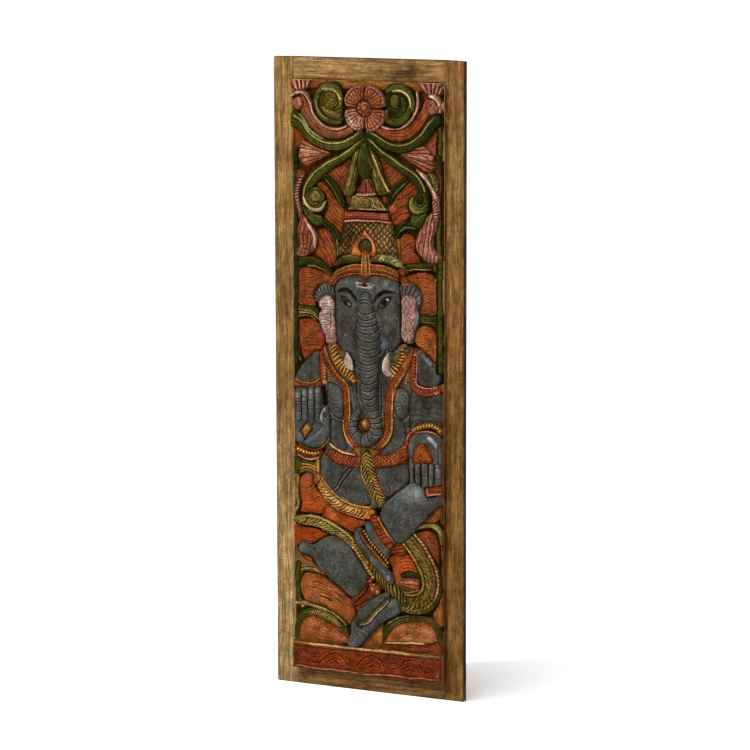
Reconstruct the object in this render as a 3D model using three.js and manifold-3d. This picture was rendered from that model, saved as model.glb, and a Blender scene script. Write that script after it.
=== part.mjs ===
// Carved and painted wood wall panel: a seated elephant-headed figure under scrolling foliage.
// One thick block carries all the carving. Four flat boards, butted at the corners, frame it.
// Millimetres, +Z up. The carving faces -Y, and the origin is the centre of the flat back.

import * as THREE from 'three';
import { mergeVertices } from 'three/addons/utils/BufferGeometryUtils.js';
import Module from 'manifold-3d';

const wasm = await Module();
wasm.setup();

// Driving dimensions
const PANEL_WIDTH = 304;
const PANEL_HEIGHT = 914;
const BOARD_THICKNESS = 10.5;
const BOARD_CHAMFER = 1.2;
const JOINT_GAP = 0.3;

// The block's four sides, its full depth and the level that the ground is cut back to.
// Every height is measured from the flat back.
const BLOCK_LEFT = -118.5;
const BLOCK_RIGHT = 122;
const BLOCK_BOTTOM = -430.5;
const BLOCK_TOP = 424.5;
const BLOCK_DEPTH = 25;
const GROUND = 13;
const ROOT_DEPTH = 1.5;

// The layout is drawn on the plane FACE_LEVEL above the back, as seen from the point SIGHT,
// in front of the panel and to the right of it. Carving below that plane lies further along
// the line of sight.
const FACE_LEVEL = 24;
const SIGHT = { x: 2300, y: 4404, z: 740 };
const MIDLINE = 3;

// Paint and wood
const PAINTED_WOOD = { color: 0x7a5c3c, roughness: 0.55, metalness: 0 };
const FRAME_WOOD = { color: 0x8f6a42, roughness: 0.6, metalness: 0 };

function place([x, z], height) {
  const lean = (height - FACE_LEVEL) / (SIGHT.y - FACE_LEVEL);
  return [x + lean * (SIGHT.x - x), z + lean * (SIGHT.z - z)];
}

function smooth(points, closed, steps) {
  const curve = new THREE.CatmullRomCurve3(
    points.map(([x, z]) => new THREE.Vector3(x, 0, z)), closed, 'centripetal');
  const samples = curve.getPoints(steps).map((p) => [p.x, p.z]);
  return closed ? samples.slice(0, -1) : samples;
}

function signedVolume(vertices, triangles) {
  const corner = (index) => new THREE.Vector3(...vertices[index]);
  return triangles.reduce(
    (sum, [a, b, c]) => sum + corner(a).dot(corner(b).cross(corner(c))) / 6, 0);
}

function solid(vertices, triangles) {
  const outward = signedVolume(vertices, triangles) > 0;
  const faces = outward ? triangles : triangles.map(([a, b, c]) => [a, c, b]);
  const mesh = new wasm.Mesh({
    numProp: 3,
    vertProperties: new Float32Array(vertices.flat()),
    triVerts: new Uint32Array(faces.flat()),
  });
  mesh.merge();
  return new wasm.Manifold(mesh);
}

// Closes a stack of rings, each with the same number of points, with a lid at both ends.
function closedStack(rings, lid) {
  const count = rings[0].length;
  const vertices = rings.flat();
  const triangles = [];
  for (let level = 0; level + 1 < rings.length; level += 1) {
    for (let i = 0; i < count; i += 1) {
      const a = level * count + i;
      const b = level * count + ((i + 1) % count);
      triangles.push([a, b, b + count], [a, b + count, a + count]);
    }
  }
  const last = (rings.length - 1) * count;
  for (const [a, b, c] of lid) {
    triangles.push([a, c, b], [last + a, last + b, last + c]);
  }
  return solid(vertices, triangles);
}

// The triangles that fill a flat ring, each turned the same way round as the ring itself.
function fill(ring) {
  const points = ring.map(([u, v]) => new THREE.Vector2(u, v));
  const forwards = THREE.ShapeUtils.area(points) > 0;
  return THREE.ShapeUtils.triangulateShape(points, []).map(([a, b, c]) => {
    const turn = THREE.ShapeUtils.area([points[a], points[b], points[c]]);
    return (turn > 0) === forwards ? [a, b, c] : [a, c, b];
  });
}

// A raised area with sloping sides: the outline at the ground, then one or two rings that
// draw in towards the middle as they rise.
function mound(outline, top, { steps = 12, draw = 0.1, dome = 0, shoulder = 0.55 } = {}) {
  const edge = smooth(outline.map((point) => place(point, top)), true, steps);
  const middle = edge.reduce(([x, z], p) => [x + p[0] / steps, z + p[1] / steps], [0, 0]);
  const ring = (inset, height) => edge.map(([x, z]) => [
    x + (middle[0] - x) * inset, -height, z + (middle[1] - z) * inset]);
  const rings = [ring(0, GROUND - ROOT_DEPTH), ring(draw, top - dome)];
  if (dome > 0) {
    rings.push(ring(shoulder, top));
  }
  return closedStack(rings, fill(edge));
}

// A raised stem along a path. Its half-widths are spread evenly from one end to the other.
function stem(path, halfWidths, top, { steps = 7, flat = 0.55 } = {}) {
  const line = smooth(path.map((point) => place(point, top)), false, steps);
  const rings = line.map(([x, z], i) => {
    const before = line[Math.max(i - 1, 0)];
    const after = line[Math.min(i + 1, line.length - 1)];
    const along = new THREE.Vector2(after[0] - before[0], after[1] - before[1]).normalize();
    const spot = (i / (line.length - 1)) * (halfWidths.length - 1);
    const low = Math.min(Math.floor(spot), halfWidths.length - 2);
    const half = THREE.MathUtils.lerp(halfWidths[low], halfWidths[low + 1], spot - low);
    const corner = (across, height) => [
      x - along.y * half * across, -height, z + along.x * half * across];
    const root = GROUND - ROOT_DEPTH;
    return [corner(-1, root), corner(-flat, top), corner(flat, top), corner(1, root)];
  });
  return closedStack(rings, [[0, 1, 2], [0, 2, 3]]);
}

// A boss: the front of a flattened ball.
function boss([x, z], radius, top, rise = 0.6) {
  const [cx, cz] = place([x, z], top);
  const geometry = new THREE.SphereGeometry(radius, 8, 5);
  geometry.scale(1, rise, 1);
  geometry.translate(cx, radius * rise - top, cz);
  return fromGeometry(geometry);
}

function fromGeometry(geometry) {
  geometry.deleteAttribute('normal');
  geometry.deleteAttribute('uv');
  const merged = mergeVertices(geometry, 1e-4);
  const position = merged.getAttribute('position');
  const vertices = [];
  for (let i = 0; i < position.count; i += 1) {
    vertices.push([position.getX(i), position.getY(i), position.getZ(i)]);
  }
  const index = merged.getIndex().array;
  const triangles = [];
  for (let i = 0; i < index.length; i += 3) {
    triangles.push([index[i], index[i + 1], index[i + 2]]);
  }
  return solid(vertices, triangles.filter(([a, b, c]) => a !== b && b !== c && c !== a));
}

function bar(left, right, bottom, top, front, back = 0) {
  const geometry = new THREE.BoxGeometry(right - left, front - back, top - bottom);
  geometry.translate((left + right) / 2, -(front + back) / 2, (bottom + top) / 2);
  return fromGeometry(geometry);
}

// Both sides of the midline: points are given as distance out from it and height.
function pair(make) {
  const side = (sign) => (points) => points.map(([out, z]) => [MIDLINE + sign * out, z]);
  return [...make(side(-1)), ...make(side(1))];
}

// The flower at the head of the panel: four heart-shaped petals and a boss.
function flower() {
  const centre = [1, 388];
  const petalReach = 20;
  const petals = [45, 135, 225, 315].map((degrees) => {
    const angle = THREE.MathUtils.degToRad(degrees);
    const at = (reach, turn) => [
      centre[0] + reach * Math.cos(angle + turn), centre[1] + reach * Math.sin(angle + turn)];
    return mound(
      [at(6, 0), at(petalReach, -0.75), at(33, -0.5), at(34, 0), at(33, 0.5), at(petalReach, 0.75)],
      21, { steps: 12, dome: 1.5 });
  });
  return [...petals, boss(centre, 9, 23)];
}

// Stems and scrolls that fall away to both sides under the flower.
function foliage() {
  return pair((side) => [
    ...side([[57, 393]]).flatMap((centre) => [
      stem(ringAround(centre, 18, 23, 20, 330), [5, 5], 21, { steps: 14 }),
      boss(centre, 9, 20)]),
    mound(side([[92, 411], [104, 409], [117, 412], [118, 422], [104, 424], [91, 422]]), 20,
      { steps: 9 }),
    boss(side([[107, 391]])[0], 9, 21),
    stem(side([[112, 400], [98, 402], [90, 396]]), [3, 3], 19, { steps: 4 }),
    stem(side([[102, 384], [91, 370], [78, 359], [62, 353], [42, 351], [20, 356]]),
      [7, 8, 7, 5], 21, { steps: 8 }),
    stem(side([[117, 370], [100, 361], [86, 346], [68, 337], [48, 334], [28, 339], [10, 350]]),
      [7, 7, 7, 5], 19.5, { steps: 9 }),
    mound(side([[58, 322], [80, 330], [106, 332], [109, 318], [104, 305], [80, 315]]), 20,
      { steps: 9 }),
    stem(side([[8, 340], [32, 321], [60, 305], [80, 291], [91, 274], [94, 256], [90, 241]]),
      [6, 8, 9, 8, 6], 20.5, { steps: 10 }),
    stem(side([[97, 297], [107, 282], [111, 262], [109, 240]]), [3, 4, 4], 19, { steps: 5 }),
    boss(side([[81, 256]])[0], 14, 21, 0.4),
    mound(side([[99, 240], [84, 238], [69, 230], [70, 221], [84, 220], [96, 230]]), 19,
      { steps: 9 }),
    stem(side([[117, 330], [118, 305]]), [4, 4], 18, { steps: 1 }),
    stem(side([[116, 290], [115, 268]]), [4, 3], 18, { steps: 1 }),
    mound(side([[109, 236], [95, 222], [82, 208], [78, 194], [84, 179], [98, 173], [112, 176],
      [115, 184], [108, 192], [108, 214]]), 21.5, { steps: 14, dome: 1.5 }),
    stem(side([[66, 288], [52, 280], [42, 268], [36, 252]]), [4, 4.5, 4], 19.5, { steps: 4 }),
    stem(side([[70, 224], [57, 216], [48, 204], [42, 192]]), [4, 4.5, 4], 19.5, { steps: 4 }),
    mound(side([[77, 277], [62, 277], [50, 260], [40, 238], [38, 214], [56, 224], [65, 246]]), 17.5,
      { steps: 9 }),
    mound(side([[72, 212], [60, 211], [52, 198], [50, 178], [56, 164], [72, 169], [78, 184]]), 18,
      { steps: 9 }),
    stem(side([[14, 322], [22, 300], [31, 284], [38, 270]]), [3, 5, 5, 3], 18.5, { steps: 4 }),
  ]).concat([
    mound([[3, 346], [10, 325], [7, 300], [-1, 300], [-5, 325]], 18, { steps: 8 }),
  ]);
}

// Points on an oval around a centre, from one angle to another.
function ringAround([x, z], acrossRadius, upRadius, fromDegrees, toDegrees) {
  const stops = 8;
  return Array.from({ length: stops + 1 }, (_, i) => {
    const angle = THREE.MathUtils.degToRad(
      THREE.MathUtils.lerp(fromDegrees, toDegrees, i / stops));
    return [x + acrossRadius * Math.cos(angle), z + upRadius * Math.sin(angle)];
  });
}

// The crown: finial, turban roll, beaded rim, lattice body with its flame jewel, and leaf band.
function crown() {
  return [
    mound([[4, 294], [14, 282], [19, 269], [-9, 269], [-5, 282]], 19, { steps: 9 }),
    stem([[-8, 265], [20, 265]], [3, 3], 20, { steps: 1 }),
    mound([[5, 262], [26, 259], [35, 251], [30, 243], [-18, 243], [-25, 251], [-14, 259]], 21.5,
      { steps: 10, dome: 1.5 }),
    stem([[-33, 233], [6, 236], [46, 233]], [4, 5, 4], 21, { steps: 3 }),
    mound([[-34, 228], [47, 228], [53, 200], [52, 181], [-40, 181], [-39, 200]], 20.5,
      { steps: 10, dome: 1 }),
    mound([[1, 213], [15, 198], [19, 182], [-18, 182], [-12, 198]], 22.5, { steps: 9 }),
    boss([2, 192], 8, 23.5, 0.4),
    mound([[-46, 163], [-44, 172], [-12, 179], [28, 180], [52, 176], [60, 167], [30, 164],
      [-12, 166]], 22, { steps: 12 }),
    stem([[-48, 147], [-36, 156], [-12, 159], [30, 158], [56, 151]], [4, 6, 7, 7, 5], 23,
      { steps: 7 }),
    stem([[3, 181], [3, 151]], [6, 6], 23.5, { steps: 1 }),
  ];
}

// Head, ears, the ringed trunk that curls round a sweet, and the two tusks.
function head() {
  const trunkPath = [[2, 113], [3, 90], [4, 58], [4, 26], [5, -6], [9, -38], [18, -58],
    [17, -76], [2, -85], [-13, -80], [-18, -67], [-13, -54]];
  return [
    mound([[-44, 138], [-24, 148], [5, 151], [40, 149], [56, 140], [58, 105], [56, 62], [44, 38],
      [24, 20], [-14, 20], [-32, 38], [-46, 64], [-47, 108]], 24, { steps: 18, dome: 2.5 }),
    mound([[-44, 122], [-56, 134], [-72, 131], [-80, 116], [-73, 96], [-66, 66], [-58, 46],
      [-45, 48], [-46, 84]], 21.5, { steps: 12, dome: 1.5, draw: 0.15 }),
    mound([[58, 134], [72, 141], [87, 132], [91, 116], [86, 92], [78, 62], [66, 57], [59, 74],
      [58, 104]], 21.5, { steps: 12, dome: 1.5, draw: 0.15 }),
    stem(trunkPath, [12, 20, 23, 22, 20, 18, 14, 12, 11, 10, 8, 5], BLOCK_DEPTH,
      { steps: 18, flat: 0.5 }),
    boss([2, -63], 9.5, 23.5, 0.7),
    stem([[-26, 37], [-26, 26], [-25, 15]], [1.5, 4, 5.5], 24, { steps: 2 }),
    stem([[37, 41], [33, 26], [37, 10]], [2, 5, 4.5], 24, { steps: 3 }),
  ];
}

// Collar, hanging straps, shoulders, armlets and the chest on both sides of the trunk.
function chest() {
  return [
    stem([[-49, 46], [-44, 28], [-34, 12], [-20, 0]], [8, 9, 9, 7], 22, { steps: 4 }),
    stem([[65, 47], [60, 32], [52, 18], [42, 7]], [8, 9, 9, 7], 22, { steps: 4 }),
    stem([[-64, 42], [-56, 20], [-44, 2], [-34, -12], [-29, -38], [-28, -64], [-25, -84],
      [-13, -97], [4, -101]], [4, 5, 5, 5, 6], 23, { steps: 12 }),
    stem([[78, 44], [68, 22], [55, 5], [44, -12], [40, -38], [39, -64], [35, -80], [22, -94],
      [4, -101]], [4, 6, 6, 6, 6], 23, { steps: 12 }),
    mound([[-78, 36], [-97, 21], [-110, 1], [-108, -8], [-88, -9], [-73, -2], [-71, 20]], 22.5,
      { steps: 10, dome: 2 }),
    mound([[85, 45], [100, 42], [114, 28], [119, 8], [112, -3], [92, -4], [84, 8]], 22.5,
      { steps: 10, dome: 2 }),
    stem([[-67, 35], [-67, -5]], [4, 4.5], 21.5, { steps: 1 }),
    stem([[-113, -12], [-92, -14], [-70, -9]], [3.5, 4], 21.5, { steps: 3 }),
    stem([[80, 45], [79, 10], [83, -5], [96, -11], [110, -10], [122, -5]], [4, 4.5, 4.5, 4], 21.5,
      { steps: 7 }),
    mound([[-60, -8], [-36, -6], [-32, -40], [-32, -70], [-20, -104], [-44, -105], [-56, -88],
      [-62, -50]], 19.5, { steps: 10 }),
    mound([[50, -6], [70, -10], [72, -50], [68, -76], [52, -96], [26, -106], [44, -78]], 19.5,
      { steps: 10 }),
    mound([[-57, -18], [-46, -7], [-36, -20], [-34, -44], [-42, -57], [-54, -42]], 21.5,
      { steps: 9, dome: 1.5 }),
    mound([[49, -20], [58, -7], [70, -18], [69, -42], [58, -52], [48, -40]], 21.5,
      { steps: 9, dome: 1.5 }),
  ];
}

// The raised hand on the left and the hanging hand on the right, with their bracelets.
function hands() {
  const raisedFingers = [[-106, -27], [-96, -24], [-85.5, -20], [-74, -20]];
  const hangingFingers = [[76, -142], [87, -144], [101, -143], [117, -142]];
  return [
    ...raisedFingers.map(([x, tip]) => stem([[x, tip], [x, -62]], [4.5, 5.2], 23, { steps: 1 })),
    mound([[-112, -56], [-74, -56], [-60, -78], [-66, -97], [-86, -106], [-108, -96]], 22.5,
      { steps: 10, dome: 1.5 }),
    stem([[-62, -45], [-68, -60], [-67, -76], [-78, -92]], [2.5, 5, 8, 7], 24, { steps: 5 }),
    stem([[-110, -100], [-96, -108], [-80, -109], [-66, -101], [-57, -88]], [3, 3, 3], 22,
      { steps: 6 }),
    stem([[-114, -110], [-98, -115], [-84, -115], [-72, -110]], [4, 5, 4], 21, { steps: 4 }),
    mound([[73, -14], [122, -18], [124, -58], [76, -62]], 19.5, { steps: 8 }),
    stem([[76, -69], [88, -60], [102, -58], [115, -62], [122, -70]], [4, 4.5, 4], 23, { steps: 5 }),
    mound([[73, -84], [84, -72], [104, -70], [120, -80], [123, -118], [100, -124], [72, -120],
      [70, -100]], 24, { steps: 10, dome: 2 }),
    ...hangingFingers.map(([x, tip]) => stem([[x, -114], [x, tip]], [5.5, 4.5], 23, { steps: 1 })),
  ];
}

// Belt, sash, belly, waistband and the draped cloth below.
function waist() {
  return [
    mound([[-71, -122], [-30, -126], [-8, -124], [0, -145], [8, -168], [4, -182], [-26, -181],
      [-54, -166], [-71, -146]], 23, { steps: 12, dome: 2.5 }),
    mound([[12, -120], [64, -112], [70, -138], [52, -154], [36, -172], [24, -160]], 20.5,
      { steps: 9 }),
    stem([[-60, -108], [-42, -115], [-26, -118], [-6, -117]], [4, 7, 7, 6], 22.5, { steps: 4 }),
    stem([[10, -117], [30, -114], [48, -108], [66, -98]], [6, 7, 7, 7], 22.5, { steps: 4 }),
    stem([[3, -104], [5, -125], [9, -145], [17, -163], [28, -187]], [8, 12, 11, 9, 4], 24,
      { steps: 6 }),
    stem([[-77, -144], [-66, -163], [-50, -178], [-30, -188], [-10, -193], [14, -194]],
      [5, 7, 7, 7], 22, { steps: 7 }),
    mound([[-105, -152], [-92, -141], [-82, -152], [-66, -176], [-61, -190], [-78, -200],
      [-104, -198], [-108, -174]], 18.5, { steps: 10, dome: 1 }),
    mound([[-66, -197], [-46, -194], [-16, -200], [10, -201], [2, -212], [-17, -221], [-42, -211]],
      19.5, { steps: 9 }),
    stem([[-114, -212], [-88, -212], [-66, -214], [-46, -222], [-28, -233], [-13, -249],
      [0, -268], [12, -286]], [6, 6.5, 7, 6, 5], 20.5, { steps: 10 }),
    mound([[-113, -222], [-90, -222], [-65, -228], [-80, -240], [-98, -247], [-113, -246]], 17,
      { steps: 8 }),
    stem([[-112, -124], [-96, -129], [-80, -134]], [5, 5], 18.5, { steps: 2 }),
    stem([[-112, -140], [-113, -170], [-112, -200]], [4, 4], 17, { steps: 2 }),
    mound([[98, -149], [124, -142], [124, -157], [100, -159]], 18.5, { steps: 8 }),
  ];
}

// The folded right leg with its foot and anklet, and the left leg with its foot.
function legs() {
  return [
    mound([[25, -192], [38, -171], [58, -155], [76, -143], [92, -150], [101, -163], [120, -159],
      [122, -171], [104, -185], [80, -210], [56, -233], [40, -223]], 24.5,
    { steps: 18, dome: 3, draw: 0.07, shoulder: 0.5 }),
    mound([[-107, -251], [-92, -252], [-76, -240], [-52, -230], [-28, -242], [-8, -266],
      [8, -291], [-8, -311], [-22, -316], [-50, -298], [-80, -274], [-104, -260]], 24.5,
    { steps: 18, dome: 3, draw: 0.07, shoulder: 0.5 }),
    stem([[-8, -214], [6, -228], [22, -246], [34, -264], [42, -284]], [7, 11, 11, 8, 5], 22.5,
      { steps: 6 }),
    stem([[-8, -222], [6, -236], [20, -250], [37, -266]], [5, 6, 6, 4], 23.5, { steps: 4 }),
    stem([[12, -199], [20, -213], [32, -226], [45, -238], [60, -246]], [5, 6, 6, 5], 22,
      { steps: 5 }),
    stem([[-17, -327], [0, -316], [15, -300]], [6, 7.5, 7], 23, { steps: 3 }),
    mound([[-26, -386], [-26, -366], [-12, -340], [14, -314], [40, -308], [55, -326], [36, -345],
      [4, -370], [-14, -391]], 23, { steps: 12, dome: 2 }),
    stem([[15, -276], [26, -291], [40, -302], [56, -308]], [6, 8, 8, 6], 20, { steps: 4 }),
  ];
}

// Leaves and petals down both edges, from beside the head to the plinth.
function edges() {
  return [
    stem([[-114, 165], [-94, 166], [-74, 163], [-56, 153]], [5, 5.5, 5, 3], 20, { steps: 5 }),
    stem([[64, 159], [80, 165], [100, 166], [124, 163]], [4, 5.5, 5, 5], 20, { steps: 5 }),
    mound([[-107, 148], [-90, 157], [-64, 149], [-47, 138], [-62, 136], [-80, 125], [-78, 105],
      [-94, 101], [-106, 112]], 17.5, { steps: 10 }),
    mound([[62, 150], [90, 157], [112, 149], [118, 124], [112, 103], [92, 98], [92, 124],
      [78, 142]], 17.5, { steps: 10 }),
    stem([[-112, 150], [-112, 116], [-104, 102], [-84, 98]], [4, 3, 3], 19.5, { steps: 5 }),
    stem([[121, 150], [121, 114], [112, 101], [92, 97]], [4, 3, 3], 19.5, { steps: 5 }),
    stem([[-112, 92], [-96, 93], [-76, 90]], [4, 3.5], 19, { steps: 3 }),
    stem([[92, 91], [108, 92], [123, 87]], [4, 3.5], 19, { steps: 3 }),
    mound([[-106, 72], [-90, 82], [-70, 74], [-65, 52], [-78, 36], [-92, 26], [-104, 38]], 17.5,
      { steps: 10, dome: 1 }),
    mound([[84, 80], [104, 81], [115, 64], [115, 36], [98, 46], [83, 56]], 17.5,
      { steps: 10, dome: 1 }),
    stem([[-111, 80], [-111, 50], [-107, 22]], [3.5, 3.5, 2], 19, { steps: 3 }),
    stem([[121, 80], [121, 50], [117, 26]], [3.5, 3.5, 2], 19, { steps: 3 }),
    mound([[123, -178], [108, -185], [96, -197], [122, -196]], 18, { steps: 8 }),
    stem([[84, -209], [100, -205], [114, -210], [121, -228], [122, -250]], [3, 4, 3.5], 20,
      { steps: 5 }),
    mound([[80, -213], [104, -211], [116, -228], [117, -252], [98, -230]], 18, { steps: 9 }),
    stem([[72, -222], [88, -242], [103, -264], [109, -286], [102, -306], [84, -317], [64, -316],
      [46, -311]], [7, 13, 13, 12, 13, 12, 10, 6], 20.5, { steps: 11 }),
    mound([[38, -256], [60, -246], [78, -260], [89, -282], [84, -300], [56, -297], [48, -280]], 18.5,
      { steps: 9 }),
    stem([[-112, -270], [-96, -277], [-76, -284]], [4, 5, 4], 19.5, { steps: 3 }),
    stem([[-110, -285], [-110, -318], [-102, -333], [-78, -338], [-50, -345]], [3.5, 3, 4, 4], 19,
      { steps: 6 }),
    mound([[-104, -300], [-86, -289], [-60, -297], [-22, -323], [-16, -344], [-40, -345],
      [-76, -332], [-102, -322]], 18.5, { steps: 10, dome: 1 }),
    stem([[-111, -388], [-111, -366], [-102, -352], [-84, -346], [-64, -349], [-46, -357],
      [-31, -370]], [4, 5, 5, 5.5, 5], 20.5, { steps: 8 }),
    mound([[-106, -372], [-92, -355], [-70, -355], [-38, -371], [-30, -387], [-68, -390],
      [-104, -389]], 18.5, { steps: 9, dome: 1 }),
    stem([[33, -361], [50, -348], [70, -340], [92, -338], [110, -346], [120, -362], [121, -388]],
      [5, 5, 5, 5, 4], 20.5, { steps: 8 }),
    mound([[32, -376], [52, -354], [88, -344], [112, -357], [117, -386], [76, -388], [34, -386]],
      18.5, { steps: 9, dome: 1 }),
    mound([[4, -372], [24, -353], [32, -366], [28, -388], [-4, -389]], 16.5, { steps: 8 }),
  ];
}

// The plinth the figure sits on, with a cove worked along its upper edge.
function plinth() {
  const section = [[-431, 11], [-431, 22.5], [-429, 24], [-397, 24], [-394, 21.5], [-391, 21],
    [-390, 11]];
  const rings = [BLOCK_LEFT - 1, BLOCK_RIGHT + 1].map(
    (x) => section.map(([z, height]) => [x, -height, z]));
  return [closedStack(rings, fill(section))];
}

function carvedPanel() {
  const carving = [
    bar(BLOCK_LEFT, BLOCK_RIGHT, BLOCK_BOTTOM, BLOCK_TOP, GROUND),
    ...flower(), ...foliage(), ...crown(), ...head(), ...chest(), ...hands(), ...waist(),
    ...legs(), ...edges(), ...plinth(),
  ];
  const block = bar(BLOCK_LEFT, BLOCK_RIGHT, BLOCK_BOTTOM, BLOCK_TOP, BLOCK_DEPTH);
  return wasm.Manifold.union(carving).intersect(block);
}

// A frame board: flat behind, with a small chamfer round its front face.
function board(left, right, bottom, top) {
  const ring = (inset, height) => [
    [left + inset, -height, bottom + inset], [right - inset, -height, bottom + inset],
    [right - inset, -height, top - inset], [left + inset, -height, top - inset]];
  return closedStack(
    [ring(0, 0), ring(0, BOARD_THICKNESS - BOARD_CHAMFER), ring(BOARD_CHAMFER, BOARD_THICKNESS)],
    [[0, 1, 2], [0, 2, 3]]);
}

function toMesh(name, manifold, look) {
  const { vertProperties, triVerts } = manifold.getMesh();
  const geometry = new THREE.BufferGeometry();
  geometry.setAttribute('position', new THREE.BufferAttribute(vertProperties, 3));
  geometry.setIndex(new THREE.BufferAttribute(triVerts, 1));
  geometry.computeVertexNormals();
  const mesh = new THREE.Mesh(geometry, new THREE.MeshStandardMaterial(look));
  mesh.name = name;
  return mesh;
}

const halfWidth = PANEL_WIDTH / 2;
const halfHeight = PANEL_HEIGHT / 2;
const innerLeft = BLOCK_LEFT - JOINT_GAP;
const innerRight = BLOCK_RIGHT + JOINT_GAP;

const panel = new THREE.Group();
panel.add(
  toMesh('carved_panel', carvedPanel(), PAINTED_WOOD),
  toMesh('stile_left', board(-halfWidth, innerLeft, -halfHeight, halfHeight), FRAME_WOOD),
  toMesh('stile_right', board(innerRight, halfWidth, -halfHeight, halfHeight), FRAME_WOOD),
  toMesh('rail_top', board(BLOCK_LEFT, BLOCK_RIGHT, BLOCK_TOP + JOINT_GAP, halfHeight), FRAME_WOOD),
  toMesh('rail_bottom', board(BLOCK_LEFT, BLOCK_RIGHT, -halfHeight, BLOCK_BOTTOM - JOINT_GAP),
    FRAME_WOOD),
);

export default panel;
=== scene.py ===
"""A carved and painted wood wall panel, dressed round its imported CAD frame.

The whole carving is drawn once as a height field with its paint, from named strokes: areas,
bands, bosses, beads and cuts. That field becomes the mesh of the carved block, and the four
frame boards are worn planks of streaked wood. The drawing is in millimetres, x to the right
and z up from the middle of the panel, and the scene in metres. Colours of whole numbers are
sRGB out of 255.
"""

import math

import bpy
import numpy as np
from mathutils import Matrix, Vector


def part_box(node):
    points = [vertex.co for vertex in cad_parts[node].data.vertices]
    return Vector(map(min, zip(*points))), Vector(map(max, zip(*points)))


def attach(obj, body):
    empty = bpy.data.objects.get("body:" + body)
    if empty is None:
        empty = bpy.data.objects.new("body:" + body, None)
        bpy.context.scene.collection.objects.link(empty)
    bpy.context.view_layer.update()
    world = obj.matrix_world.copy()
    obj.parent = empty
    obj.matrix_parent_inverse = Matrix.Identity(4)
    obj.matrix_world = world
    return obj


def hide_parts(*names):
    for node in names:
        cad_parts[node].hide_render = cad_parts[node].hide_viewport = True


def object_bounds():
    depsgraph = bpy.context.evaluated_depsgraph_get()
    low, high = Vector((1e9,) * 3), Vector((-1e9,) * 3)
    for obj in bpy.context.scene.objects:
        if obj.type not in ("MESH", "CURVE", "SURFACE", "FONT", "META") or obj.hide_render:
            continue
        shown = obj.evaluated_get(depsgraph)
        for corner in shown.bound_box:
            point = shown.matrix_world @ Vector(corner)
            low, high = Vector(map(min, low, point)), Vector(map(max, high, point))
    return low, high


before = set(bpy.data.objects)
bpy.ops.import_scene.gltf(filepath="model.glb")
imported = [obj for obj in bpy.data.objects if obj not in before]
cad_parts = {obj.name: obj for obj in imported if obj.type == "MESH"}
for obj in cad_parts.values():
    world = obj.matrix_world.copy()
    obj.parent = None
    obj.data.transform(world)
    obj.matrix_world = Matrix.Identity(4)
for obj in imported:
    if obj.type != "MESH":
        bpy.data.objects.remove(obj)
cad_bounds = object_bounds()

# The panel: half its size, the carved block's sides, and the height of the bare ground.
HALF_WIDTH, HALF_HEIGHT = 152.0, 457.0
BLOCK_LEFT, BLOCK_RIGHT = -118.5, 122.0
BLOCK_BOTTOM, BLOCK_TOP = -430.5, 424.5
GROUND = 13.0

# The height field: the size of its cells, and the lowest and highest places kept of it.
CELL = 0.5
LOWEST, HIGHEST = 8.0, 24.9
CARVING_TRIANGLES = 196000
# How much a step in height and a step in colour count where triangles are saved.
RELIEF_WEIGHT = 0.7
COLOUR_WEIGHT = 4.0
# How often folded triangles are smoothed out, and twice the area below which one is folded.
UNFOLD_ROUNDS = 60
LEAST_FACING = 0.001
# Points of the mesh's rim that lie beyond a side of the block, or this near it, are put on it.
RIM_REACH = 0.1

# Wear and painted highlight: how much is rubbed off everywhere and on ridges, and how much
# painted highlight lightens the middles away from rims and the crests.
RUBBED_ALL, RUBBED_RIDGE, INNER_HIGHLIGHT, CREST_HIGHLIGHT = 0.04, 1.5, 0.20, 0.30
# Stain and painted shade: the most that a hollow holds, and the depth where it holds half of
# that. Grooves and the feet of walls get stain with painted shade, deep hollows painted shade.
GROOVE_STAIN_AND_SHADE, FOOT_STAIN_AND_SHADE, DEEP_SHADE = (0.85, 0.30), (0.65, 0.6), (0.50, 2.0)
# Painted shade darkening the rim of every shape, and the most that any cell is darkened.
EDGE_SHADE = 0.42
MOST_STAIN_AND_SHADE = 0.95

# How every stroke is drawn: how far it swells past its outline, how unsteady the hand is,
# how far in from a rim the painted shade reaches, and the softness of a colour's rim.
SWELL = 0.6
UNSTEADY = 0.30
EDGE_REACH = 2.4
COLOUR_RIM, COLOUR_LEAD = 0.8, 0.9
# The chisel's marks over everything: how high, how broad, and the seed of each.
CHISEL_MARKS = ((0.16, 9, 1), (0.05, 3.5, 2))

# The layout is drawn on the plane FACE_LEVEL above the back as it is seen from SIGHT.
FACE_LEVEL = 24.0
SIGHT = (2300.0, 4404.0, 740.0)
# The height that cuts and soft patches are placed for where no other is given.
USUAL_LEVEL = 22.0

# One dark colour for stain in the hollows and for painted shade, bare wood, and how bright the
# paint and its lighter colour for rubbed ridges and painted highlights are.
STAIN_AND_SHADE_COLOUR = (34, 22, 8)
BARE_WOOD = (120, 80, 44)
PAINT_TONE = 0.27
RUB_AND_HIGHLIGHT_TONE = 0.44

# Plain wood: the block's sides, higher up and lower down, and every back.
WALL_TONE = (178, 134, 78)
WALL_LOW_TONE = (104, 62, 30)
BACK_TONE = (128, 92, 54)

# The frame boards: the way their grain runs, and their colours from one end to the other.
BOARDS = (
    ("stile_left", "z",
     ((162, 134, 90), (164, 134, 90), (132, 99, 56), (138, 104, 58), (142, 111, 67))),
    ("stile_right", "z",
     ((122, 84, 40), (124, 86, 42), (128, 88, 44), (134, 97, 54), (138, 101, 58))),
    ("rail_top", "x", ((160, 126, 80), (162, 126, 80), (140, 104, 62), (150, 112, 66))),
    ("rail_bottom", "x", ((136, 100, 58), (126, 88, 48), (132, 92, 50), (138, 98, 56))),
)
BOARD_TONE = 0.465
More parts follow.
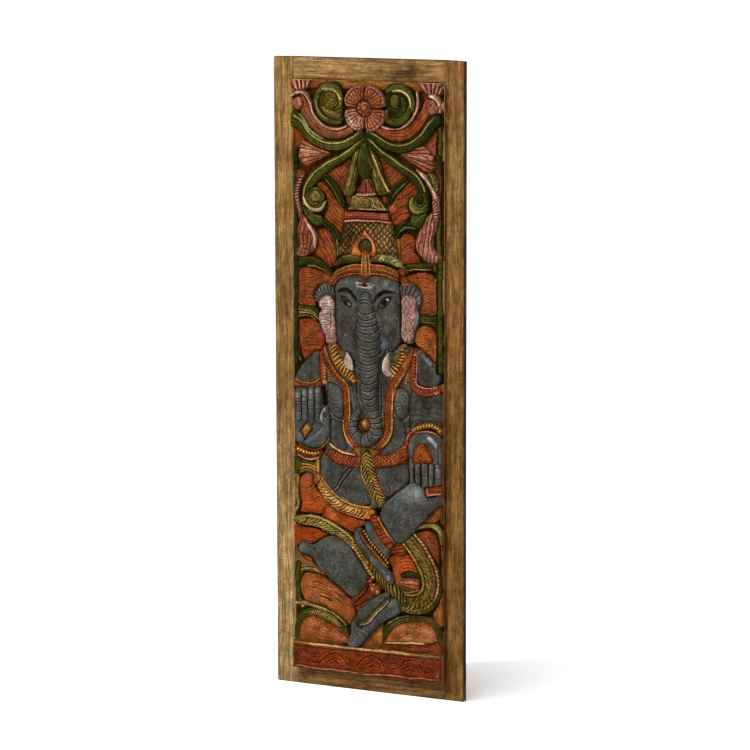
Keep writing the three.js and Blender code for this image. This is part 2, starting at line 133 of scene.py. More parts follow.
# How far apart a board's points are, and how far in the first ones are at an outer edge.
BOARD_STEP = 2.5
EDGE_STEPS = (0.4, 1.0)
# How far inner sides move out towards their neighbours, and how round the outer edges and
# corners are.
CLOSE_UP = 0.14
EDGE_ROUND = 1.3
CORNER_ROUND = 4.0
DENTS = 0.12
# How much the planed front lies below the solid's.
PLANED_OFF = 0.1
# Dark outer edges, and the darkening where a board meets the block.
OUTER_EDGE = (34, 20, 14)
OUTER_EDGE_LEAD, OUTER_EDGE_WIDTH = 1.15, 1.2
JOINT_TONE = (74, 42, 16)
JOINT_REACH = 2.2
JOINT_SHARE = 0.85
# Dark smears on the boards, and the painted shadow of the plinth on the bottom rail: the middle,
# half the width and height, and how strong they are.
SMEARS_AND_SHADOW = (
    ((60, 436), (20, 9), 0.75),
    ((72, 444), (9, 6), 0.55),
    ((-30, 452), (40, 4), 0.25),
    ((136, -60), (9, 60), 0.25),
    ((-136, 120), (9, 50), 0.25),
    ((-120, -446), (30, 7), 0.30),
    ((96, -438), (34, 6), 0.35),
    # these two are painted shadow under the plinth's overhang
    ((-60, -434), (70, 4.5), 0.60),
    ((60, -434), (70, 4.5), 0.60),
)

# The camera: where it stands in metres, its turn, tilt and roll in degrees, and its lens
# and sensor in millimetres.
CAMERA_PLACE = (2.30047, -4.40450, 0.73980)
CAMERA_TURN = (27.5255, 8.4209, -0.1425)
CAMERA_LENS = 168.47
CAMERA_SENSOR = 36
CAMERA_RANGE = 100

# The studio: a large warm lamp in front, a soft light from above and a white surround.
KEY_PLACE, KEY_TARGET = (-2.3, -2.6, 3.0), (0, 0, -0.05)
KEY_SIZE, KEY_POWER, KEY_COLOUR = 0.7, 330, (1, 0.97, 0.93)
SUN_PLACE, SUN_POWER, SUN_SPREAD = (-0.2, -0.9, 3.5), 2.5, 30
SURROUND_POWER = 0.34
FLOOR_HALF_SIZE = 45.0
FLOOR_TONE, FLOOR_ROUGHNESS, FLOOR_GLOW = 0.93, 0.9, 0.16

# Paint colours: the coat itself, and the lighter one that its rubbed ridges and its painted
# highlights show.
COATS = {
    "ground": ((70, 42, 12), (108, 64, 22)),
    "clay": ((110, 46, 16), (164, 84, 36)),
    "green": ((28, 36, 6), (98, 102, 32)),
    "deepgreen": ((18, 30, 6), (58, 72, 22)),
    "moss": ((44, 38, 6), (138, 122, 44)),
    "olive": ((60, 47, 8), (190, 156, 78)),
    "rust": ((124, 46, 12), (186, 92, 40)),
    "saffron": ((156, 50, 4), (220, 100, 28)),
    "ochre": ((142, 66, 18), (206, 120, 58)),
    "brick": ((112, 38, 8), (170, 74, 28)),
    "red": ((104, 30, 12), (180, 76, 46)),
    "rose": ((130, 62, 44), (214, 146, 122)),
    "copper": ((108, 48, 16), (194, 114, 72)),
    "grey": ((68, 69, 60), (114, 118, 114)),
    "gold": ((150, 78, 16), (246, 176, 88)),
    "umber": ((64, 40, 10), (118, 84, 34)),
    "lattice": ((56, 34, 10), (156, 120, 68)),
    "ivory": ((190, 164, 144), (226, 210, 196)),
    "earpink": ((166, 118, 106), (216, 174, 164)),
    "plinth": ((106, 30, 4), (156, 62, 22)),
    "black": ((8, 6, 5), (12, 10, 9)),
    "eyelid": ((60, 44, 36), (112, 96, 86)),
    "tan": ((118, 80, 32), (176, 132, 74)),
}


def settle(points, height):
    """Moves points from the drawing to where carving of this height shows under them."""
    p = np.asarray(points, float)
    lean = (height - FACE_LEVEL) / (SIGHT[1] - FACE_LEVEL)
    return np.stack([p[:, 0] + lean * (SIGHT[0] - p[:, 0]), p[:, 1] + lean * (SIGHT[2] - p[:, 1])],
                    1)


def spline(points, closed=False, gap=1.6):
    """A smooth line through the points, sampled every gap or so."""
    p = np.asarray(points, float)
    if len(p) == 2 and not closed:
        return p
    if closed:
        q = np.vstack([p[-1:], p, p[:2]])
    else:
        q = np.vstack([2 * p[:1] - p[1:2], p, 2 * p[-1:] - p[-2:-1]])
    out = []
    for a, b, c, d in zip(q[:-3], q[1:-2], q[2:-1], q[3:]):
        count = max(2, int(np.hypot(*(c - b)) / gap))
        t = (np.arange(count) / count)[:, None]
        out.append(0.5 * (2 * b + (c - a) * t + (2 * a - 5 * b + 4 * c - d) * t**2
                          + (3 * b - a - 3 * c + d) * t**3))
    if not closed:
        out.append(p[-1:])
    return np.vstack(out)


def measure(line, x, z):
    """Distance from a line to every cell, with how far along and on which side it is."""
    best = np.full(x.shape, 1e9, np.float32)
    along = np.zeros(x.shape, np.float32)
    side = np.zeros(x.shape, np.float32)
    run = 0.0
    for (x0, z0), (x1, z1) in zip(line[:-1], line[1:]):
        dx, dz = x1 - x0, z1 - z0
        length = max(math.hypot(dx, dz), 1e-6)
        rx, rz = x - x0, z - z0
        t = np.clip((rx * dx + rz * dz) / length**2, 0, 1)
        ex, ez = rx - t * dx, rz - t * dz
        far = ex * ex + ez * ez
        near = far < best
        best[near] = far[near]
        along[near] = (run + t * length)[near]
        side[near] = (dx * ez - dz * ex)[near]
        run += length
    return np.sqrt(best), along, np.sign(side), run


def within(line, x, z):
    """True where a cell is inside the closed line."""
    inside = np.zeros(x.shape, bool)
    for (x0, z0), (x1, z1) in zip(line, np.roll(line, -1, 0)):
        if z0 != z1:
            crosses = (z0 > z) != (z1 > z)
            inside ^= crosses & (x < (x1 - x0) * (z - z0) / (z1 - z0) + x0)
    return inside


def crown(t):
    """The rise of a quarter circle: 0 at the rim, 1 from one reach inwards."""
    return np.sqrt(np.clip(1 - (1 - np.clip(t, 0, 1)) ** 2, 0, 1))


def soft_step(t):
    """From 0 to 1 with no corner at either end."""
    t = np.clip(t, 0, 1)
    return t * t * (3 - 2 * t)


def blur(field, radius):
    """Gaussian blur over a radius in millimetres."""
    pad = int(3.5 * radius / CELL) + 2
    f = np.pad(field, pad, mode="edge")
    v = np.fft.fftfreq(f.shape[0])[:, None]
    u = np.fft.rfftfreq(f.shape[1])[None, :]
    gain = np.exp(-2 * (math.pi * radius / CELL) ** 2 * (u * u + v * v))
    return np.fft.irfft2(np.fft.rfft2(f) * gain, s=f.shape)[pad:-pad, pad:-pad]


def noise(shape, size, seed):
    """A smooth random field with lumps of about this size in millimetres, mean 0, spread 1."""
    field = blur(np.random.default_rng(seed).standard_normal(shape), size / 2)
    return (field - field.mean()) / field.std()


def linear(srgb):
    """An sRGB colour as amounts of light."""
    c = np.asarray(srgb, float) / 255
    return np.where(c <= 0.04045, c / 12.92, ((c + 0.055) / 1.055) ** 2.4)


def directions(line):
    """The way a line runs at each of its points, one unit long."""
    step = np.gradient(line, axis=0)
    return step / np.hypot(*step.T)[:, None]


def run_of(line):
    """How far along a line each of its points is."""
    return np.concatenate([[0], np.cumsum(np.hypot(*np.diff(line, axis=0).T))])


def spread_along(values, share):
    """A value, or one of a list spread evenly from a line's start to its end."""
    values = np.atleast_1d(values)
    return np.interp(share, np.linspace(0, 1, len(values)), values)


def beside(path, by):
    """The path moved over to its left; by is how far, or a list spread along it."""
    line = spline(path)
    step = directions(line)
    by = spread_along(by, np.linspace(0, 1, len(line)))
    return np.stack([line[:, 0] - by * step[:, 1], line[:, 1] + by * step[:, 0]], 1)[::3]


class Patch:
    """The cells that one stroke covers, and where they lie on it: how far inside its rim, how
    far along it, and how far across it in parts of half its width."""

    def __init__(self, window, x, z, inside, along, across, half=1.0):
        self.window, self.x, self.z = window, x, z
        self.inside, self.along, self.across, self.half = inside, along, across, half


def waver(p):
    """The unevenness of cuts made by hand, in parts of one step from cut to cut."""
    return 0.16 * np.sin(p.x / 4.7 + 1.4 * np.sin(p.z / 7.9)) + 0.12 * np.sin(p.z / 3.9 - p.x / 11)


def furrow(phase, depth, sharp, p):
    """Cuts at every whole number of phase, uneven in place and in depth."""
    deep = depth * (0.82 + 0.18 * np.sin(p.x / 8.3 + p.z / 5.9))
    return -deep * (0.5 + 0.5 * np.cos(2 * math.pi * (phase + waver(p)))) ** sharp


def ribs(pitch, depth, slant=0.0, sharp=1.0):
    """Cuts across a band, leaning along it by slant."""
    return lambda p: furrow((p.along + slant * p.across * p.half) / pitch, depth, sharp, p)


def barbs(pitch, depth, lean=1.0, sharp=1.0):
    """Cuts that meet in a chevron on the middle line."""
    return lambda p: furrow((p.along + lean * np.abs(p.across) * p.half) / pitch, depth, sharp, p)


def lines(pitch, depth, degrees, sharp=1.5):
    """Straight cuts over the whole shape at one angle."""
    c, s = math.cos(math.radians(degrees)), math.sin(math.radians(degrees))
    return lambda p: furrow((p.z * c - p.x * s) / pitch, depth, sharp, p)


def lattice(pitch, depth, degrees=45, sharp=3.0):
    """Two crossing sets of cuts."""
    one, two = lines(pitch, depth, degrees, sharp), lines(pitch, depth, -degrees, sharp)
    return lambda p: np.minimum(one(p), two(p))


def comb(path, pitch, reach, lean, bow):
    """Short curved lines set across a path like the teeth of a comb, each with a strength near
    one; reach is how far they go to its left, and lean how far they lie over along it."""
    line = spline(path, gap=0.8)
    step, run = directions(line), run_of(line)
    rng = np.random.default_rng(int(run[-1] * 97 + line[0, 0] * 31) % 99991)
    for at in np.arange(0.5 * pitch, run[-1], pitch):
        i = np.searchsorted(run, at + rng.uniform(-0.15, 0.15) * pitch)
        i = min(i, len(line) - 1)
        (x, z), (dx, dz) = line[i], step[i]
        far = spread_along(reach, i / len(line)) * rng.uniform(0.85, 1.1)
        over = lean * abs(far)
        half_over = (0.5 - bow) * over
        mid = (x + half_over * dx - 0.5 * far * dz, z + half_over * dz + 0.5 * far * dx)
        tip = (x + over * dx - far * dz, z + over * dz + far * dx)
        yield [(x, z), mid, tip], rng.uniform(0.6, 1.1)


class Carving:
    """The face of the block: its height, its paint, and the lighter colour that its rubbed ridges
    and painted highlights show.
    """

    def __init__(self):
        self.xs = np.arange(BLOCK_LEFT, BLOCK_RIGHT + CELL / 2, CELL)
        self.zs = np.arange(BLOCK_BOTTOM, BLOCK_TOP + CELL / 2, CELL)
        shape = (len(self.zs), len(self.xs))
        self.height = np.full(shape, GROUND)
        self.paint = np.empty(shape + (3,))
        self.rub_and_highlight = np.empty(shape + (3,))
        self.paint[:] = linear(COATS["ground"][0])
        self.rub_and_highlight[:] = linear(COATS["ground"][1])
        self.stain_and_shade = np.zeros(shape)
        self.soil_and_shade = np.zeros(shape)
        self.detail = np.zeros(shape)
        # how near each cell is to its stroke's rim: rims get painted shade and middles painted
        # highlight
        self.edge = np.ones(shape)
        # the hand's unsteadiness: every shape is drawn on places shifted by a little
        self.shift = [UNSTEADY * (noise(shape, 14, seed) + 0.6 * noise(shape, 5, seed + 1))
                      for seed in (40, 50)]

    def wash(self, bottom, top, coat):
        """Colours the bare ground between two heights of the panel."""
        rows = (self.zs >= bottom) & (self.zs < top)
        self.paint[rows] = linear(COATS[coat][0])
        self.rub_and_highlight[rows] = linear(COATS[coat][1])

    def look(self, low, high):
        """The window of cells between two corners."""
        i0 = int(np.clip((low[0] - BLOCK_LEFT) / CELL, 0, len(self.xs) - 1))
        i1 = int(np.clip((high[0] - BLOCK_LEFT) / CELL + 2, i0 + 1, len(self.xs)))
        j0 = int(np.clip((low[1] - BLOCK_BOTTOM) / CELL, 0, len(self.zs) - 1))
        j1 = int(np.clip((high[1] - BLOCK_BOTTOM) / CELL + 2, j0 + 1, len(self.zs)))
        window = (slice(j0, j1), slice(i0, i1))
        x, z = np.meshgrid(self.xs[i0:i1], self.zs[j0:j1])
        return window, x + self.shift[0][window], z + self.shift[1][window]

    def lay(self, patch, surface, coat, wall, swell, texture, fade, edge, fine=0.0):
        """Blends a stroke's surface and colours over what is there. fine is the part of the
        surface that is small enough to be rubbed bright on top and dirty beside. edge is how near
        each cell is to the stroke's rim: it later darkens the rim as painted shade and lightens the
        middle as painted highlight."""
        detail = texture(patch) * fade if texture else np.zeros(patch.inside.shape)
        inside = patch.inside + swell
        cover = soft_step(inside / wall + 0.5)
        w = patch.window
        self.height[w] += cover * (surface + detail - self.height[w])
        self.detail[w] += cover * (detail + fine - self.detail[w])
        self.edge[w] += cover * (np.clip(edge, 0, 1) - self.edge[w])
        self.stain_and_shade[w] *= 1 - cover
        self.soil_and_shade[w] *= 1 - cover
        self.colour(w, soft_step(inside / COLOUR_RIM + COLOUR_LEAD), *COATS[coat])

    def colour(self, window, share, body, ridge):
        """Blends a colour, and the lighter one for rubbed ridges and painted highlights, into what
        is there.
        """
        share = share[..., None]
        self.paint[window] += share * (linear(body) - self.paint[window])
        self.rub_and_highlight[window] += share * (linear(ridge) - self.rub_and_highlight[window])

    def area(self, outline, top, coat, dome=0.0, reach=8.0, edge=1.0, texture=None, wall=1.2,
             closed_smooth=True):
        """A raised shape with a rounded rim, swelling by dome towards its middle."""
        line = settle(outline, top)
        if closed_smooth:
            line = spline(line, closed=True)
        window, x, z = self.look(line.min(0) - 3, line.max(0) + 3)
        loop = np.vstack([line, line[:1]])
        far, along, _, _ = measure(loop, x, z)
        inside = np.where(within(line, x, z), far, -far)
        patch = Patch(window, x, z, inside, along, inside / reach, reach)
        surface = top - dome * (1 - crown(inside / reach))
        surface -= edge * (1 - crown(inside / (1.6 * edge)))
        self.lay(patch, surface, coat, wall, SWELL, texture, soft_step(inside / 1.5),
                 np.exp(-np.clip(inside, 0, None) / EDGE_REACH))

    def band(self, path, half, top, coat, rise=1.5, form="round", texture=None):
        """A stem along a path. half is its half-width, or a list spread along it."""
        line = spline(settle(path, top))
        widest = max(np.atleast_1d(half))
        window, x, z = self.look(line.min(0) - widest - 2, line.max(0) + widest + 2)
        far, along, side, run = measure(line, x, z)
        half_here = spread_along(half, along / run)
        across = far * side / np.maximum(half_here, 0.1)
        v = np.clip(np.abs(across), 0, 1)
        hollow, lip = np.clip(1 - (v / 0.6) ** 2, 0, 1), np.clip((v - 0.75) / 0.25, 0, 1)
        shapes = {
            "round": 1 - np.sqrt(np.clip(1 - v * v, 0, 1)),
            "flat": np.clip((v - 0.6) / 0.4, 0, 1) ** 2,
            "gutter": hollow * 0.9 + lip**2,
        }
        patch = Patch(window, x, z, half_here - far, along, across, half_here)
        fall = rise * shapes[form]
        self.lay(patch, top - fall, coat, 1.2, np.minimum(SWELL, 0.2 * half_here), texture,
                 soft_step((half_here - far) / 0.8), v**3 * np.minimum(1, half_here / 4),
                 -fall * np.clip(1.5 - half_here / 3, 0, 1))

    def boss(self, centre, radii, top, coat, rise=3.0, turn=0.0):
        """An oval button."""
        small = np.min(radii)
        window, x, z, u, v = self.oval(centre, radii, turn, top, np.max(radii) + 2)
        r = np.hypot(u, v)
        patch = Patch(window, x, z, (1 - r) * small, np.arctan2(v, u), r)
        fall = rise * (1 - np.sqrt(np.clip(1 - r * r, 0, 1)))
        self.lay(patch, top - fall, coat, 1.0, min(SWELL, 0.1 * small), None, 1.0,
                 r**3 * min(1, small / 4), -fall * max(0, min(1, 1.5 - small / 4)))

    def oval(self, centre, radii, turn, top, reach):
        """A window round a centre, and its cells' places in parts of the two radii."""
        (cx, cz), = settle([centre], top)
        rx, rz = np.broadcast_to(radii, 2)
        window, x, z = self.look((cx - reach, cz - reach), (cx + reach, cz + reach))
        c, s = math.cos(math.radians(turn)), math.sin(math.radians(turn))
        u, v = (c * (x - cx) + s * (z - cz)) / rx, (-s * (x - cx) + c * (z - cz)) / rz
        return window, x, z, u, v

    def beads(self, path, radius, top, coat, pitch, rise):
        """A string of round beads along a path."""
        line = spline(settle(path, top))
        run = run_of(line)
        count = max(2, int(round(run[-1] / pitch)))
        lean = (top - FACE_LEVEL) / (SIGHT[1] - FACE_LEVEL)
        for at in (np.arange(count) + 0.5) / count * run[-1]:
            x, z = np.interp(at, run, line[:, 0]), np.interp(at, run, line[:, 1])
            # boss shifts its centre to where it is seen, so it is given the place it is drawn at
            drawn_at = ((x - lean * SIGHT[0]) / (1 - lean), (z - lean * SIGHT[2]) / (1 - lean))
            self.boss(drawn_at, radius, top, coat, rise)

    def cut(self, path, width, depth, top=USUAL_LEVEL, dark=0.8):
        """An engraved line, deepest in the middle, with stain left in it."""
        line = spline(settle(path, top))
        window, x, z = self.look(line.min(0) - width, line.max(0) + width)
        far, _, _, _ = measure(line, x, z)
        groove = np.clip(1 - far / (0.55 * width), 0, 1)
        self.height[window] -= depth * groove
        self.detail[window] -= depth * groove
        self.stain_and_shade[window] = np.maximum(self.stain_and_shade[window], dark * soft_step(2.2 * groove))

    def stroke(self, path, width, colour, top, share, soft=0.6):
        """Paint along a line, with no change of height."""
        line = spline(settle(path, top))
        window, x, z = self.look(line.min(0) - width, line.max(0) + width)
        far, _, _, _ = measure(line, x, z)
        self.colour(window, soft_step((width / 2 - far) / soft + 0.5) * share, colour, colour)

    def stem(self, path, half, top, coat, rise, gleam, share=0.8, lit=1):
        """A rounded stem with grooves along it and a line of light paint; lit is 1 where its
        left side faces the light and -1 where its right side does."""
        self.band(path, half, top, coat, rise)
        half = np.atleast_1d(half) * lit
        for at, depth, dark in ((0.10, 0.7, 0.6), (-0.42, 0.8, 0.7), (0.78, 0.4, 0.5)):
            self.cut(beside(path, at * half), 1.1, depth, top, dark)
        self.stroke(beside(path, 0.45 * half), 1.7, gleam, top, share)

    def ticks(self, path, pitch, reach, lean, colour, width=1.0, top=21.0, share=0.8, bow=0.0):
        """A comb of short curved strokes of paint."""
        for line, strength in comb(path, pitch, reach, lean, bow):
            self.stroke(line, width, colour, top, share * strength)

    def notches(self, path, pitch, reach, lean, width=2.2, depth=1.4, top=21.0, dark=0.9, bow=0.0):
        """A comb of short curved cuts."""
        for line, strength in comb(path, pitch, reach, lean, bow):
            self.cut(line, width, depth * strength, top, dark * strength)

    def cloud(self, centre, radii, turn, top):
        """A window and how much of a soft oval patch lies on each of its cells."""
        window, _, _, u, v = self.oval(centre, radii, turn, top, 1.6 * np.max(radii))
        return window, np.exp(-1.2 * (u * u + v * v))

    def hatch(self, centre, radii, turn, count=40, light=(206, 116, 74), dark=(70, 26, 12)):
        """Light and dark brush marks over an oval, all about one way."""
        self.scratch(centre, radii, turn, dark, count, 9.0, 0.42, 8)
        self.scratch((centre[0] + 0.7, centre[1] + 0.9), radii, turn, light, count, 8.0, 0.55, 8)

    def specks(self, centre, radii, count=50):
        """Small dark and light marks over an oval, lying every way."""
        self.scratch(centre, radii, 40, (20, 18, 14), count, 3.2, 0.6, 90)
        self.scratch((centre[0] + 1.3, centre[1] - 0.8), radii, 40, (136, 138, 132), count, 3.0,
                     0.45, 90)

    def scratch(self, centre, radii, turn, colour, count=26, length=7.0, share=0.45, fan=14):
        """Short thin strokes of paint scattered over an oval, most of them one way."""
        rng = np.random.default_rng(int(1000 + centre[0] * 7 + centre[1] * 13) % 99991)
        rx, rz = radii
        for _ in range(count):
            bearing, away = rng.uniform(0, 2 * math.pi), math.sqrt(rng.uniform(0, 1))
            x = centre[0] + rx * away * math.cos(bearing)
            z = centre[1] + rz * away * math.sin(bearing)
            way = math.radians(turn + rng.uniform(-fan, fan))
            reach = 0.5 * length * rng.uniform(0.5, 1.3)
            step = (reach * math.cos(way), reach * math.sin(way))
            self.stroke([(x - step[0], z - step[1]), (x + step[0], z + step[1])], 0.9, colour, 20,
                        share * rng.uniform(0.5, 1.2))

    def tint(self, centre, radii, colour, share=0.5, turn=0.0):
        """A soft patch of another colour, weaker where the paint is rubbed and where highlights are
        painted.
        """
        window, cloud = self.cloud(centre, radii, turn, USUAL_LEVEL)
        tone = share * cloud[..., None]
        self.paint[window] += tone * (linear(colour) - self.paint[window])
        self.rub_and_highlight[window] += 0.5 * tone * (linear(colour) - self.rub_and_highlight[window])

    def dirt_and_shade(self, centre, radii, share=0.5, turn=0.0, top=USUAL_LEVEL):
        """A soft darker patch: grime in some places, painted shade in others."""
        window, cloud = self.cloud(centre, radii, turn, top)
        self.soil_and_shade[window] = np.maximum(self.soil_and_shade[window], share * cloud)

    def swelling(self, centre, radii, rise):
        """A soft rise with no edge."""
        window, cloud = self.cloud(centre, radii, 0.0, USUAL_LEVEL)
        self.height[window] += rise * cloud


def curl(centre, start, end, degrees, turn):
    """Points of a spiral from one radius to another."""
    count = max(6, int(abs(turn) / 30))
    t = np.linspace(0, 1, count)
    a = np.radians(degrees + turn * t)
    r = start + (end - start) * t
    return [(centre[0] + q * math.cos(b), centre[1] + q * math.sin(b)) for q, b in zip(r, a)]


def rim(at, width, depth):
    """One groove that follows the outline, at this distance inside it."""
    return lambda p: -depth * np.clip(1 - np.abs(p.inside - at) / (width / 2), 0, 1)


def rays(centre, pitch_degrees, depth, top=21.0, sharp=1.5):
    """Grooves that run out from a centre."""
    (cx, cz), = settle([centre], top)

    def grooves(p):
        turn = np.degrees(np.arctan2(p.z - cz, p.x - cx))
        return -depth * (0.5 + 0.5 * np.cos(2 * math.pi * turn / pitch_degrees)) ** sharp

    return grooves


def both(*textures):
    """Textures laid over each other."""
    return lambda p: sum(t(p) for t in textures)


def lobe(centre, turn, shape):
    """An outline given as (radius, degrees off the middle line) round a centre."""
    return [(centre[0] + r * math.cos(math.radians(turn + a)),
             centre[1] + r * math.sin(math.radians(turn + a))) for r, a in shape]


def lower_left_petals(c):
    """The folds, bands and petals by the left edge below the knee."""
    # olive folds below the left foot
    c.area([(-116, -250), (-104, -258), (-96, -268), (-84, -274), (-70, -280), (-66, -290),
            (-84, -286), (-100, -288), (-106, -300), (-116, -300)], 17, "olive", edge=1.2)
    c.tint((-100, -276), (14, 12), (104, 88, 30), 0.6)
    c.band([(-108, -260), (-103, -267), (-95, -272), (-86, -274)], 1.5, 18.2, "tan", 1.3)
    c.area([(-104, -259), (-96, -262), (-88, -266), (-86, -272), (-96, -269)], 17.6, "ochre",
           edge=1)
    c.band([(-104, -276), (-94, -276), (-86, -277)], 1.5, 18, "copper", 1.2)
    c.band([(-106, -286), (-96, -283), (-84, -282), (-74, -286)], 2.2, 18.2, "olive", 1.5)
    c.stroke([(-82, -281), (-76, -284), (-71, -286)], 2.4, (206, 156, 108), 18.2, 0.75)
    c.boss((-108, -266), 2.4, 17.6, "tan", 1.2)
    c.cut([(-98, -289), (-86, -287), (-74, -288), (-64, -291)], 1.8, 1.4, 18, 0.85)
    c.band([(-108, -276), (-110, -295), (-110, -318), (-106, -330)], [3.5, 4.4, 4.4, 3], 17.4,
           "green", 1.8)
    c.tint((-108, -308), (4, 14), (80, 84, 46), 0.6)
    # the big petal
    c.area([(-100, -292), (-90, -289), (-76, -290), (-62, -296), (-48, -304), (-36, -312),
            (-26, -319), (-20, -325), (-17, -336), (-15, -346), (-20, -355), (-25, -358),
            (-33, -352), (-44, -345), (-56, -339), (-70, -334), (-86, -332), (-98, -329),
            (-104, -320), (-106, -306)], 18.4, "ochre", dome=1.8, reach=10)
    c.tint((-50, -310), (18, 5), (196, 104, 74), 0.6, -25)
    c.tint((-92, -314), (10, 12), (176, 100, 50), 0.5)
    c.tint((-64, -329), (14, 4), (176, 124, 40), 0.6, -12)
    c.tint((-24, -327), (6, 7), (196, 84, 76), 0.75)
    c.tint((-28, -342), (10, 7), (176, 100, 30), 0.5)
    c.tint((-50, -331), (6, 4), (200, 96, 60), 0.5)
    c.hatch((-62, -318), (32, 14), -18, 60, (222, 140, 90), (110, 50, 20))
    nested = [[(-86, -301.5), (-76, -301), (-64, -304), (-50, -310.5), (-38, -318)],
              [(-88, -309), (-76, -309.6), (-62, -313.6), (-48, -320.6), (-36, -328)],
              [(-72, -315), (-62, -317), (-50, -321.6), (-40, -327)],
              [(-76, -331), (-64, -334), (-52, -338.6), (-44, -342)],
              [(-52, -313), (-44, -317), (-37, -321.5)], [(-55, -317), (-46, -321.6)]]
    for line in nested:
        c.cut(line, 1.5, 1.1, 18.4, 0.65)
    c.cut([(-73, -321), (-64, -322.6), (-55, -326)], 3.0, 2.2, 18.4, 0.8)
    c.stroke([(-72, -321), (-64, -322.6), (-57, -325)], 1.8, (104, 26, 14), 18, 0.8)
    for k in range(5):
        c.cut([(-99 + 3.6 * k, -306 - 0.6 * k), (-100 + 3.6 * k, -316), (-98 + 3.6 * k, -326)], 1.2,
              0.7, 18.4, 0.5)
    c.band([(-112, -335), (-98, -334), (-84, -336), (-68, -339), (-54, -344), (-42, -351),
            (-32, -359)], [3, 3.4, 3.4, 3, 2.8, 2.6, 2.4], 17.6, "olive", 1.6)
    c.tint((-80, -336), (14, 3), (150, 104, 70), 0.6)
    c.boss((-103, -339), (2.6, 1.8), 18.6, "gold", 1.2)
    c.cut([(-102, -329), (-94, -331), (-84, -333), (-70, -336), (-56, -341)], 1.6, 1.3, 18, 0.85)


def lower_left_arch(c):
    """The arch of leaves in the lower left corner."""
    c.area([(-116, -388), (-115, -362), (-108, -350), (-98, -343), (-86, -340), (-72, -341),
            (-58, -344), (-44, -351), (-33, -360), (-27, -370), (-26, -380), (-36, -388)], 17.4,
           "green", edge=1.6)
    c.tint((-88, -346), (14, 4), (88, 104, 40), 0.6)
    c.tint((-111, -372), (3, 10), (28, 74, 30), 0.8)
    c.tint((-32, -366), (5, 8), (62, 84, 22), 0.7)
    c.cut([(-111, -356), (-104, -348), (-95, -344), (-84, -341.6)], 1.5, 1.2, 17.4, 0.8)
    c.band([(-86, -346), (-72, -346), (-60, -350), (-48, -356), (-40, -362)], [3, 4.4, 4.8, 4.4, 3],
           18, "olive", 1.4, texture=ribs(3.2, 0.9, -0.6, 1.6))
    for shift in (0, 3.2, 6.4):
        c.stroke([(-70 + 0.4 * shift, -343 - shift), (-58 + 0.2 * shift, -346 - shift),
                  (-46, -352 - shift)], 0.9, (190, 170, 94), 18, 0.7)
    c.area([(-107, -370), (-103, -360), (-95, -354), (-84, -351.5), (-72, -353.5), (-60, -358.5),
            (-48, -364), (-38, -371), (-28, -379), (-30, -388), (-60, -391), (-104, -391),
            (-108, -380)], 18.6, "ochre", dome=2.2, reach=10)
    c.tint((-90, -364), (14, 7), (186, 106, 70), 0.5)
    c.tint((-44, -380), (8, 9), (186, 78, 66), 0.75)
    c.hatch((-68, -372), (28, 11), -8, 44, (226, 146, 96), (120, 60, 26))
    c.tint((-32, -382), (5, 6), (214, 148, 70), 0.7)
    for line in ([(-83, -364), (-78, -367), (-74, -369.6)], [(-82, -366.6), (-77, -369.4)],
                 [(-70, -380), (-62, -381), (-54, -382)], [(-80, -387), (-68, -386), (-56, -386.6)],
                 [(-90, -355), (-80, -356), (-70, -358)], [(-78, -372), (-68, -374), (-58, -377)]):
        c.cut(line, 1.2, 0.8, 18.6, 0.5)
    c.boss((-110, -389), (4, 2), 18, "tan", 1.2)


def lower_right_arch(c):
    """The arch of leaves in the lower right corner."""
    c.area([(10, -352), (20, -352), (32, -354), (34, -370), (32, -390), (-4, -391), (0, -378),
            (8, -366)], 17, "ochre", edge=1.4)
    c.tint((22, -366), (9, 11), (214, 152, 46), 0.85)
    c.tint((4, -386), (12, 4), (150, 84, 22), 0.7)
    c.area([(30, -362), (34, -352), (44, -344), (56, -338), (72, -335), (92, -335), (108, -338),
            (120, -346), (126, -360), (126, -391), (40, -391)], 17.4, "green", edge=1.6)
    c.tint((40, -352), (12, 6), (70, 70, 22), 0.6, 40)
    c.tint((106, -341), (12, 5), (118, 96, 40), 0.6)
    c.tint((122, -376), (3, 12), (52, 76, 22), 0.8)
    c.cut([(34, -360), (42, -351), (54, -343), (68, -338.6)], 1.8, 1.4, 17.4, 0.8)
    c.band([(38, -350), (46, -344), (54, -340)], 1.2, 17.8, "tan", 1.0)
    c.area([(34, -374), (40, -364), (48, -356), (58, -349), (70, -345.6), (84, -343.6),
            (96, -343.4), (106, -347), (114, -356), (118, -368), (118, -382), (112, -380),
            (96, -378), (60, -381), (36, -384)], 19, "ochre", dome=2.4, reach=11)
    c.tint((62, -356), (14, 7), (196, 116, 80), 0.55)
    c.tint((98, -358), (10, 6), (214, 138, 120), 0.8)
    c.tint((98, -369), (12, 4), (206, 166, 84), 0.7)
    c.tint((70, -370), (20, 5), (200, 146, 80), 0.6)
    c.hatch((76, -362), (30, 11), 6, 50, (232, 156, 104), (124, 64, 30))
    c.cut([(56, -371), (62, -367), (70, -363.6)], 1.3, 0.9, 19, 0.6)
    c.cut([(70, -362), (78, -360.6)], 1.2, 0.8, 19, 0.5)
    c.area([(30, -383), (44, -380), (64, -379), (90, -376), (108, -373), (118, -370), (119, -391),
            (32, -391)], 17, "rust", edge=1.2)
    c.tint((60, -386), (24, 4), (140, 76, 34), 0.7)
    c.band([(34, -380), (48, -378.4), (64, -376.8), (80, -375.4), (98, -374.8)],
           [1.6, 2.4, 2.6, 2.4, 1.6], 19.4, "tan", 1.6)
    c.stroke([(38, -379), (54, -377.6), (72, -375.6), (94, -375)], 2.4, (244, 188, 120), 19.4, 0.8)
    c.cut([(70, -382.4), (90, -380), (106, -380)], 1.4, 1.0, 18, 0.7)
    c.cut([(40, -388), (70, -388), (100, -387)], 1.3, 0.9, 17.4, 0.6)
    c.tint((114, -384), (5, 7), (176, 90, 44), 0.7)


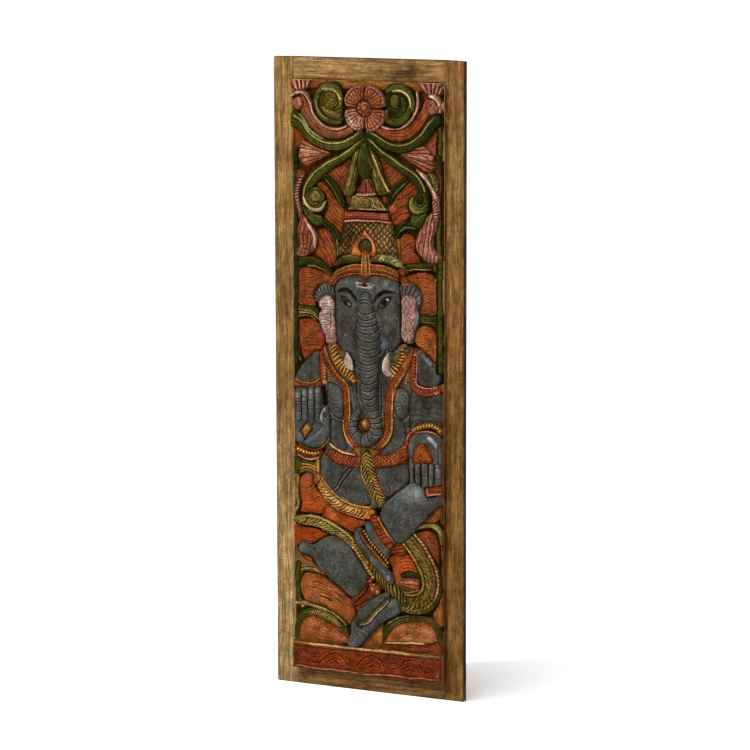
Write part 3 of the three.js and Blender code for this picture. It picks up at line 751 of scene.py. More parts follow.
def right_fill(c):
    """The petals and folds at the right edge beside the knee and the feathers."""
    c.band([(125, -160), (124, -178), (124, -196)], 3.4, 17, "green", 1.6)
    c.area([(123, -174), (115, -177), (108, -184), (100, -192), (92, -198), (104, -199),
            (114, -196), (122, -189)], 17.6, "ochre", edge=1.2)
    c.tint((112, -184), (8, 6), (176, 96, 42), 0.5)
    c.band([(90, -200), (98, -200), (106, -201)], 1.6, 18, "umber", 1.2)
    c.band([(80, -210), (90, -204.5), (102, -202.5), (113, -204), (121, -212), (124, -226)],
           [2.4, 3.4, 3.8, 4.2, 4.4, 4], 18.6, "olive", 2.0)
    c.tint((112, -206), (10, 4), (146, 138, 78), 0.5)
    c.tint((121, -222), (4, 10), (74, 70, 26), 0.7)
    c.stroke([(108, -203), (116, -207), (122, -214)], 1.6, (190, 178, 116), 18.6, 0.7)
    c.area([(80, -215), (90, -212), (102, -211), (111, -215), (116, -225), (118, -240), (118, -256),
            (112, -250), (104, -240), (95, -229), (87, -221)], 18, "rust", dome=1.6, reach=8)
    c.tint((105, -232), (10, 12), (176, 104, 46), 0.5)
    c.tint((92, -220), (8, 4), (176, 88, 54), 0.6)
    c.hatch((102, -230), (10, 14), -40, 24)
    for line in ([(94, -220.6), (102, -220.8), (109, -220)],
                 [(98, -227), (105, -228), (112, -227)]):
        c.cut(line, 1.2, 0.8, 18, 0.5)
    c.boss((106, -234), 1.8, 18.8, "ochre", 0.8)
    c.stroke([(112, -216), (117, -228), (118, -242)], 1.3, (206, 150, 90), 18, 0.6)
    c.tint((119, -254), (4, 6), (110, 40, 20), 0.6)
    c.area([(126, -300), (122, -310), (116, -320), (110, -332), (116, -342), (126, -346)], 17.4,
           "ochre", edge=1.2)
    c.tint((119, -328), (6, 9), (206, 140, 56), 0.7)
    c.band([(124, -232), (125, -262), (125, -290)], 2.4, 16.6, "umber", 1.2)


def feather_train(c):
    """The feathered end of the cloth that curls round under the foot."""
    body = [(56, -226), (64, -218), (76, -213), (84, -219), (93, -228), (102, -239), (110, -252),
            (117, -267), (121, -283), (122, -300), (117, -314), (108, -324), (96, -331), (80, -334),
            (62, -331), (50, -323), (44, -312), (52, -304), (66, -303), (78, -305), (88, -303),
            (94, -294), (94, -282), (88, -268), (78, -252), (66, -238)]
    c.area(body, 19.6, "moss", dome=1.6, reach=8)
    c.tint((106, -296), (12, 20), (110, 78, 30), 0.7)
    c.tint((76, -318), (24, 9), (62, 54, 16), 0.8)
    c.dirt_and_shade((70, -312), (22, 10), 0.4)
    inner = [(62, -232), (74, -246), (84, -260), (92, -276), (94, -291), (88, -302), (76, -306),
             (60, -305)]
    middle = [(72, -224), (84, -238), (95, -254), (103, -271), (106, -289), (100, -306), (86, -317),
              (66, -319)]
    outer = [(80, -217), (93, -231), (105, -248), (114, -268), (118, -288), (113, -308), (98, -323),
             (76, -329)]
    # long barbs that leave the vein on both sides and bend backwards
    pale = (196, 160, 78)
    for way in (1, -1):
        reach = 12 * way
        c.ticks(middle, 6.4, reach, 1.1 * way, pale, 2.2, 20, 0.9, 0.3 * way)
        c.notches(beside(middle, -1.0), 6.4, reach, 1.2 * way, 1.9, 1.0, 20, 0.8, 0.3 * way)
    c.band(inner, [1.6, 2.0, 2.2, 2.4, 2.6, 2.4, 2.0, 1.6], 21.4, "olive", 1.6)
    c.cut(beside(inner, 3.0), 1.4, 1.0, 20.5, 0.85)
    # the scales along the back, from the knee down
    line = beside(outer[:6], -7.0)
    for k, (x, z) in enumerate(line[:-1]):
        nx, nz = line[k + 1]
        for share in (0.0, 0.5):
            c.boss((x + share * (nx - x), z + share * (nz - z)), (4.8, 3.4), 21.4, "tan", 2.2, -60)
    c.band(outer, [1.6, 2.0, 2.2, 2.2, 2.2, 2.2, 2.0, 1.4], 21.2, "tan", 1.6)
    c.notches(beside(outer, -2.0), 6.0, 4.6, 0.5, 2.0, 1.2, 21.2, 0.9)
    c.stroke(beside(outer[:6], 0.6), 1.3, (236, 190, 120), 21.2, 0.7)
    c.cut(beside(outer, -3.4), 1.6, 1.1, 20.5, 0.9)
    c.hatch((100, -290), (16, 30), -40, 50, (150, 104, 44), (40, 26, 8))
    c.dirt_and_shade((88, -312), (30, 16), 0.64)
    c.dirt_and_shade((108, -280), (12, 30), 0.3)
    c.dirt_and_shade((84, -250), (22, 14), 0.3, -50)


def orange_folds(c):
    """The orange cloth that hangs by the right knee."""
    c.area([(36, -258), (44, -252), (52, -247), (60, -242), (70, -248), (78, -258), (85, -270),
            (89, -284), (87, -297), (76, -304), (60, -300), (50, -292), (46, -280), (44, -268)], 19,
           "saffron", dome=1.4, reach=8)
    c.tint((56, -262), (10, 9), (176, 100, 44), 0.6)
    c.tint((74, -266), (10, 7), (176, 84, 66), 0.55)
    for k in range(6):
        z = -248 - 4.6 * k
        c.cut([(57 + k, z - 3), (66 + 1.6 * k, z), (76 + 2.0 * k, z - 2)], 1.4, 1.1, 19, 0.65)
    c.tint((75, -279), (14, 3.6), (38, 50, 26), 0.95)
    c.band([(62, -279), (74, -276.5), (87, -277)], [3, 4.6, 4], 19, "deepgreen", 1.6)
    c.cut([(60, -275), (72, -272.6), (86, -272.6)], 1.4, 1.1, 19, 0.8)
    c.band([(59, -289), (72, -287.6), (84, -288.4)], [2.6, 3.6, 3], 20, "rose", 1.6)
    c.tint((72, -289), (13, 3), (214, 124, 84), 0.8)
    c.band([(57, -295), (68, -298.5), (78, -299)], [1.8, 2.6, 1.8], 19, "green", 1.2)
    c.band([(58, -299.5), (68, -303), (80, -300.6), (87, -298)], 1.1, 19.6, "tan", 1.0)
    c.cut([(52, -293), (57, -296)], 2.4, 1.6, 19, 0.9)
    c.tint((50, -284), (5, 12), (186, 112, 50), 0.6)


def rope_folds(c):
    """The twisted cloth between the crossed feet."""
    c.band([(14, -270), (22, -281), (32, -291), (43, -300), (54, -308), (64, -316)],
           [8, 11, 11, 10, 9, 8], 19.6, "moss", 2.4, texture=ribs(6.6, 1.9, 0.9, 0.9))
    c.tint((22, -283), (12, 9), (140, 112, 60), 0.6)
    c.tint((36, -300), (12, 6), (124, 84, 42), 0.6)


def left_leg(c):
    """The left leg, from the knee to the anklet."""
    c.area([(-110, -254), (-106, -247), (-99, -244), (-91, -247), (-83, -246), (-75, -240),
            (-65, -234), (-53, -231), (-42, -233), (-31, -240), (-20, -250), (-11, -262),
            (-2, -274), (5, -284), (8, -294), (3, -302), (-7, -311), (-15, -318), (-25, -317),
            (-37, -308), (-50, -300), (-62, -292), (-71, -284), (-80, -276), (-87, -267),
            (-98, -262), (-107, -260)], 23.4, "grey", dome=3.6, reach=20, edge=1.6)
    # a painted highlight on the top of the thigh
    c.tint((-101, -252), (8, 6), (116, 120, 124), 0.7)
    c.tint((-86, -262), (8, 8), (84, 70, 56), 0.6)
    c.dirt_and_shade((-84, -256), (12, 14), 0.45)
    c.specks((-50, -276), (30, 22), 90)
    c.specks((-20, -304), (22, 20), 60)
    c.dirt_and_shade((-24, -290), (30, 14), 0.4, -35)
    c.dirt_and_shade((-2, -288), (10, 16), 0.35, -40)
    # a painted highlight along the top of the leg
    c.tint((-44, -244), (20, 6), (120, 118, 106), 0.5)
    c.tint((-52, -262), (24, 12), (88, 90, 84), 0.4)
    c.tint((-30, -276), (20, 14), (84, 86, 84), 0.4)
    c.tint((-16, -300), (14, 8), (70, 62, 44), 0.5)
    c.tint((-76, -276), (5, 4), (64, 84, 62), 0.6)
    c.tint((-50, -296), (24, 5), (56, 50, 40), 0.5, -30)
    c.cut([(-94, -249), (-88, -252), (-82, -253)], 2.4, 0.8, 23, 0.5)
    c.cut([(-88, -264), (-82, -268), (-78, -274)], 2.4, 0.9, 23, 0.5)


def anklet_left(c):
    """The beaded anklet over the left foot."""
    c.band([(8, -290), (6, -300), (0, -309), (-8, -316), (-17, -322)], [4, 5, 5.4, 5.4, 4.6], 22.4,
           "red", 2.0, texture=ribs(6, 0.7, 0.3, 2))
    c.tint((-12, -322), (9, 5), (104, 36, 20), 0.7)
    c.beads([(10, -292), (6, -303), (-1, -312), (-10, -319)], 1.7, 23.6, "copper", 4.4, 1.3)
    c.area([(8, -294), (18, -296), (25, -300), (24, -308), (16, -313), (6, -318), (-2, -324),
            (-12, -330), (-18, -328), (-8, -318), (2, -308)], 21, "brick", dome=1.4, reach=5)
    c.boss((12, -303), (3.4, 3.8), 23, "gold", 2.0)
    c.boss((20, -307), (3.2, 4), 22, "gold", 1.6)
    c.stroke([(6, -298), (9, -292)], 1.8, (226, 160, 120), 23, 0.7)
    c.boss((14, -297), (3, 2.2), 22.4, "copper", 1.4)
    c.area([(-14, -332), (-4, -327), (6, -319), (14, -315), (10, -322), (0, -330), (-10, -337)],
           19.6, "ochre", edge=1)


def left_foot(c):
    """The left foot with its toes."""
    c.area([(-29, -389), (-28, -381), (-23, -371), (-23, -356), (-16, -346), (-11, -336),
            (-1, -329), (9, -319), (19, -312), (29, -308), (37, -307), (40, -314), (48, -316),
            (54, -322), (57, -329), (52, -336), (43, -341), (35, -346), (25, -353), (16, -362),
            (6, -371), (1, -379), (-7, -386), (-12, -392), (-20, -393)], 22.6, "grey", dome=2.8,
           reach=11, edge=1.4)
    c.tint((0, -342), (18, 10), (92, 84, 78), 0.5, 40)
    c.dirt_and_shade((-6, -346), (18, 12), 0.4, 40)
    c.dirt_and_shade((30, -336), (14, 8), 0.3, 40)
    c.tint((28, -312), (8, 4), (84, 92, 96), 0.5)
    c.tint((10, -318), (8, 5), (84, 92, 66), 0.5)
    # a bluish painted highlight on the foot
    c.tint((47, -334), (5, 5), (78, 116, 140), 0.9)
    c.tint((46, -321), (8, 4), (176, 172, 158), 0.7)
    c.tint((-8, -372), (12, 10), (126, 126, 122), 0.5, 45)
    c.tint((-16, -352), (9, 5), (36, 46, 38), 0.8)
    c.tint((-22, -366), (4, 8), (92, 66, 64), 0.7)
    c.tint((-20, -386), (6, 5), (124, 122, 142), 0.7)
    c.cut([(-21, -385), (-19, -380), (-23, -379)], 1.4, 1.0, 22, 0.8)
    c.cut([(40, -314), (34, -318), (24, -328)], 1.4, 0.9, 22, 0.6)
    # the chain over the foot: light beads on a dark bed
    chain = [(37, -317), (30, -325), (21, -333), (13, -342), (6, -350), (-1, -355), (-9, -356)]
    c.band(chain, 4.2, 22.2, "umber", 1.0, "flat")
    c.stroke(chain, 7.0, (34, 30, 16), 22.2, 0.8, 1.0)
    c.beads(beside(chain, 1.5), 1.35, 23.6, "ivory", 3.7, 1.4)
    c.beads(beside(chain, -2.0), 1.2, 23.2, "olive", 3.9, 1.2)
    c.tint((32, -322), (5, 3), (52, 104, 44), 0.8, -45)
    c.tint((-8, -355), (6, 3), (46, 74, 40), 0.8)
    for line in ([(-4, -362), (2, -366), (6, -368)], [(-8, -367), (-2, -372), (2, -376)],
                 [(-12, -372), (-7, -378), (-4, -382)]):
        c.cut(line, 1.6, 0.9, 22.2, 0.5)


def crossed_leg(c):
    """The leg that is folded in front, with its foot."""
    # the foot that crosses in front
    c.area([(0, -208), (8, -206), (14, -208), (22, -220), (32, -232), (42, -242), (40, -251),
            (35, -259), (25, -249), (13, -235), (4, -222)], 21.4, "grey", dome=2.0, reach=7)
    # a bluish painted highlight on the top of the foot
    c.tint((6, -214), (5, 6), (110, 156, 186), 0.85)
    c.tint((26, -236), (8, 8), (98, 104, 90), 0.5)
    c.area([(-18, -224), (-13, -216), (-6, -216), (-4, -226), (2, -238), (10, -248), (20, -258),
            (30, -267), (38, -272), (44, -279), (47, -287), (42, -292), (35, -290), (28, -283),
            (16, -272), (6, -262), (-3, -251), (-10, -243), (-16, -236)], 22.4, "grey", dome=2.4,
           reach=7)
    c.tint((-12, -226), (4, 8), (112, 124, 112), 0.6)
    c.tint((4, -252), (8, 10), (70, 58, 62), 0.7, -45)
    c.cut([(1, -247), (4, -254), (8, -260)], 2.0, 1.2, 22, 0.9)
    c.boss((39, -284), (5, 5.4), 23.2, "grey", 2.0)
    c.tint((39, -284), (4, 4), (176, 168, 190), 0.9)
    c.cut([(36, -285), (39, -282), (42, -286)], 1.4, 1.0, 23, 0.9)
    c.stroke([(30, -273), (35, -280)], 1.8, (150, 152, 148), 22.4, 0.6)
    c.cut([(27, -268), (33, -275), (36, -279)], 1.5, 1.0, 22.4, 0.7)
    # the anklet: two rows of uneven beads
    upper = [(-3, -217), (4, -228), (13, -239), (24, -249), (33, -257), (38, -264)]
    lower = [(-8, -221), (-3, -231), (5, -241), (15, -251), (26, -261), (36, -269)]
    c.band(beside(lower, 1.0), [2.4, 3, 3.2, 3.2, 3, 2.4], 22.8, "brick", 1.2)
    c.stroke(upper, 6.5, (44, 34, 20), 22.4, 0.8, 1.0)
    c.stroke(lower, 4.5, (84, 44, 20), 22.8, 0.5, 1.0)
    c.beads(upper, (1.6, 2.2), 24, "gold", 4.8, 1.6)
    c.beads(beside(lower, 1.0), (1.5, 1.7), 24.2, "tan", 4.6, 1.6)
    c.stroke([(2, -224), (8, -232), (12, -238)], 2.6, (236, 214, 170), 23.6, 0.7)
    c.cut(beside(lower, -2.4), 1.6, 1.4, 22.6, 0.9)
    c.cut(beside(upper, 2.6), 1.4, 1.0, 22, 0.8)
    # the red hem
    c.band([(14, -199), (20, -210), (28, -222), (38, -233), (50, -241), (60, -245)],
           [5.4, 6.6, 7, 7, 6.4, 5], 22.4, "brick", 2.0, texture=ribs(8.5, 1.2, -0.3, 3))
    c.tint((30, -226), (12, 10), (176, 96, 56), 0.4)
    c.band([(22, -198), (30, -212), (40, -224), (50, -232), (58, -235)], 1.6, 23, "tan", 1.2)
    c.stroke([(26, -206), (36, -220), (46, -230)], 1.5, (226, 158, 106), 23, 0.7)
    c.cut([(12, -206), (18, -216)], 1.6, 1.2, 22, 0.8)
    c.area([(50, -233), (58, -232), (66, -242), (62, -250), (50, -250), (42, -246)], 21, "rust",
           dome=1.2, reach=4, texture=lines(5, 0.9, 20, 2))
    # the gold twist under the leg
    c.beads([(-20, -243), (-13, -251), (-6, -260), (1, -269), (8, -279), (14, -288)], 2.5, 22.6,
            "gold", 5.2, 1.8)
    c.stroke([(-20, -243), (-10, -255), (0, -268), (10, -282)], 3.6, (158, 140, 70), 22.6, 0.45)


def right_knee(c):
    """The knee on the right."""
    c.area([(24, -194), (27, -184), (34, -174), (44, -165), (56, -156), (66, -148), (75, -142.5),
            (84, -145), (92, -150), (98, -156), (100, -163), (108, -162), (118, -159), (126, -160),
            (126, -171), (118, -174), (109, -181), (101, -188), (94, -196), (86, -203), (78, -213),
            (70, -222), (62, -229), (55, -233), (48, -231), (41, -224), (34, -214), (27, -203)], 24,
           "grey", dome=3.6, reach=20, edge=1.6)
    # pale and bluish painted highlight on the top of the knee
    c.tint((82, -158), (22, 12), (176, 184, 186), 0.85, -15)
    c.tint((62, -160), (14, 10), (124, 128, 142), 0.55)
    c.tint((46, -172), (8, 10), (92, 106, 118), 0.55, 40)
    c.tint((58, -186), (24, 18), (88, 90, 84), 0.4)
    c.dirt_and_shade((62, -206), (30, 16), 0.3, 35)
    c.specks((64, -188), (28, 28), 80)
    c.dirt_and_shade((104, -168), (18, 12), 0.35, 20)
    c.dirt_and_shade((34, -190), (9, 14), 0.4)
    c.tint((48, -218), (8, 8), (82, 96, 110), 0.6)
    c.tint((114, -168), (9, 6), (110, 108, 104), 0.5)
    c.tint((90, -186), (12, 10), (90, 84, 76), 0.4)
    c.tint((31, -196), (4, 10), (74, 90, 84), 0.5)
    c.tint((72, -208), (8, 10), (80, 80, 76), 0.5)
    c.cut([(96, -168), (103, -166), (112, -166.4)], 2.2, 0.8, 23.6, 0.4)
    c.cut([(70, -146), (63, -152), (52, -160), (40, -169)], 2.2, 0.8, 23, 0.4)
    # the cuff above the shin
    c.area([(97, -148), (104, -147), (114, -145), (126, -142), (126, -157), (116, -157.6),
            (106, -160), (101, -163), (98, -157)], 20.4, "rust", dome=1.4, reach=5)
    c.tint((118, -149), (9, 4), (170, 52, 30), 0.75)
    c.band([(103, -158.4), (112, -156.4), (124, -156)], 1.5, 21.2, "copper", 1.2)
    c.stroke([(100, -150), (102, -158), (112, -156.4), (122, -156)], 1.8, (244, 186, 130), 21.2,
             0.7)
    c.cut([(104, -154), (113, -152.6), (124, -152.6)], 1.4, 1.1, 20.4, 0.7)


def plinth(c):
    """The dark red band along the bottom, with its waves."""
    c.area([(-124, -391.5), (127, -391.5), (127, -436), (-124, -436)], 22.5, "plinth", edge=1.0,
           closed_smooth=False, wall=1.0)
    c.band([(-120, -393.6), (-50, -393.4), (20, -393), (80, -392.6), (124, -391.6)], 2.0, 23.4,
           "tan", 1.2)
    c.stroke([(-100, -393.6), (-20, -393.6), (-2, -393), (50, -392.4), (72, -392.4)], 2.4,
             (236, 186, 126), 23.4, 0.7)
    c.tint((100, -394), (24, 4), (150, 96, 72), 0.7)
    c.tint((-104, -395), (16, 5), (110, 36, 22), 0.7)
    c.cut([(-118, -397.6), (-60, -398.4), (0, -397), (60, -396.6), (122, -396.4)], 1.7, 1.3, 22.5,
          0.75)
    c.band([(-114, -428), (-60, -428.4), (0, -428), (60, -427), (118, -426)], 1.5, 23, "copper",
           1.2)
    c.stroke([(-86, -428.4), (-30, -428.6), (20, -427.4), (60, -426.8)], 1.5, (208, 140, 96), 23,
             0.6)
    c.cut([(-118, -425), (-40, -425.6), (40, -424.4), (120, -423)], 1.2, 0.8, 22.5, 0.5)
    arcs = [[(-74, -419.6), (-70, -416), (-65, -410.6), (-58, -405.6), (-48, -403), (-40, -406),
             (-34, -412), (-27, -418.6), (-18, -420)],
            [(-62, -418), (-57, -413.6), (-49, -410.4), (-42, -412.6), (-36, -417.6)],
            [(-57, -419), (-52, -416), (-47, -415.6), (-42, -418.4)],
            [(-88, -419.4), (-80, -420), (-74, -419.6)],
            [(-14, -419), (-8, -412), (-2, -405.6), (6, -401.6), (14, -401), (22, -404.6),
             (28, -411), (33, -417)], [(3, -414.4), (8, -410.4), (14, -409), (21, -411),
                                       (25, -415)], [(8, -417.6), (13, -415.6), (18, -417)],
            [(44, -417.6), (52, -415), (59, -409), (65, -403.4), (73, -401), (82, -403),
             (89, -408.4), (94, -414), (100, -417.6)],
            [(64, -414.6), (70, -410), (77, -409), (83, -411.6), (87, -416)],
            [(66, -418), (71, -415.4), (77, -415.4), (81, -418)],]
    c.hatch((0, -411), (116, 13), 2, 150, (190, 92, 44), (70, 18, 6))
    for line in arcs:
        c.cut(line, 2.0, 1.5, 22.5, 0.75)
    for k in range(5):
        r = 6 + 4.2 * k
        c.cut(curl((96, -403), r, r, -75, 75), 1.6, 1.1, 22.5, 0.6)
    for k in range(4):
        c.cut([(21 + 2.2 * k, -402 - 1.2 * k), (25 + 2.2 * k, -406.4 - 1.2 * k)], 1.0, 0.7, 22.5,
              0.5)
        c.cut([(21 + 2.2 * k, -406 - 1.2 * k), (25 + 2.2 * k, -402 - 1.2 * k)], 1.0, 0.7, 22.5, 0.5)
    c.cut([(42, -404), (48, -403), (54, -404.6)], 1.4, 0.9, 22.5, 0.5)
    c.cut([(40, -409), (47, -407.6), (54, -409.4)], 1.4, 0.9, 22.5, 0.5)
    c.cut([(-96, -405), (-84, -407), (-72, -406)], 1.4, 0.8, 22.5, 0.5)
    c.cut([(-92, -412), (-80, -413)], 1.4, 0.8, 22.5, 0.5)
    for x, z in ((-110, -402), (-104, -404), (-108, -408), (-112, -414), (-106, -416), (-103, -411),
                 (-110, -420), (-104, -422), (-114, -406), (-114, -421)):
        c.boss((x, z), 2.2, 23.4, "plinth", 1.4)
        c.tint((x - 0.5, z + 0.5), 1.6, (186, 104, 84), 0.6)
    c.tint((-90, -403), (14, 6), (126, 50, 40), 0.6)
    c.tint((14, -410), (16, 6), (134, 60, 44), 0.5)
    c.tint((46, -408), (12, 7), (142, 66, 20), 0.6)
    c.tint((-30, -400), (30, 4), (140, 62, 26), 0.5)
    c.tint((112, -406), (7, 12), (116, 34, 18), 0.7)
    c.tint((106, -421), (12, 4), (146, 40, 30), 0.6)
    c.tint((-66, -421), (16, 5), (144, 58, 26), 0.5)
    c.tint((0, -424), (20, 4), (150, 82, 40), 0.4)
    c.tint((118, -420), (4, 10), (176, 110, 76), 0.6)


def draw_ground(c):
    """The colours of the bare ground between the forms."""
    c.wash(160, 430, "clay")
    c.wash(-20, 160, "deepgreen")
    c.wash(-440, -20, "ground")


def draw_low(c):
    """What lies behind, from the plinth to the knees."""
    lower_left_petals(c)
    lower_left_arch(c)
    lower_right_arch(c)
    right_fill(c)


def draw_low_front(c):
    """What lies in front, from the plinth to the knees."""
    feather_train(c)
    orange_folds(c)
    rope_folds(c)
    left_leg(c)
    anklet_left(c)
    left_foot(c)
    crossed_leg(c)
    right_knee(c)
    plinth(c)


def belly(c):
    """The round belly."""
    c.area([(-72, -118), (-62, -112), (-40, -120), (-10, -122), (-2, -134), (4, -150), (6, -166),
            (8, -180), (-10, -184), (-26, -181), (-40, -176), (-52, -168), (-62, -160), (-71, -151),
            (-72, -134)], 21, "grey", dome=2.6, reach=18)
    c.tint((-30, -150), (30, 18), (72, 74, 60), 0.4)
    c.dirt_and_shade((-36, -146), (36, 30), 0.42)
    c.dirt_and_shade((-26, -160), (14, 16), 0.55)
    c.dirt_and_shade((-10, -130), (10, 14), 0.5)
    c.specks((-32, -148), (34, 26), 110)
    c.tint((-64, -124), (6, 5), (88, 110, 112), 0.6)
    c.tint((0, -174), (9, 6), (66, 56, 62), 0.6)
    c.cut([(-17, -127), (-24, -129), (-32, -136), (-39, -146), (-46, -157), (-50, -161)], 2.8, 1.8,
          21, 0.95)
    c.cut([(-20, -131), (-26, -138), (-32, -146), (-38, -154), (-42, -161), (-46, -164)], 2.8, 1.8,
          21, 0.95)
    c.cut([(-62, -138), (-58, -136)], 1.6, 0.9, 21, 0.6)
    # the right hip
    c.area([(14, -126), (30, -124), (48, -121), (62, -116), (70, -124), (71, -138), (64, -148),
            (52, -158), (40, -166), (32, -178), (24, -176), (20, -150)], 20.4, "grey", dome=1.8,
           reach=12)
    c.tint((40, -146), (16, 10), (88, 86, 74), 0.5)
    c.dirt_and_shade((48, -136), (26, 22), 0.42)
    c.specks((42, -142), (24, 22), 60)
    c.tint((30, -133), (8, 5), (92, 98, 88), 0.6)
    c.cut([(40, -150), (41, -158)], 3.4, 1.2, 20.4, 0.5)
    c.tint((64, -134), (6, 6), (92, 82, 40), 0.6)


def belts(c):
    """The belts over the belly."""
    c.area([(-63, -110), (-55, -105), (-44, -107), (-30, -111), (-18, -112), (-6, -113), (-5, -121),
            (-12, -127), (-26, -127), (-40, -125), (-50, -121), (-57, -116)], 21.6, "red", dome=1.2,
           reach=4)
    c.ticks([(-57, -107), (-42, -109), (-26, -113), (-8, -115)], 4.6, -9, -0.6, (224, 122, 70), 1.6,
            21.6, 0.8, 0.3)
    c.notches([(-59, -107), (-44, -109), (-28, -113), (-10, -115)], 4.6, -9, -0.6, 1.9, 1.2, 21.6,
              0.85, 0.3)
    c.hatch((-36, -117), (26, 7), 50, 34)
    c.tint((-14, -121), (8, 5), (136, 44, 44), 0.7)
    c.tint((-40, -116), (14, 5), (150, 62, 28), 0.5)
    c.band([(-56, -96), (-50, -101), (-43, -105), (-34, -108), (-24, -109), (-16, -109.4)], 1.3, 22,
           "gold", 1.2)
    c.stroke([(-52, -99.5), (-42, -105), (-32, -108), (-20, -109)], 1.8, (240, 204, 160), 22, 0.85)
    c.stroke([(-14, -127), (-8, -124)], 2, (216, 160, 100), 21.6, 0.6)
    c.area([(16, -108), (32, -107.5), (44, -103), (54, -97.5), (62, -91), (68, -92), (68, -112),
            (60, -116), (46, -119.5), (30, -122), (12, -127), (8, -120)], 21.6, "rust", dome=1.2,
           reach=5, texture=lines(5.4, 0.5, 28))
    c.ticks([(16, -111), (32, -110), (48, -105), (64, -98)], 4.8, -10, 0.6, (230, 134, 66), 1.6,
            21.6, 0.8, -0.3)
    c.notches([(14, -111), (30, -110), (46, -105), (62, -98)], 4.8, -10, 0.6, 1.9, 1.2, 21.6, 0.85,
              -0.3)
    c.hatch((40, -113), (24, 7), -50, 34)
    c.tint((60, -106), (6, 7), (124, 30, 16), 0.85)
    c.tint((62, -112), (5, 3), (150, 56, 44), 0.7)
    c.tint((30, -116), (14, 5), (168, 84, 40), 0.6)
    c.stroke([(50, -100), (58, -95), (65, -92)], 2.0, (216, 138, 86), 21.6, 0.7)
    c.stroke([(48, -105), (58, -99), (66, -97)], 1.6, (206, 124, 80), 21.6, 0.6)
    c.area([(-18, -99), (-6, -97), (10, -98), (24, -101), (20, -108), (10, -114), (-2, -115),
            (-12, -109)], 21.4, "ochre", dome=1.4, reach=6)
    c.tint((4, -104), (14, 5), (186, 112, 44), 0.6)
    c.tint((-10, -104), (6, 4), (206, 150, 84), 0.5)


def sash(c):
    """The sash that falls from the belts."""
    c.band([(2, -108), (5, -124), (9, -140), (15, -155), (22, -168), (29, -180)],
           [9, 11, 11, 10, 9, 6], 22.2, "olive", 2.0, texture=barbs(5.8, 1.5, -0.9, 1.0))
    c.tint((3, -116), (9, 10), (166, 128, 58), 0.6)
    c.tint((20, -160), (8, 16), (128, 96, 42), 0.5)
    c.tint((6, -136), (6, 12), (118, 90, 30), 0.5)
    c.dirt_and_shade((8, -150), (5, 22), 0.45, 20)
    c.hatch((10, -142), (8, 34), -70, 44, (206, 170, 92), (40, 32, 10))
    c.beads([(17, -136), (21, -148), (27, -160), (32, -170)], 1.8, 22.6, "copper", 4.6, 1.2)
    c.cut([(-6, -112), (-6, -130), (-2, -143), (5, -155), (12, -168), (20, -180)], 1.8, 1.6, 21.5,
          0.8)
    c.band([(-5, -124), (-4, -138), (2, -150), (9, -163), (17, -176)], 1.3, 22, "tan", 1.2)
    c.cut([(2, -150), (10, -164), (19, -178)], 1.2, 0.9, 22, 0.6)


def waistband(c):
    """The waistband under the belly."""
    c.band([(-76, -148), (-70, -160), (-61, -171), (-50, -180), (-37, -187), (-22, -191.5),
            (-6, -193.5), (10, -194)], [4.4, 6.4, 7.2, 7.2, 7.4, 7.6, 7.8, 7], 22, "gold", 1.5)
    c.stroke([(-66, -166), (-57, -175), (-44, -183.4), (-32, -188), (-20, -190)], 8.0,
             (232, 156, 84), 22, 0.7, 2)
    c.stroke([(-66, -165), (-57, -174), (-44, -182), (-32, -187), (-20, -189)], 4.2,
             (255, 212, 140), 22, 0.8, 2)
    low_edge = [(-78, -156), (-70, -167), (-60, -178), (-48, -187), (-36, -193), (-22, -197.4),
                (-6, -199)]
    c.notches(low_edge, 6.0, 8.5, 0.9, 2.4, 1.4, 22, 1.0, -0.25)
    c.notches(beside(low_edge, 9), 6.4, 4.5, 0.9, 1.6, 0.9, 22, 0.7, 0.2)
    c.hatch((-52, -178), (26, 8), -40, 30, (255, 226, 160), (170, 90, 40))
    c.tint((-44, -183), (26, 7), (226, 152, 84), 0.45, -28)
    c.tint((-2, -194), (12, 5), (170, 84, 34), 0.7)
    c.tint((-70, -160), (6, 6), (196, 132, 84), 0.5)
    c.band([(-72, -144), (-66, -153), (-57, -163), (-46, -171.5), (-33, -178.5), (-20, -182.5),
            (-4, -184.5), (10, -184.5)], 1.4, 22.4, "gold", 1.2)
    c.cut([(-70, -148), (-62, -159), (-51, -168.6), (-38, -177), (-26, -181.6)], 1.6, 1.3, 22, 0.85)
    c.stroke([(-62, -160), (-52, -169), (-40, -176.5)], 1.3, (120, 40, 20), 22, 0.8)
    c.stroke([(-68, -150), (-58, -161), (-46, -170), (-34, -177)], 1.2, (222, 160, 110), 22.4, 0.7)
    c.band([(-54, -186), (-42, -192), (-28, -196.6), (-14, -199.4), (0, -201)], 1.3, 22, "copper",
           1.2)
    c.stroke([(-52, -186), (-42, -191.6)], 1.8, (236, 196, 140), 22, 0.8)
    c.area([(-76, -140), (-70, -143), (-72, -152), (-78, -157), (-84, -154), (-80, -146)], 19.5,
           "ochre", dome=1, reach=4)
    c.stroke([(-76, -145), (-72, -152)], 2.0, (240, 212, 170), 20.5, 0.7)


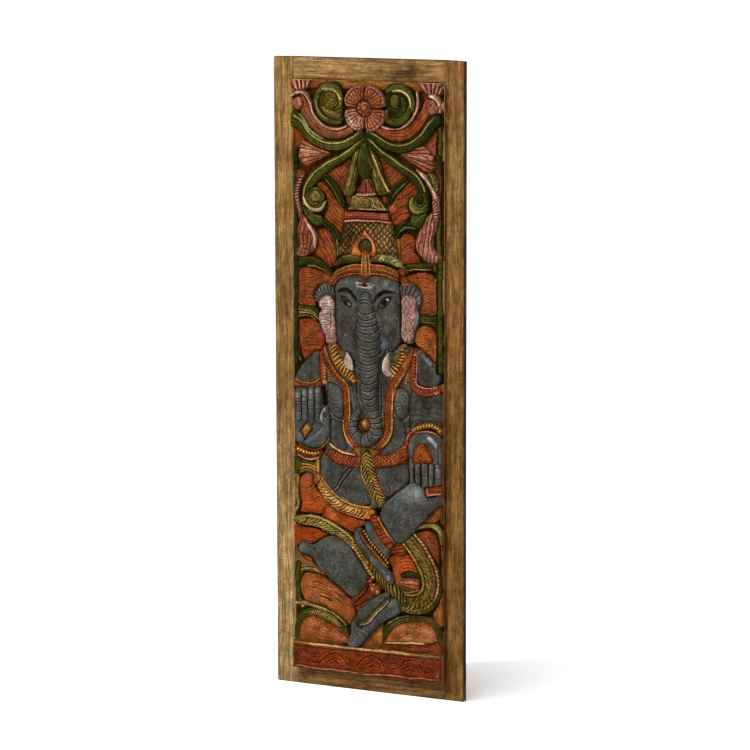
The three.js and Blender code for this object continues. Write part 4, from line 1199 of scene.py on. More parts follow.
def left_leaf(c):
    """The leaf and the folds at the left edge beside the belly."""
    c.area([(-114, -118), (-100, -122), (-84, -124), (-72, -120), (-72, -146), (-80, -150),
            (-92, -140), (-104, -142), (-114, -150)], 17, "olive", edge=1.2)
    c.area([(-114, -120), (-103, -124), (-104, -134), (-110, -144), (-115, -140)], 18.4, "green",
           dome=1.2, reach=4)
    c.tint((-108, -130), (5, 8), (86, 92, 24), 0.8)
    c.tint((-92, -126), (8, 3), (44, 38, 12), 0.8)
    c.band([(-102, -129), (-92, -129), (-82, -131), (-76, -135)], 1.6, 18.6, "olive", 1.4)
    c.band([(-104, -136), (-94, -133), (-84, -134), (-77, -139)], 1.8, 18.4, "ochre", 1.4)
    c.band([(-75, -121), (-75, -134), (-74, -146)], 3.2, 19.4, "gold", 2.0)
    c.tint((-76, -127), (4, 5), (164, 128, 66), 0.7)
    c.cut([(-98, -131.6), (-86, -131.6), (-78, -135)], 1.4, 1.2, 18.4, 0.8)
    c.area([(-101, -146), (-96, -142), (-89, -141), (-84, -145), (-83, -153), (-80, -160),
            (-76, -168), (-68, -174), (-61, -182), (-58, -190), (-63, -197), (-74, -200.5),
            (-95, -201), (-104, -200), (-103, -186), (-106, -168), (-106, -154)], 19, "saffron",
           dome=1.8, reach=9)
    c.hatch((-90, -178), (15, 22), 8, 50, (226, 120, 50), (90, 30, 10))
    c.tint((-95, -148), (9, 8), (170, 96, 78), 0.8)
    c.tint((-102, -165), (5, 18), (158, 92, 70), 0.7)
    c.tint((-84, -188), (14, 12), (164, 76, 26), 0.5)
    c.tint((-70, -186), (6, 6), (196, 122, 36), 0.7)
    for line in ([(-86, -184), (-79, -179), (-72, -174)], [(-83, -186), (-76, -181), (-70, -177)],
                 [(-96, -153), (-90, -153), (-86, -156)], [(-94, -165), (-86, -160), (-84, -152)],
                 [(-90, -168), (-83, -164), (-80, -158)], [(-68, -198), (-61, -191), (-58, -184)],
                 [(-72, -198), (-65, -192), (-61, -186)], [(-98, -188), (-88, -189), (-78, -187)]):
        c.cut(line, 1.4, 1.0, 19, 0.65)
    c.band([(-109, -150), (-110, -170), (-108, -188), (-112, -198)], [3, 3.4, 3, 2], 18, "tan", 1.4)
    c.tint((-114, -180), (4, 22), (120, 100, 52), 0.6)


def thigh_cloth(c):
    """The cloth over the thighs."""
    c.area([(-64, -186), (-52, -188), (-38, -195), (-22, -200), (-4, -204), (10, -204), (4, -208),
            (-6, -212), (-13, -218), (-19, -223), (-32, -218), (-46, -212), (-60, -207),
            (-70, -203), (-66, -196)], 20.6, "saffron", dome=2.0, reach=8)
    c.hatch((-34, -206), (28, 7), -14, 40, (232, 128, 56), (96, 34, 12))
    c.tint((-52, -199), (10, 6), (206, 116, 60), 0.7)
    c.tint((-24, -208), (12, 7), (150, 58, 20), 0.6)
    c.tint((-56, -192), (7, 3), (196, 150, 90), 0.6)
    for k in range(4):
        c.cut([(-44 + 3.4 * k, -199 - 1.6 * k), (-41 + 3.4 * k, -204 - 1.6 * k)], 1.2, 0.9, 20.6,
              0.6)
    for k in range(5):
        c.cut([(-20 + 3.6 * k, -206 - 0.4 * k), (-16 + 3.6 * k, -212 + 0.4 * k)], 1.2, 0.9, 20.6,
              0.6)
    c.cut([(-14, -203), (-4, -206), (6, -206)], 1.6, 1.2, 20.6, 0.6)


def vine_hem(c):
    """The feathered green and gold hem that sweeps from the left edge under the leg."""
    centre = [(-116, -212), (-100, -212), (-84, -212), (-70, -214), (-56, -218), (-42, -224),
              (-30, -231), (-19, -240), (-9, -251), (0, -264), (8, -278)]
    c.band(centre, [4.5, 6.4, 7, 7.2, 7.4, 7.8, 8, 7.6, 6.6, 5.6, 4.6], 21, "olive", 2.2)
    pale = (206, 180, 92)
    c.ticks(beside(centre[:9], -5.4), 6.6, [7, 10, 11, 11, 12, 12, 12, 11, 9], 1.1, pale, 2.0, 21,
            0.95, -0.3)
    c.notches(beside(centre[:9], -4.6), 6.6, [7, 10, 11, 11, 12, 12, 12, 11, 9], 1.3, 2.2, 1.6, 21,
              0.95, -0.3)
    c.dirt_and_shade((-14, -250), (14, 20), 0.4, -45)
    c.band([(-102, -207), (-88, -204.6), (-76, -205.6), (-62, -209.4), (-48, -215), (-36, -221),
            (-25, -228), (-16, -236)], 1.4, 22, "olive", 1.2)
    c.stroke([(-92, -204.5), (-78, -205.4), (-66, -208), (-52, -213), (-40, -218.6), (-28, -225.6)],
             1.9, (206, 186, 118), 22, 0.8)
    c.cut([(-96, -209.4), (-80, -209), (-64, -212.4), (-48, -219), (-34, -226), (-22, -236)], 1.4,
          1.2, 21.4, 0.8)
    c.beads([(-70, -222), (-60, -225), (-50, -229)], 1.7, 21, "tan", 4.6, 1.2)
    c.stroke([(-116, -219), (-102, -219.6), (-90, -220)], 1.6, (190, 130, 84), 20, 0.7)


def lower_left_orange(c):
    """The orange hem by the left knee."""
    c.area([(-116, -220), (-100, -221), (-84, -222), (-70, -226), (-60, -229), (-68, -234),
            (-77, -239), (-84, -244), (-94, -247), (-105, -247), (-116, -250)], 18.4, "saffron",
           dome=1.4, reach=7)
    c.hatch((-92, -233), (20, 8), 4, 40, (206, 104, 44), (80, 26, 10))
    c.tint((-98, -234), (14, 8), (160, 72, 24), 0.5)
    c.tint((-98, -223), (8, 3), (120, 50, 40), 0.6)
    for line in ([(-104, -243), (-98, -240.6), (-92, -243)],
                 [(-88, -236), (-80, -234), (-72, -231)], [(-90, -241), (-82, -239), (-75, -235)],
                 [(-84, -230), (-76, -228.6)]):
        c.cut(line, 1.5, 1.2, 18.4, 0.7)


def draw_waist(c):
    """What lies behind, between the knees and the belly."""
    left_leaf(c)
    lower_left_orange(c)


def draw_waist_front(c):
    """What lies in front, between the knees and the belly."""
    belly(c)
    belts(c)
    waistband(c)
    sash(c)
    thigh_cloth(c)
    vine_hem(c)


def body(c):
    """The shoulders, the arms and the chest."""
    # shoulders, chest and belly: the dark skin under everything else
    c.area([(-60, 46), (-40, 50), (0, 44), (40, 50), (62, 54), (76, 50), (88, 44), (84, 0),
            (76, -16), (74, -60), (70, -100), (68, -128), (66, -150), (44, -164), (20, -184),
            (-10, -186), (-34, -180), (-50, -170), (-64, -156), (-72, -146), (-72, -118),
            (-64, -104), (-60, -70), (-62, -20), (-70, 0), (-72, 30)], 19.5, "grey", dome=1.4,
           reach=14)
    # the darker patches down both sides of the trunk are painted shade
    c.tint((-14, -20), (14, 60), (66, 60, 48), 0.7)
    c.tint((30, 10), (12, 40), (60, 50, 38), 0.6)
    c.dirt_and_shade((-20, 0), (14, 50), 0.6)
    c.specks((-44, -70), (14, 24), 40)
    c.dirt_and_shade((32, 8), (14, 50), 0.6)
    # the left shoulder
    c.area([(-74, 38), (-82, 35), (-90, 28), (-98, 20), (-105, 11), (-111, 0), (-111, -6),
            (-100, -9), (-90, -10), (-80, -8), (-72, -2), (-70, 12), (-71, 26)], 21, "grey",
           dome=2.4, reach=11)
    c.tint((-92, 8), (12, 14), (80, 80, 66), 0.7)
    c.dirt_and_shade((-88, 8), (16, 16), 0.42)
    c.specks((-90, 8), (16, 16), 44)
    c.tint((-76, 4), (4, 14), (96, 74, 50), 0.6)
    # the right shoulder
    c.area([(83, 48), (91, 47), (99, 42), (107, 36), (114, 27), (119, 16), (120, 6), (117, 0),
            (108, -3), (98, -4), (90, -2), (84, 4), (83, 20), (83, 36)], 21.5, "grey", dome=2.6,
           reach=11)
    c.tint((97, 16), (11, 16), (70, 62, 48), 0.7)
    c.dirt_and_shade((99, 12), (14, 20), 0.5)
    c.specks((102, 16), (14, 22), 54)
    # painted highlights along the top and the outer edge of the shoulder
    c.stroke([(93, 41), (99, 36), (106, 29)], 3.6, (164, 160, 164), 21.5, 0.7, 1.5)
    c.stroke([(116, 24), (119, 14), (118, 4)], 2.6, (112, 112, 126), 21, 0.6, 1.2)
    c.stroke([(92, 0), (104, -1), (114, 1)], 3, (84, 112, 100), 21, 0.7, 1.2)
    # the right arm and flank
    c.area([(78, -10), (88, -16), (104, -14), (124, -8), (124, -64), (112, -58), (96, -57),
            (82, -62), (74, -70), (72, -40), (73, -20)], 19.5, "grey", dome=2.0, reach=12,
           texture=lines(9, 0.35, 6, 2))
    c.tint((104, -34), (18, 18), (92, 84, 68), 0.6)
    c.dirt_and_shade((100, -34), (26, 26), 0.62)
    c.specks((98, -40), (20, 22), 60)
    c.tint((76, -40), (4, 26), (54, 40, 26), 0.7)
    # breasts
    c.area([(48, -10), (56, -7), (66, -9), (71, -18), (71, -32), (68, -44), (60, -52), (52, -50),
            (48, -40), (46, -26)], 21.5, "grey", dome=2.6, reach=11)
    c.tint((58, -20), (9, 8), (136, 136, 134), 0.6)
    c.tint((56, -42), (8, 7), (112, 112, 110), 0.6)
    for line in ([(56, -20), (60, -17.4), (65, -18.6), (68, -22)],
                 [(60, -21), (63, -22), (66, -26)],
                 [(50, -40), (53, -35), (58, -33.6), (63, -36), (66, -42)],
                 [(54, -40), (57, -37), (61, -38), (63, -43)], [(50, -44), (53, -49), (58, -50)],
                 [(51, -27), (55, -29), (60, -28)]):
        c.cut(line, 1.5, 1.1, 21.5, 0.8)
    c.cut([(46, -50), (54, -54), (64, -52), (70, -46)], 2.4, 1.8, 20, 0.8)
    c.tint((56, -51), (4, 3), (122, 78, 70), 0.7)
    c.area([(-58, -8), (-46, -10), (-38, -14), (-33, -26), (-33, -46), (-36, -57), (-44, -57),
            (-52, -51), (-58, -42), (-59, -26)], 21, "grey", dome=2.2, reach=10)
    c.tint((-44, -18), (7, 10), (96, 116, 122), 0.6)
    c.tint((-42, -36), (8, 8), (102, 104, 100), 0.6)
    for line in ([(-50, -36), (-46, -33.5), (-42, -34)], [(-51, -41), (-46, -38), (-41, -39)],
                 [(-49, -45), (-44, -43), (-39, -45)], [(-46, -49), (-42, -48), (-38, -49)]):
        c.cut(line, 1.3, 0.9, 21, 0.6)
    c.cut([(-60, -20), (-60, -34), (-56, -44), (-49, -53), (-40, -59), (-33, -58)], 2.2, 1.6, 20,
          0.8)
    # flank
    c.area([(-54, -62), (-40, -62), (-34, -66), (-33, -86), (-28, -100), (-38, -106), (-50, -100),
            (-57, -86)], 20, "grey", dome=1.4, reach=10)
    c.tint((-42, -84), (10, 14), (86, 94, 82), 0.6)
    c.dirt_and_shade((-44, -82), (12, 18), 0.35)
    c.area([(48, -54), (62, -56), (66, -66), (66, -84), (58, -98), (44, -104), (24, -108),
            (32, -96), (42, -84), (46, -70)], 20, "grey", dome=1.4, reach=9)
    c.tint((54, -90), (8, 10), (104, 108, 112), 0.6)
    c.tint((52, -66), (8, 10), (96, 88, 74), 0.6)
    c.dirt_and_shade((54, -72), (14, 14), 0.45)
    for line in ([(58, -71), (62, -71.6), (66, -71)], [(58, -75), (62, -75.6), (66, -74.6)]):
        c.cut(line, 1.4, 1.1, 20, 0.8)
    # the narrow strip between strap and trunk
    c.band([(-22, -12), (-18, -30), (-15, -46)], [3, 4.5, 4], 20.5, "grey", 1.8)
    c.tint((-17, -34), (3, 14), (112, 102, 88), 0.5)
    c.cut([(-13, -4), (-12, -24), (-8, -40)], 2.6, 2.0, 20.5, 0.85)
    c.cut([(27, -4), (27, -28), (28, -46)], 2.6, 2.0, 20.5, 0.85)


def armlets(c):
    """The bands round the arms."""
    c.band([(-66, 36), (-66, 20), (-66, 6), (-66, -6)], 5.5, 21, "red", 1.6, "flat")
    c.beads([(-66, 34), (-65.5, 16), (-64, -2)], 2.3, 22.4, "copper", 4.3, 1.6)
    c.stroke([(-70.5, 30), (-70.5, 4)], 2.0, (150, 50, 30), 21, 0.6)
    c.stroke([(-63, 16), (-63, -4)], 2.2, (214, 160, 110), 22.4, 0.5)
    c.beads([(-57, 16), (-56.5, 6), (-56, -5)], 1.7, 20.5, "gold", 3.6, 1.2)
    c.stroke([(-57, 16), (-56.5, 6), (-56, -5)], 3.2, (84, 74, 30), 20.5, 0.5)
    c.boss((-65, -7), (5, 4), 22.4, "gold", 2.0)
    c.boss((-69, -10), (3, 2.4), 22, "gold", 1.4)
    c.band([(-114, -12), (-104, -14.5), (-92, -15), (-80, -13.6), (-71, -10)], 3.8, 21, "red", 1.6)
    c.beads([(-112, -12.4), (-100, -15), (-84, -14.4), (-72, -11)], 2.0, 22, "rust", 4.4, 1.3)
    c.band([(-112, -6.5), (-100, -9.6), (-88, -10), (-78, -7.4), (-72, -2)], 1.2, 21.6, "tan", 1.0)
    c.stroke([(-112, -18), (-100, -19.6), (-88, -20)], 2, (60, 26, 20), 20, 0.6)
    c.band([(80, 45), (80, 26), (79, 8), (79, -2), (84, -8), (94, -12), (106, -10.6), (116, -7),
            (125, -2)], [4.5, 5, 5, 5.2, 5.2, 5, 5, 4.6, 4.4], 21.4, "red", 1.8)
    c.beads([(80, 43), (80.5, 24), (79.5, 4)], 2.3, 22.8, "red", 4.6, 1.7)
    c.tint((80, 43), (5, 4), (176, 48, 30), 0.8)
    c.beads([(79, -1), (84, -7), (94, -10.6), (106, -9), (118, -4)], 2.3, 22.6, "red", 4.5, 1.6)
    c.tint((94, -10), (10, 5), (158, 44, 36), 0.8)
    c.tint((90, -14), (12, 3), (206, 112, 96), 0.6)
    c.boss((82, 41), 1.4, 23, "ivory", 1.0)
    c.band([(84.6, 44), (84.6, 26), (83, 8), (84, -1), (92, -5.6), (104, -5.6), (116, -2)], 1.0,
           21.6, "rose", 0.9)
    c.beads([(70, 14), (68, 6), (67, -2)], 2.0, 20.6, "gold", 4.0, 1.4)
    c.tint((68, 4), (5, 9), (92, 84, 38), 0.6)
    c.beads([(112, -13), (120, -9)], 1.8, 21, "gold", 3.6, 1.2)


def collar(c):
    """The collar of bars, and the ribbon that runs down beside it."""
    def bars(pitch):
        return ribs(pitch, 1.9, 0.15, 1.0)
    c.band([(-52, 46), (-48, 36), (-42, 25), (-35, 16), (-28, 9), (-20, 2)],
           [5, 6.4, 7.4, 7.6, 7, 4.6], 21.4, "gold", 1.4, "flat", texture=bars(5.3))
    c.dirt_and_shade((-40, 20), (10, 22), 0.2, 30)
    c.tint((-47, 40), (6, 6), (110, 116, 40), 0.7)
    c.tint((-30, 10), (9, 6), (122, 112, 52), 0.5)
    c.tint((-42, 24), (6, 5), (214, 170, 104), 0.4)
    c.area([(-43, 47), (-40, 47), (-39, 38), (-44, 40)], 21.6, "copper", edge=1)
    c.boss((-17, -3), (3.5, 3), 21.8, "gold", 1.8)
    c.boss((-25, -3), 1.8, 21.6, "umber", 1.2)
    c.band([(62, 50), (59, 38), (55, 28), (50, 20), (43, 12)], [4.5, 6, 7, 7.4, 7], 21.4, "gold",
           1.4, "flat", texture=bars(5.0))
    c.dirt_and_shade((54, 30), (9, 20), 0.25, -30)
    c.tint((54, 26), (9, 9), (124, 102, 40), 0.6)
    c.tint((44, 12), (4, 5), (222, 206, 150), 0.6)
    c.boss((61, 51), (3.5, 2.2), 21.4, "copper", 1.2)
    c.band([(58, 46), (56, 36), (50, 28), (42, 25)], 1.2, 22, "umber", 1.0)
    c.boss((68, 45), (4, 5), 20.5, "grey", 1.6)
    c.cut([(64, 42), (69, 44), (72, 41)], 1.6, 1.2, 21, 0.8)
    c.stroke([(-39, 39), (-35, 34), (-31, 28)], 1.6, (176, 166, 140), 21.4, 0.8)
    # the ribbon, left
    c.band([(-66, 45), (-61, 30), (-53, 15), (-44, 3), (-36, -4), (-31, -12), (-29, -25),
            (-28, -50), (-28, -70), (-25, -82), (-17, -92), (-7, -98), (4, -100)],
           [3, 4.4, 4.6, 4.8, 4.6, 4.6, 4.4, 4.2, 4.2, 4.4, 4.6, 5, 5], 21.6, "rust", 1.8,
           texture=ribs(5.5, 0.35, 0.4, 2))
    c.tint((-30, -18), (5, 10), (160, 44, 26), 0.85)
    c.tint((-28, -60), (4, 20), (150, 52, 24), 0.7)
    c.scratch((-29, -50), (3.5, 44), 88, (212, 112, 58), 30, 6.0, 0.35, 14)
    c.scratch((-30, -50), (3.5, 44), 88, (66, 18, 8), 34, 6.0, 0.5, 14)
    c.tint((-20, -89), (6, 6), (196, 108, 36), 0.6)
    c.stroke([(-64, 44), (-59, 30), (-52, 17), (-44, 6), (-36, -1)], 2.0, (218, 158, 98), 21.6,
             0.65)
    c.band([(-33, -2), (-26, -12), (-24, -30), (-23.5, -48), (-25, -66)], 1.1, 22, "gold", 1.0)
    c.stroke([(-25, -14), (-23.6, -30), (-23.4, -46)], 1.4, (224, 178, 120), 22, 0.8)
    c.band([(-33.5, -60), (-33, -74), (-29, -86), (-22, -96), (-16, -100)], 1.2, 22, "gold", 1.0)
    c.stroke([(-31, -82), (-26, -91), (-20, -97)], 1.8, (240, 200, 146), 22, 0.8)
    # the ribbon, right
    c.band([(77, 46), (70, 32), (62, 17), (54, 4), (46, -6), (42, -20), (40, -36), (39, -52),
            (39, -66), (36, -78), (30, -88), (20, -96), (8, -101)],
           [3.4, 5, 5.6, 5.8, 6, 6.4, 6.4, 6.2, 6, 5.8, 5.6, 5.4, 5.2], 21.8, "rust", 1.8)
    c.tint((42, -14), (8, 14), (160, 70, 22), 0.6)
    c.tint((40, -34), (6, 18), (140, 44, 20), 0.7)
    c.dirt_and_shade((41, -40), (6, 44), 0.18)
    c.scratch((41, -44), (4.5, 44), 88, (212, 112, 58), 34, 6.0, 0.35, 14)
    c.scratch((42, -44), (4.5, 44), 88, (66, 18, 8), 40, 6.0, 0.5, 14)
    c.tint((30, -87), (7, 5), (164, 44, 28), 0.8)
    c.tint((68, 26), (7, 9), (186, 98, 44), 0.6)
    for shift in (-2.6, 0, 2.6):
        c.cut([(74 + shift, 38), (66 + shift, 24), (58 + shift, 10)], 1.1, 0.8, 21.8, 0.5)
    c.beads([(38, -60), (37, -70), (33, -80), (26, -89), (16, -97)], 2.0, 22.8, "copper", 4.4, 1.2)
    c.beads([(40, -16), (37, -26), (41, -38), (38, -50)], 1.6, 22.6, "copper", 6, 0.9)
    c.stroke([(64, 14), (56, 2), (50, -6)], 1.8, (232, 174, 112), 21.8, 0.75)
    c.stroke([(66, 28), (62, 22)], 1.6, (222, 190, 120), 21.8, 0.7)
    c.band([(48, -8), (45.5, -22), (45, -40), (45, -58), (43, -74), (37, -86), (30, -94)], 1.2,
           21.6, "gold", 1.0)
    c.band([(30, -46), (30.5, -62), (29, -74)], 1.1, 21.4, "tan", 1.0)
    c.stroke([(42, -76), (38, -85), (32, -92)], 2.0, (222, 164, 104), 21.6, 0.7)
    c.cut([(48, -2), (47, -30), (46, -52)], 1.6, 1.4, 21, 0.8)


def raised_hand(c):
    """The hand on the left, held up with the palm out."""
    c.area([(-112, -20), (-112, -52), (-113, -76), (-112, -94), (-104, -99), (-95, -104),
            (-84, -105), (-72, -102), (-62, -94), (-56, -84), (-56, -66), (-60, -44), (-68, -40),
            (-70, -18), (-90, -16)], 20.5, "grey", dome=1.6, reach=9)
    fingers = [(-107, -26, -62), (-97, -23, -64), (-86.5, -19, -66), (-75.5, -19, -64)]
    for x, top, low in fingers:
        c.band([(x, top), (x, (top + low) / 2), (x, low)], [4.9, 5.2, 4.6], 22.2, "grey", 2.2)
    # a pale painted highlight at the top of each finger
    for x, z, wide in ((-107, -30.5, 3.0), (-98, -27, 3.0), (-87, -23, 3.6), (-77, -22, 4.4)):
        c.tint((x, z + 1), (4.6, 3.4), (176, 182, 184), 0.9)
        c.cut([(x - wide, z - 3), (x, z - 4), (x + wide, z - 3)], 1.4, 1.0, 22.2, 0.7)
    for x0, x1, z in ((-111, -93, -38), (-111, -93, -41.5), (-81, -72, -29), (-80, -70, -39.6),
                      (-80, -70, -42.8), (-90, -75, -46.8), (-90, -75, -49.4), (-109, -101, -52.6),
                      (-92, -82, -34)):
        c.cut([(x0, z), ((x0 + x1) / 2, z - 0.5), (x1, z)], 1.5, 1.0, 22, 0.7)
    c.tint((-82, -58), (8, 10), (88, 80, 64), 0.5)
    c.dirt_and_shade((-90, -50), (22, 14), 0.35)
    for x in (-102, -91.6, -81):
        c.cut([(x, -30), (x, -60)], 2.2, 1.4, 21.5, 0.9)
    # the paler strokes down the fingers are painted highlights
    for x, top in ((-108, -26), (-98, -24), (-87.5, -20), (-76.5, -20)):
        c.stroke([(x, top - 5), (x + 0.4, top - 14)], 2.6, (150, 154, 150), 22, 0.6)
        c.stroke([(x + 0.6, top - 18), (x + 0.8, top - 30)], 2.0, (124, 126, 120), 22, 0.5)
    # the mark on the palm
    c.area([(-94, -68), (-105, -79), (-97, -93), (-83, -76)], 20.0, "black", edge=0.8,
           closed_smooth=False)
    c.area([(-94, -70.5), (-102.5, -79.5), (-97, -90.5), (-86.5, -77)], 22, "gold", dome=1.0,
           reach=4, edge=0.8, closed_smooth=False)
    c.tint((-93, -73), (4, 4), (240, 214, 160), 0.7)
    c.tint((-101, -82), (3, 5), (150, 80, 40), 0.8)
    # thumb and heel of the hand
    c.area([(-65, -43), (-60, -43), (-57, -54), (-56, -68), (-57, -86), (-62, -95), (-73, -102),
            (-86, -104), (-96, -102), (-101, -97), (-92, -91), (-82, -84), (-75, -77), (-70, -71),
            (-72, -62), (-71, -52)], 22.6, "grey", dome=2.2, reach=8)
    # painted highlights on the thumb and the heel of the hand
    c.stroke([(-66, -46), (-70, -54), (-70.5, -64)], 4.4, (196, 204, 206), 22.6, 0.75, 1.6)
    c.stroke([(-72, -77), (-80, -85), (-92, -94)], 7, (132, 136, 146), 22.6, 0.6, 2.5)
    c.tint((-64, -80), (6, 14), (84, 88, 84), 0.6)
    c.cut([(-65, -51), (-66, -57), (-61, -59)], 1.6, 1.2, 22.6, 0.8)
    c.boss((-63, -55), (2.6, 3.6), 22.8, "umber", 1.0)
    c.cut([(-67, -70), (-70, -72), (-74, -78)], 1.4, 1.0, 22.6, 0.6)
    c.tint((-108, -88), (4, 7), (150, 152, 158), 0.6)
    # the bracelet
    c.band([(-106, -99), (-96, -105), (-85, -107.5), (-74, -105), (-64, -97), (-57, -88)], 1.7,
           21.6, "umber", 1.2)
    c.beads([(-70, -102.5), (-63, -96.5), (-57, -88.5)], 1.3, 22, "tan", 3.0, 1.0)
    c.area([(-114, -103), (-104, -104), (-92, -108), (-78, -108), (-70, -105), (-70, -115),
            (-80, -119), (-94, -119), (-106, -115), (-114, -110)], 20.4, "brick", dome=1.2, reach=4,
           texture=lattice(5.0, 1.2, 45, 2))
    c.beads([(-110, -107), (-98, -111), (-86, -112.5), (-74, -110)], 2.1, 21.6, "gold", 4.6, 1.3)
    c.tint((-94, -116), (14, 3), (104, 50, 24), 0.6)
    c.band([(-108, -116), (-98, -120.4), (-86, -121), (-75, -117.5)], 1.7, 21, "copper", 1.3)
    c.stroke([(-96, -121), (-86, -121.5), (-76, -118)], 1.6, (222, 178, 136), 21, 0.7)


def open_hand(c):
    """The hand on the right, hanging with the palm out."""
    c.area([(72, -78), (80, -72), (94, -68.5), (108, -69), (119, -74), (124, -82), (124, -145),
            (112, -147), (96, -144), (80, -141), (72, -138), (68, -122), (68, -100), (69, -86)], 21,
           "grey", dome=2.0, reach=10)
    c.tint((76, -90), (4, 10), (84, 108, 122), 0.7)
    # a bright painted highlight on the back of the hand
    c.stroke([(103, -77), (110, -82), (116, -89)], 4.6, (206, 210, 214), 21, 0.75, 1.8)
    c.cut([(110, -85), (113, -81), (117, -82)], 1.4, 1.0, 21, 0.8)
    c.cut([(110, -89), (113, -92)], 1.4, 1.0, 21, 0.6)
    c.band([(120, -90), (121, -108), (120, -122)], 3.4, 22, "grey", 1.6)
    c.tint((112, -96), (5, 8), (92, 104, 106), 0.6)
    c.dirt_and_shade((74, -120), (5, 16), 0.5)
    for x, top, low, half in ((75, -112, -142, 5.2), (84.5, -110, -143, 4.6), (97, -110, -144, 6.4),
                              (106, -112, -143, 4), (117.5, -118, -144, 5.4)):
        c.band([(x, top), (x + 0.5, (top + low) / 2), (x, low)], [half * 0.9, half, half * 0.9],
               22.2, "grey", 2.4)
    c.tint((97, -122), (6, 8), (112, 108, 92), 0.5)
    for x in (79.6, 90, 102.4, 111.4):
        c.cut([(x, -114), (x, -142)], 3.0, 1.8, 21.5, 0.95)
    # the paler strokes down the fingers are painted highlights
    for x in (83.6, 95.0, 106.0, 115.6):
        c.stroke([(x, -116), (x, -126)], 2.2, (138, 140, 134), 22, 0.6)
        c.stroke([(x, -130), (x, -139)], 2.0, (112, 112, 104), 22, 0.5)
    c.dirt_and_shade((92, -134), (26, 8), 0.4)
    # painted highlights on the first finger and on the last finger's tip
    c.stroke([(76, -119), (82, -118)], 2.6, (168, 162, 158), 22.2, 0.7)
    c.tint((117, -127), (4.6, 6), (146, 142, 156), 0.9)
    c.cut([(113, -120), (118, -119), (123, -120)], 1.6, 1.2, 22.2, 0.8)
    c.cut([(114, -133), (118, -134.5), (122, -133)], 1.2, 0.9, 22.2, 0.5)
    for z in (-126, -131):
        c.cut([(92, z), (97, z - 0.8), (102, z)], 1.1, 0.7, 22.2, 0.5)
    c.tint((116, -140), (6, 5), (84, 98, 98), 0.6)
    # the mark on the palm
    c.area([(81, -91), (86, -87), (94, -85), (99, -89), (103, -96), (107, -104), (109, -110),
            (103, -113.5), (94, -112), (88, -114), (79, -115), (77.5, -106), (79, -98)], 21.8,
           "rust", dome=1.2, reach=6)
    c.tint((92, -100), (12, 11), (150, 82, 20), 0.7)
    for line in ([(82, -102), (88, -96), (94, -91), (99, -96), (104, -105)],
                 [(84, -108), (89, -102), (94, -98)], [(97, -99), (100, -105), (103, -110)],
                 [(88, -112), (92, -107)], [(96, -88), (101, -95)]):
        c.cut(line, 1.3, 1.0, 21.8, 0.6)
    c.stroke([(84, -99), (90, -93)], 1.6, (206, 150, 70), 21.8, 0.6)
    c.stroke([(97, -99), (102, -107)], 1.6, (212, 150, 84), 21.8, 0.6)
    c.boss((91.5, -103.5), 1.4, 21.6, "plinth", 0.8)
    # the bracelet
    c.band([(76, -70), (84, -64), (94, -60), (106, -58.5), (116, -62), (123, -68)], 4.4, 20.6,
           "umber", 1.4)
    c.beads([(76, -69), (84, -63), (94, -59.5), (106, -58), (116, -61.5), (122, -67)], 2.7, 22.4,
            "gold", 4.8, 2.0)
    c.tint((80, -66), (6, 5), (70, 66, 40), 0.6)
    c.band([(82, -71), (90, -68.4), (100, -67.4), (110, -69.6), (120, -74)], 1.1, 22, "copper", 1.0)
    c.stroke([(92, -68), (104, -68), (112, -70.5)], 1.3, (226, 170, 136), 22, 0.8)
    c.band([(76, -70), (70, -78), (67, -88), (66, -96)], 3.0, 20.4, "brick", 1.8)
    c.stroke([(70, -75), (68, -80)], 2.6, (216, 176, 140), 20.4, 0.6)
    c.area([(70, -100), (66, -116), (67, -132), (73, -142), (74, -128), (72, -112)], 18.5, "umber",
           edge=1)


def draw_chest(c):
    """The body with its hands and collar, and what lies beside it."""
    body(c)
    armlets(c)
    collar(c)
    raised_hand(c)
    open_hand(c)


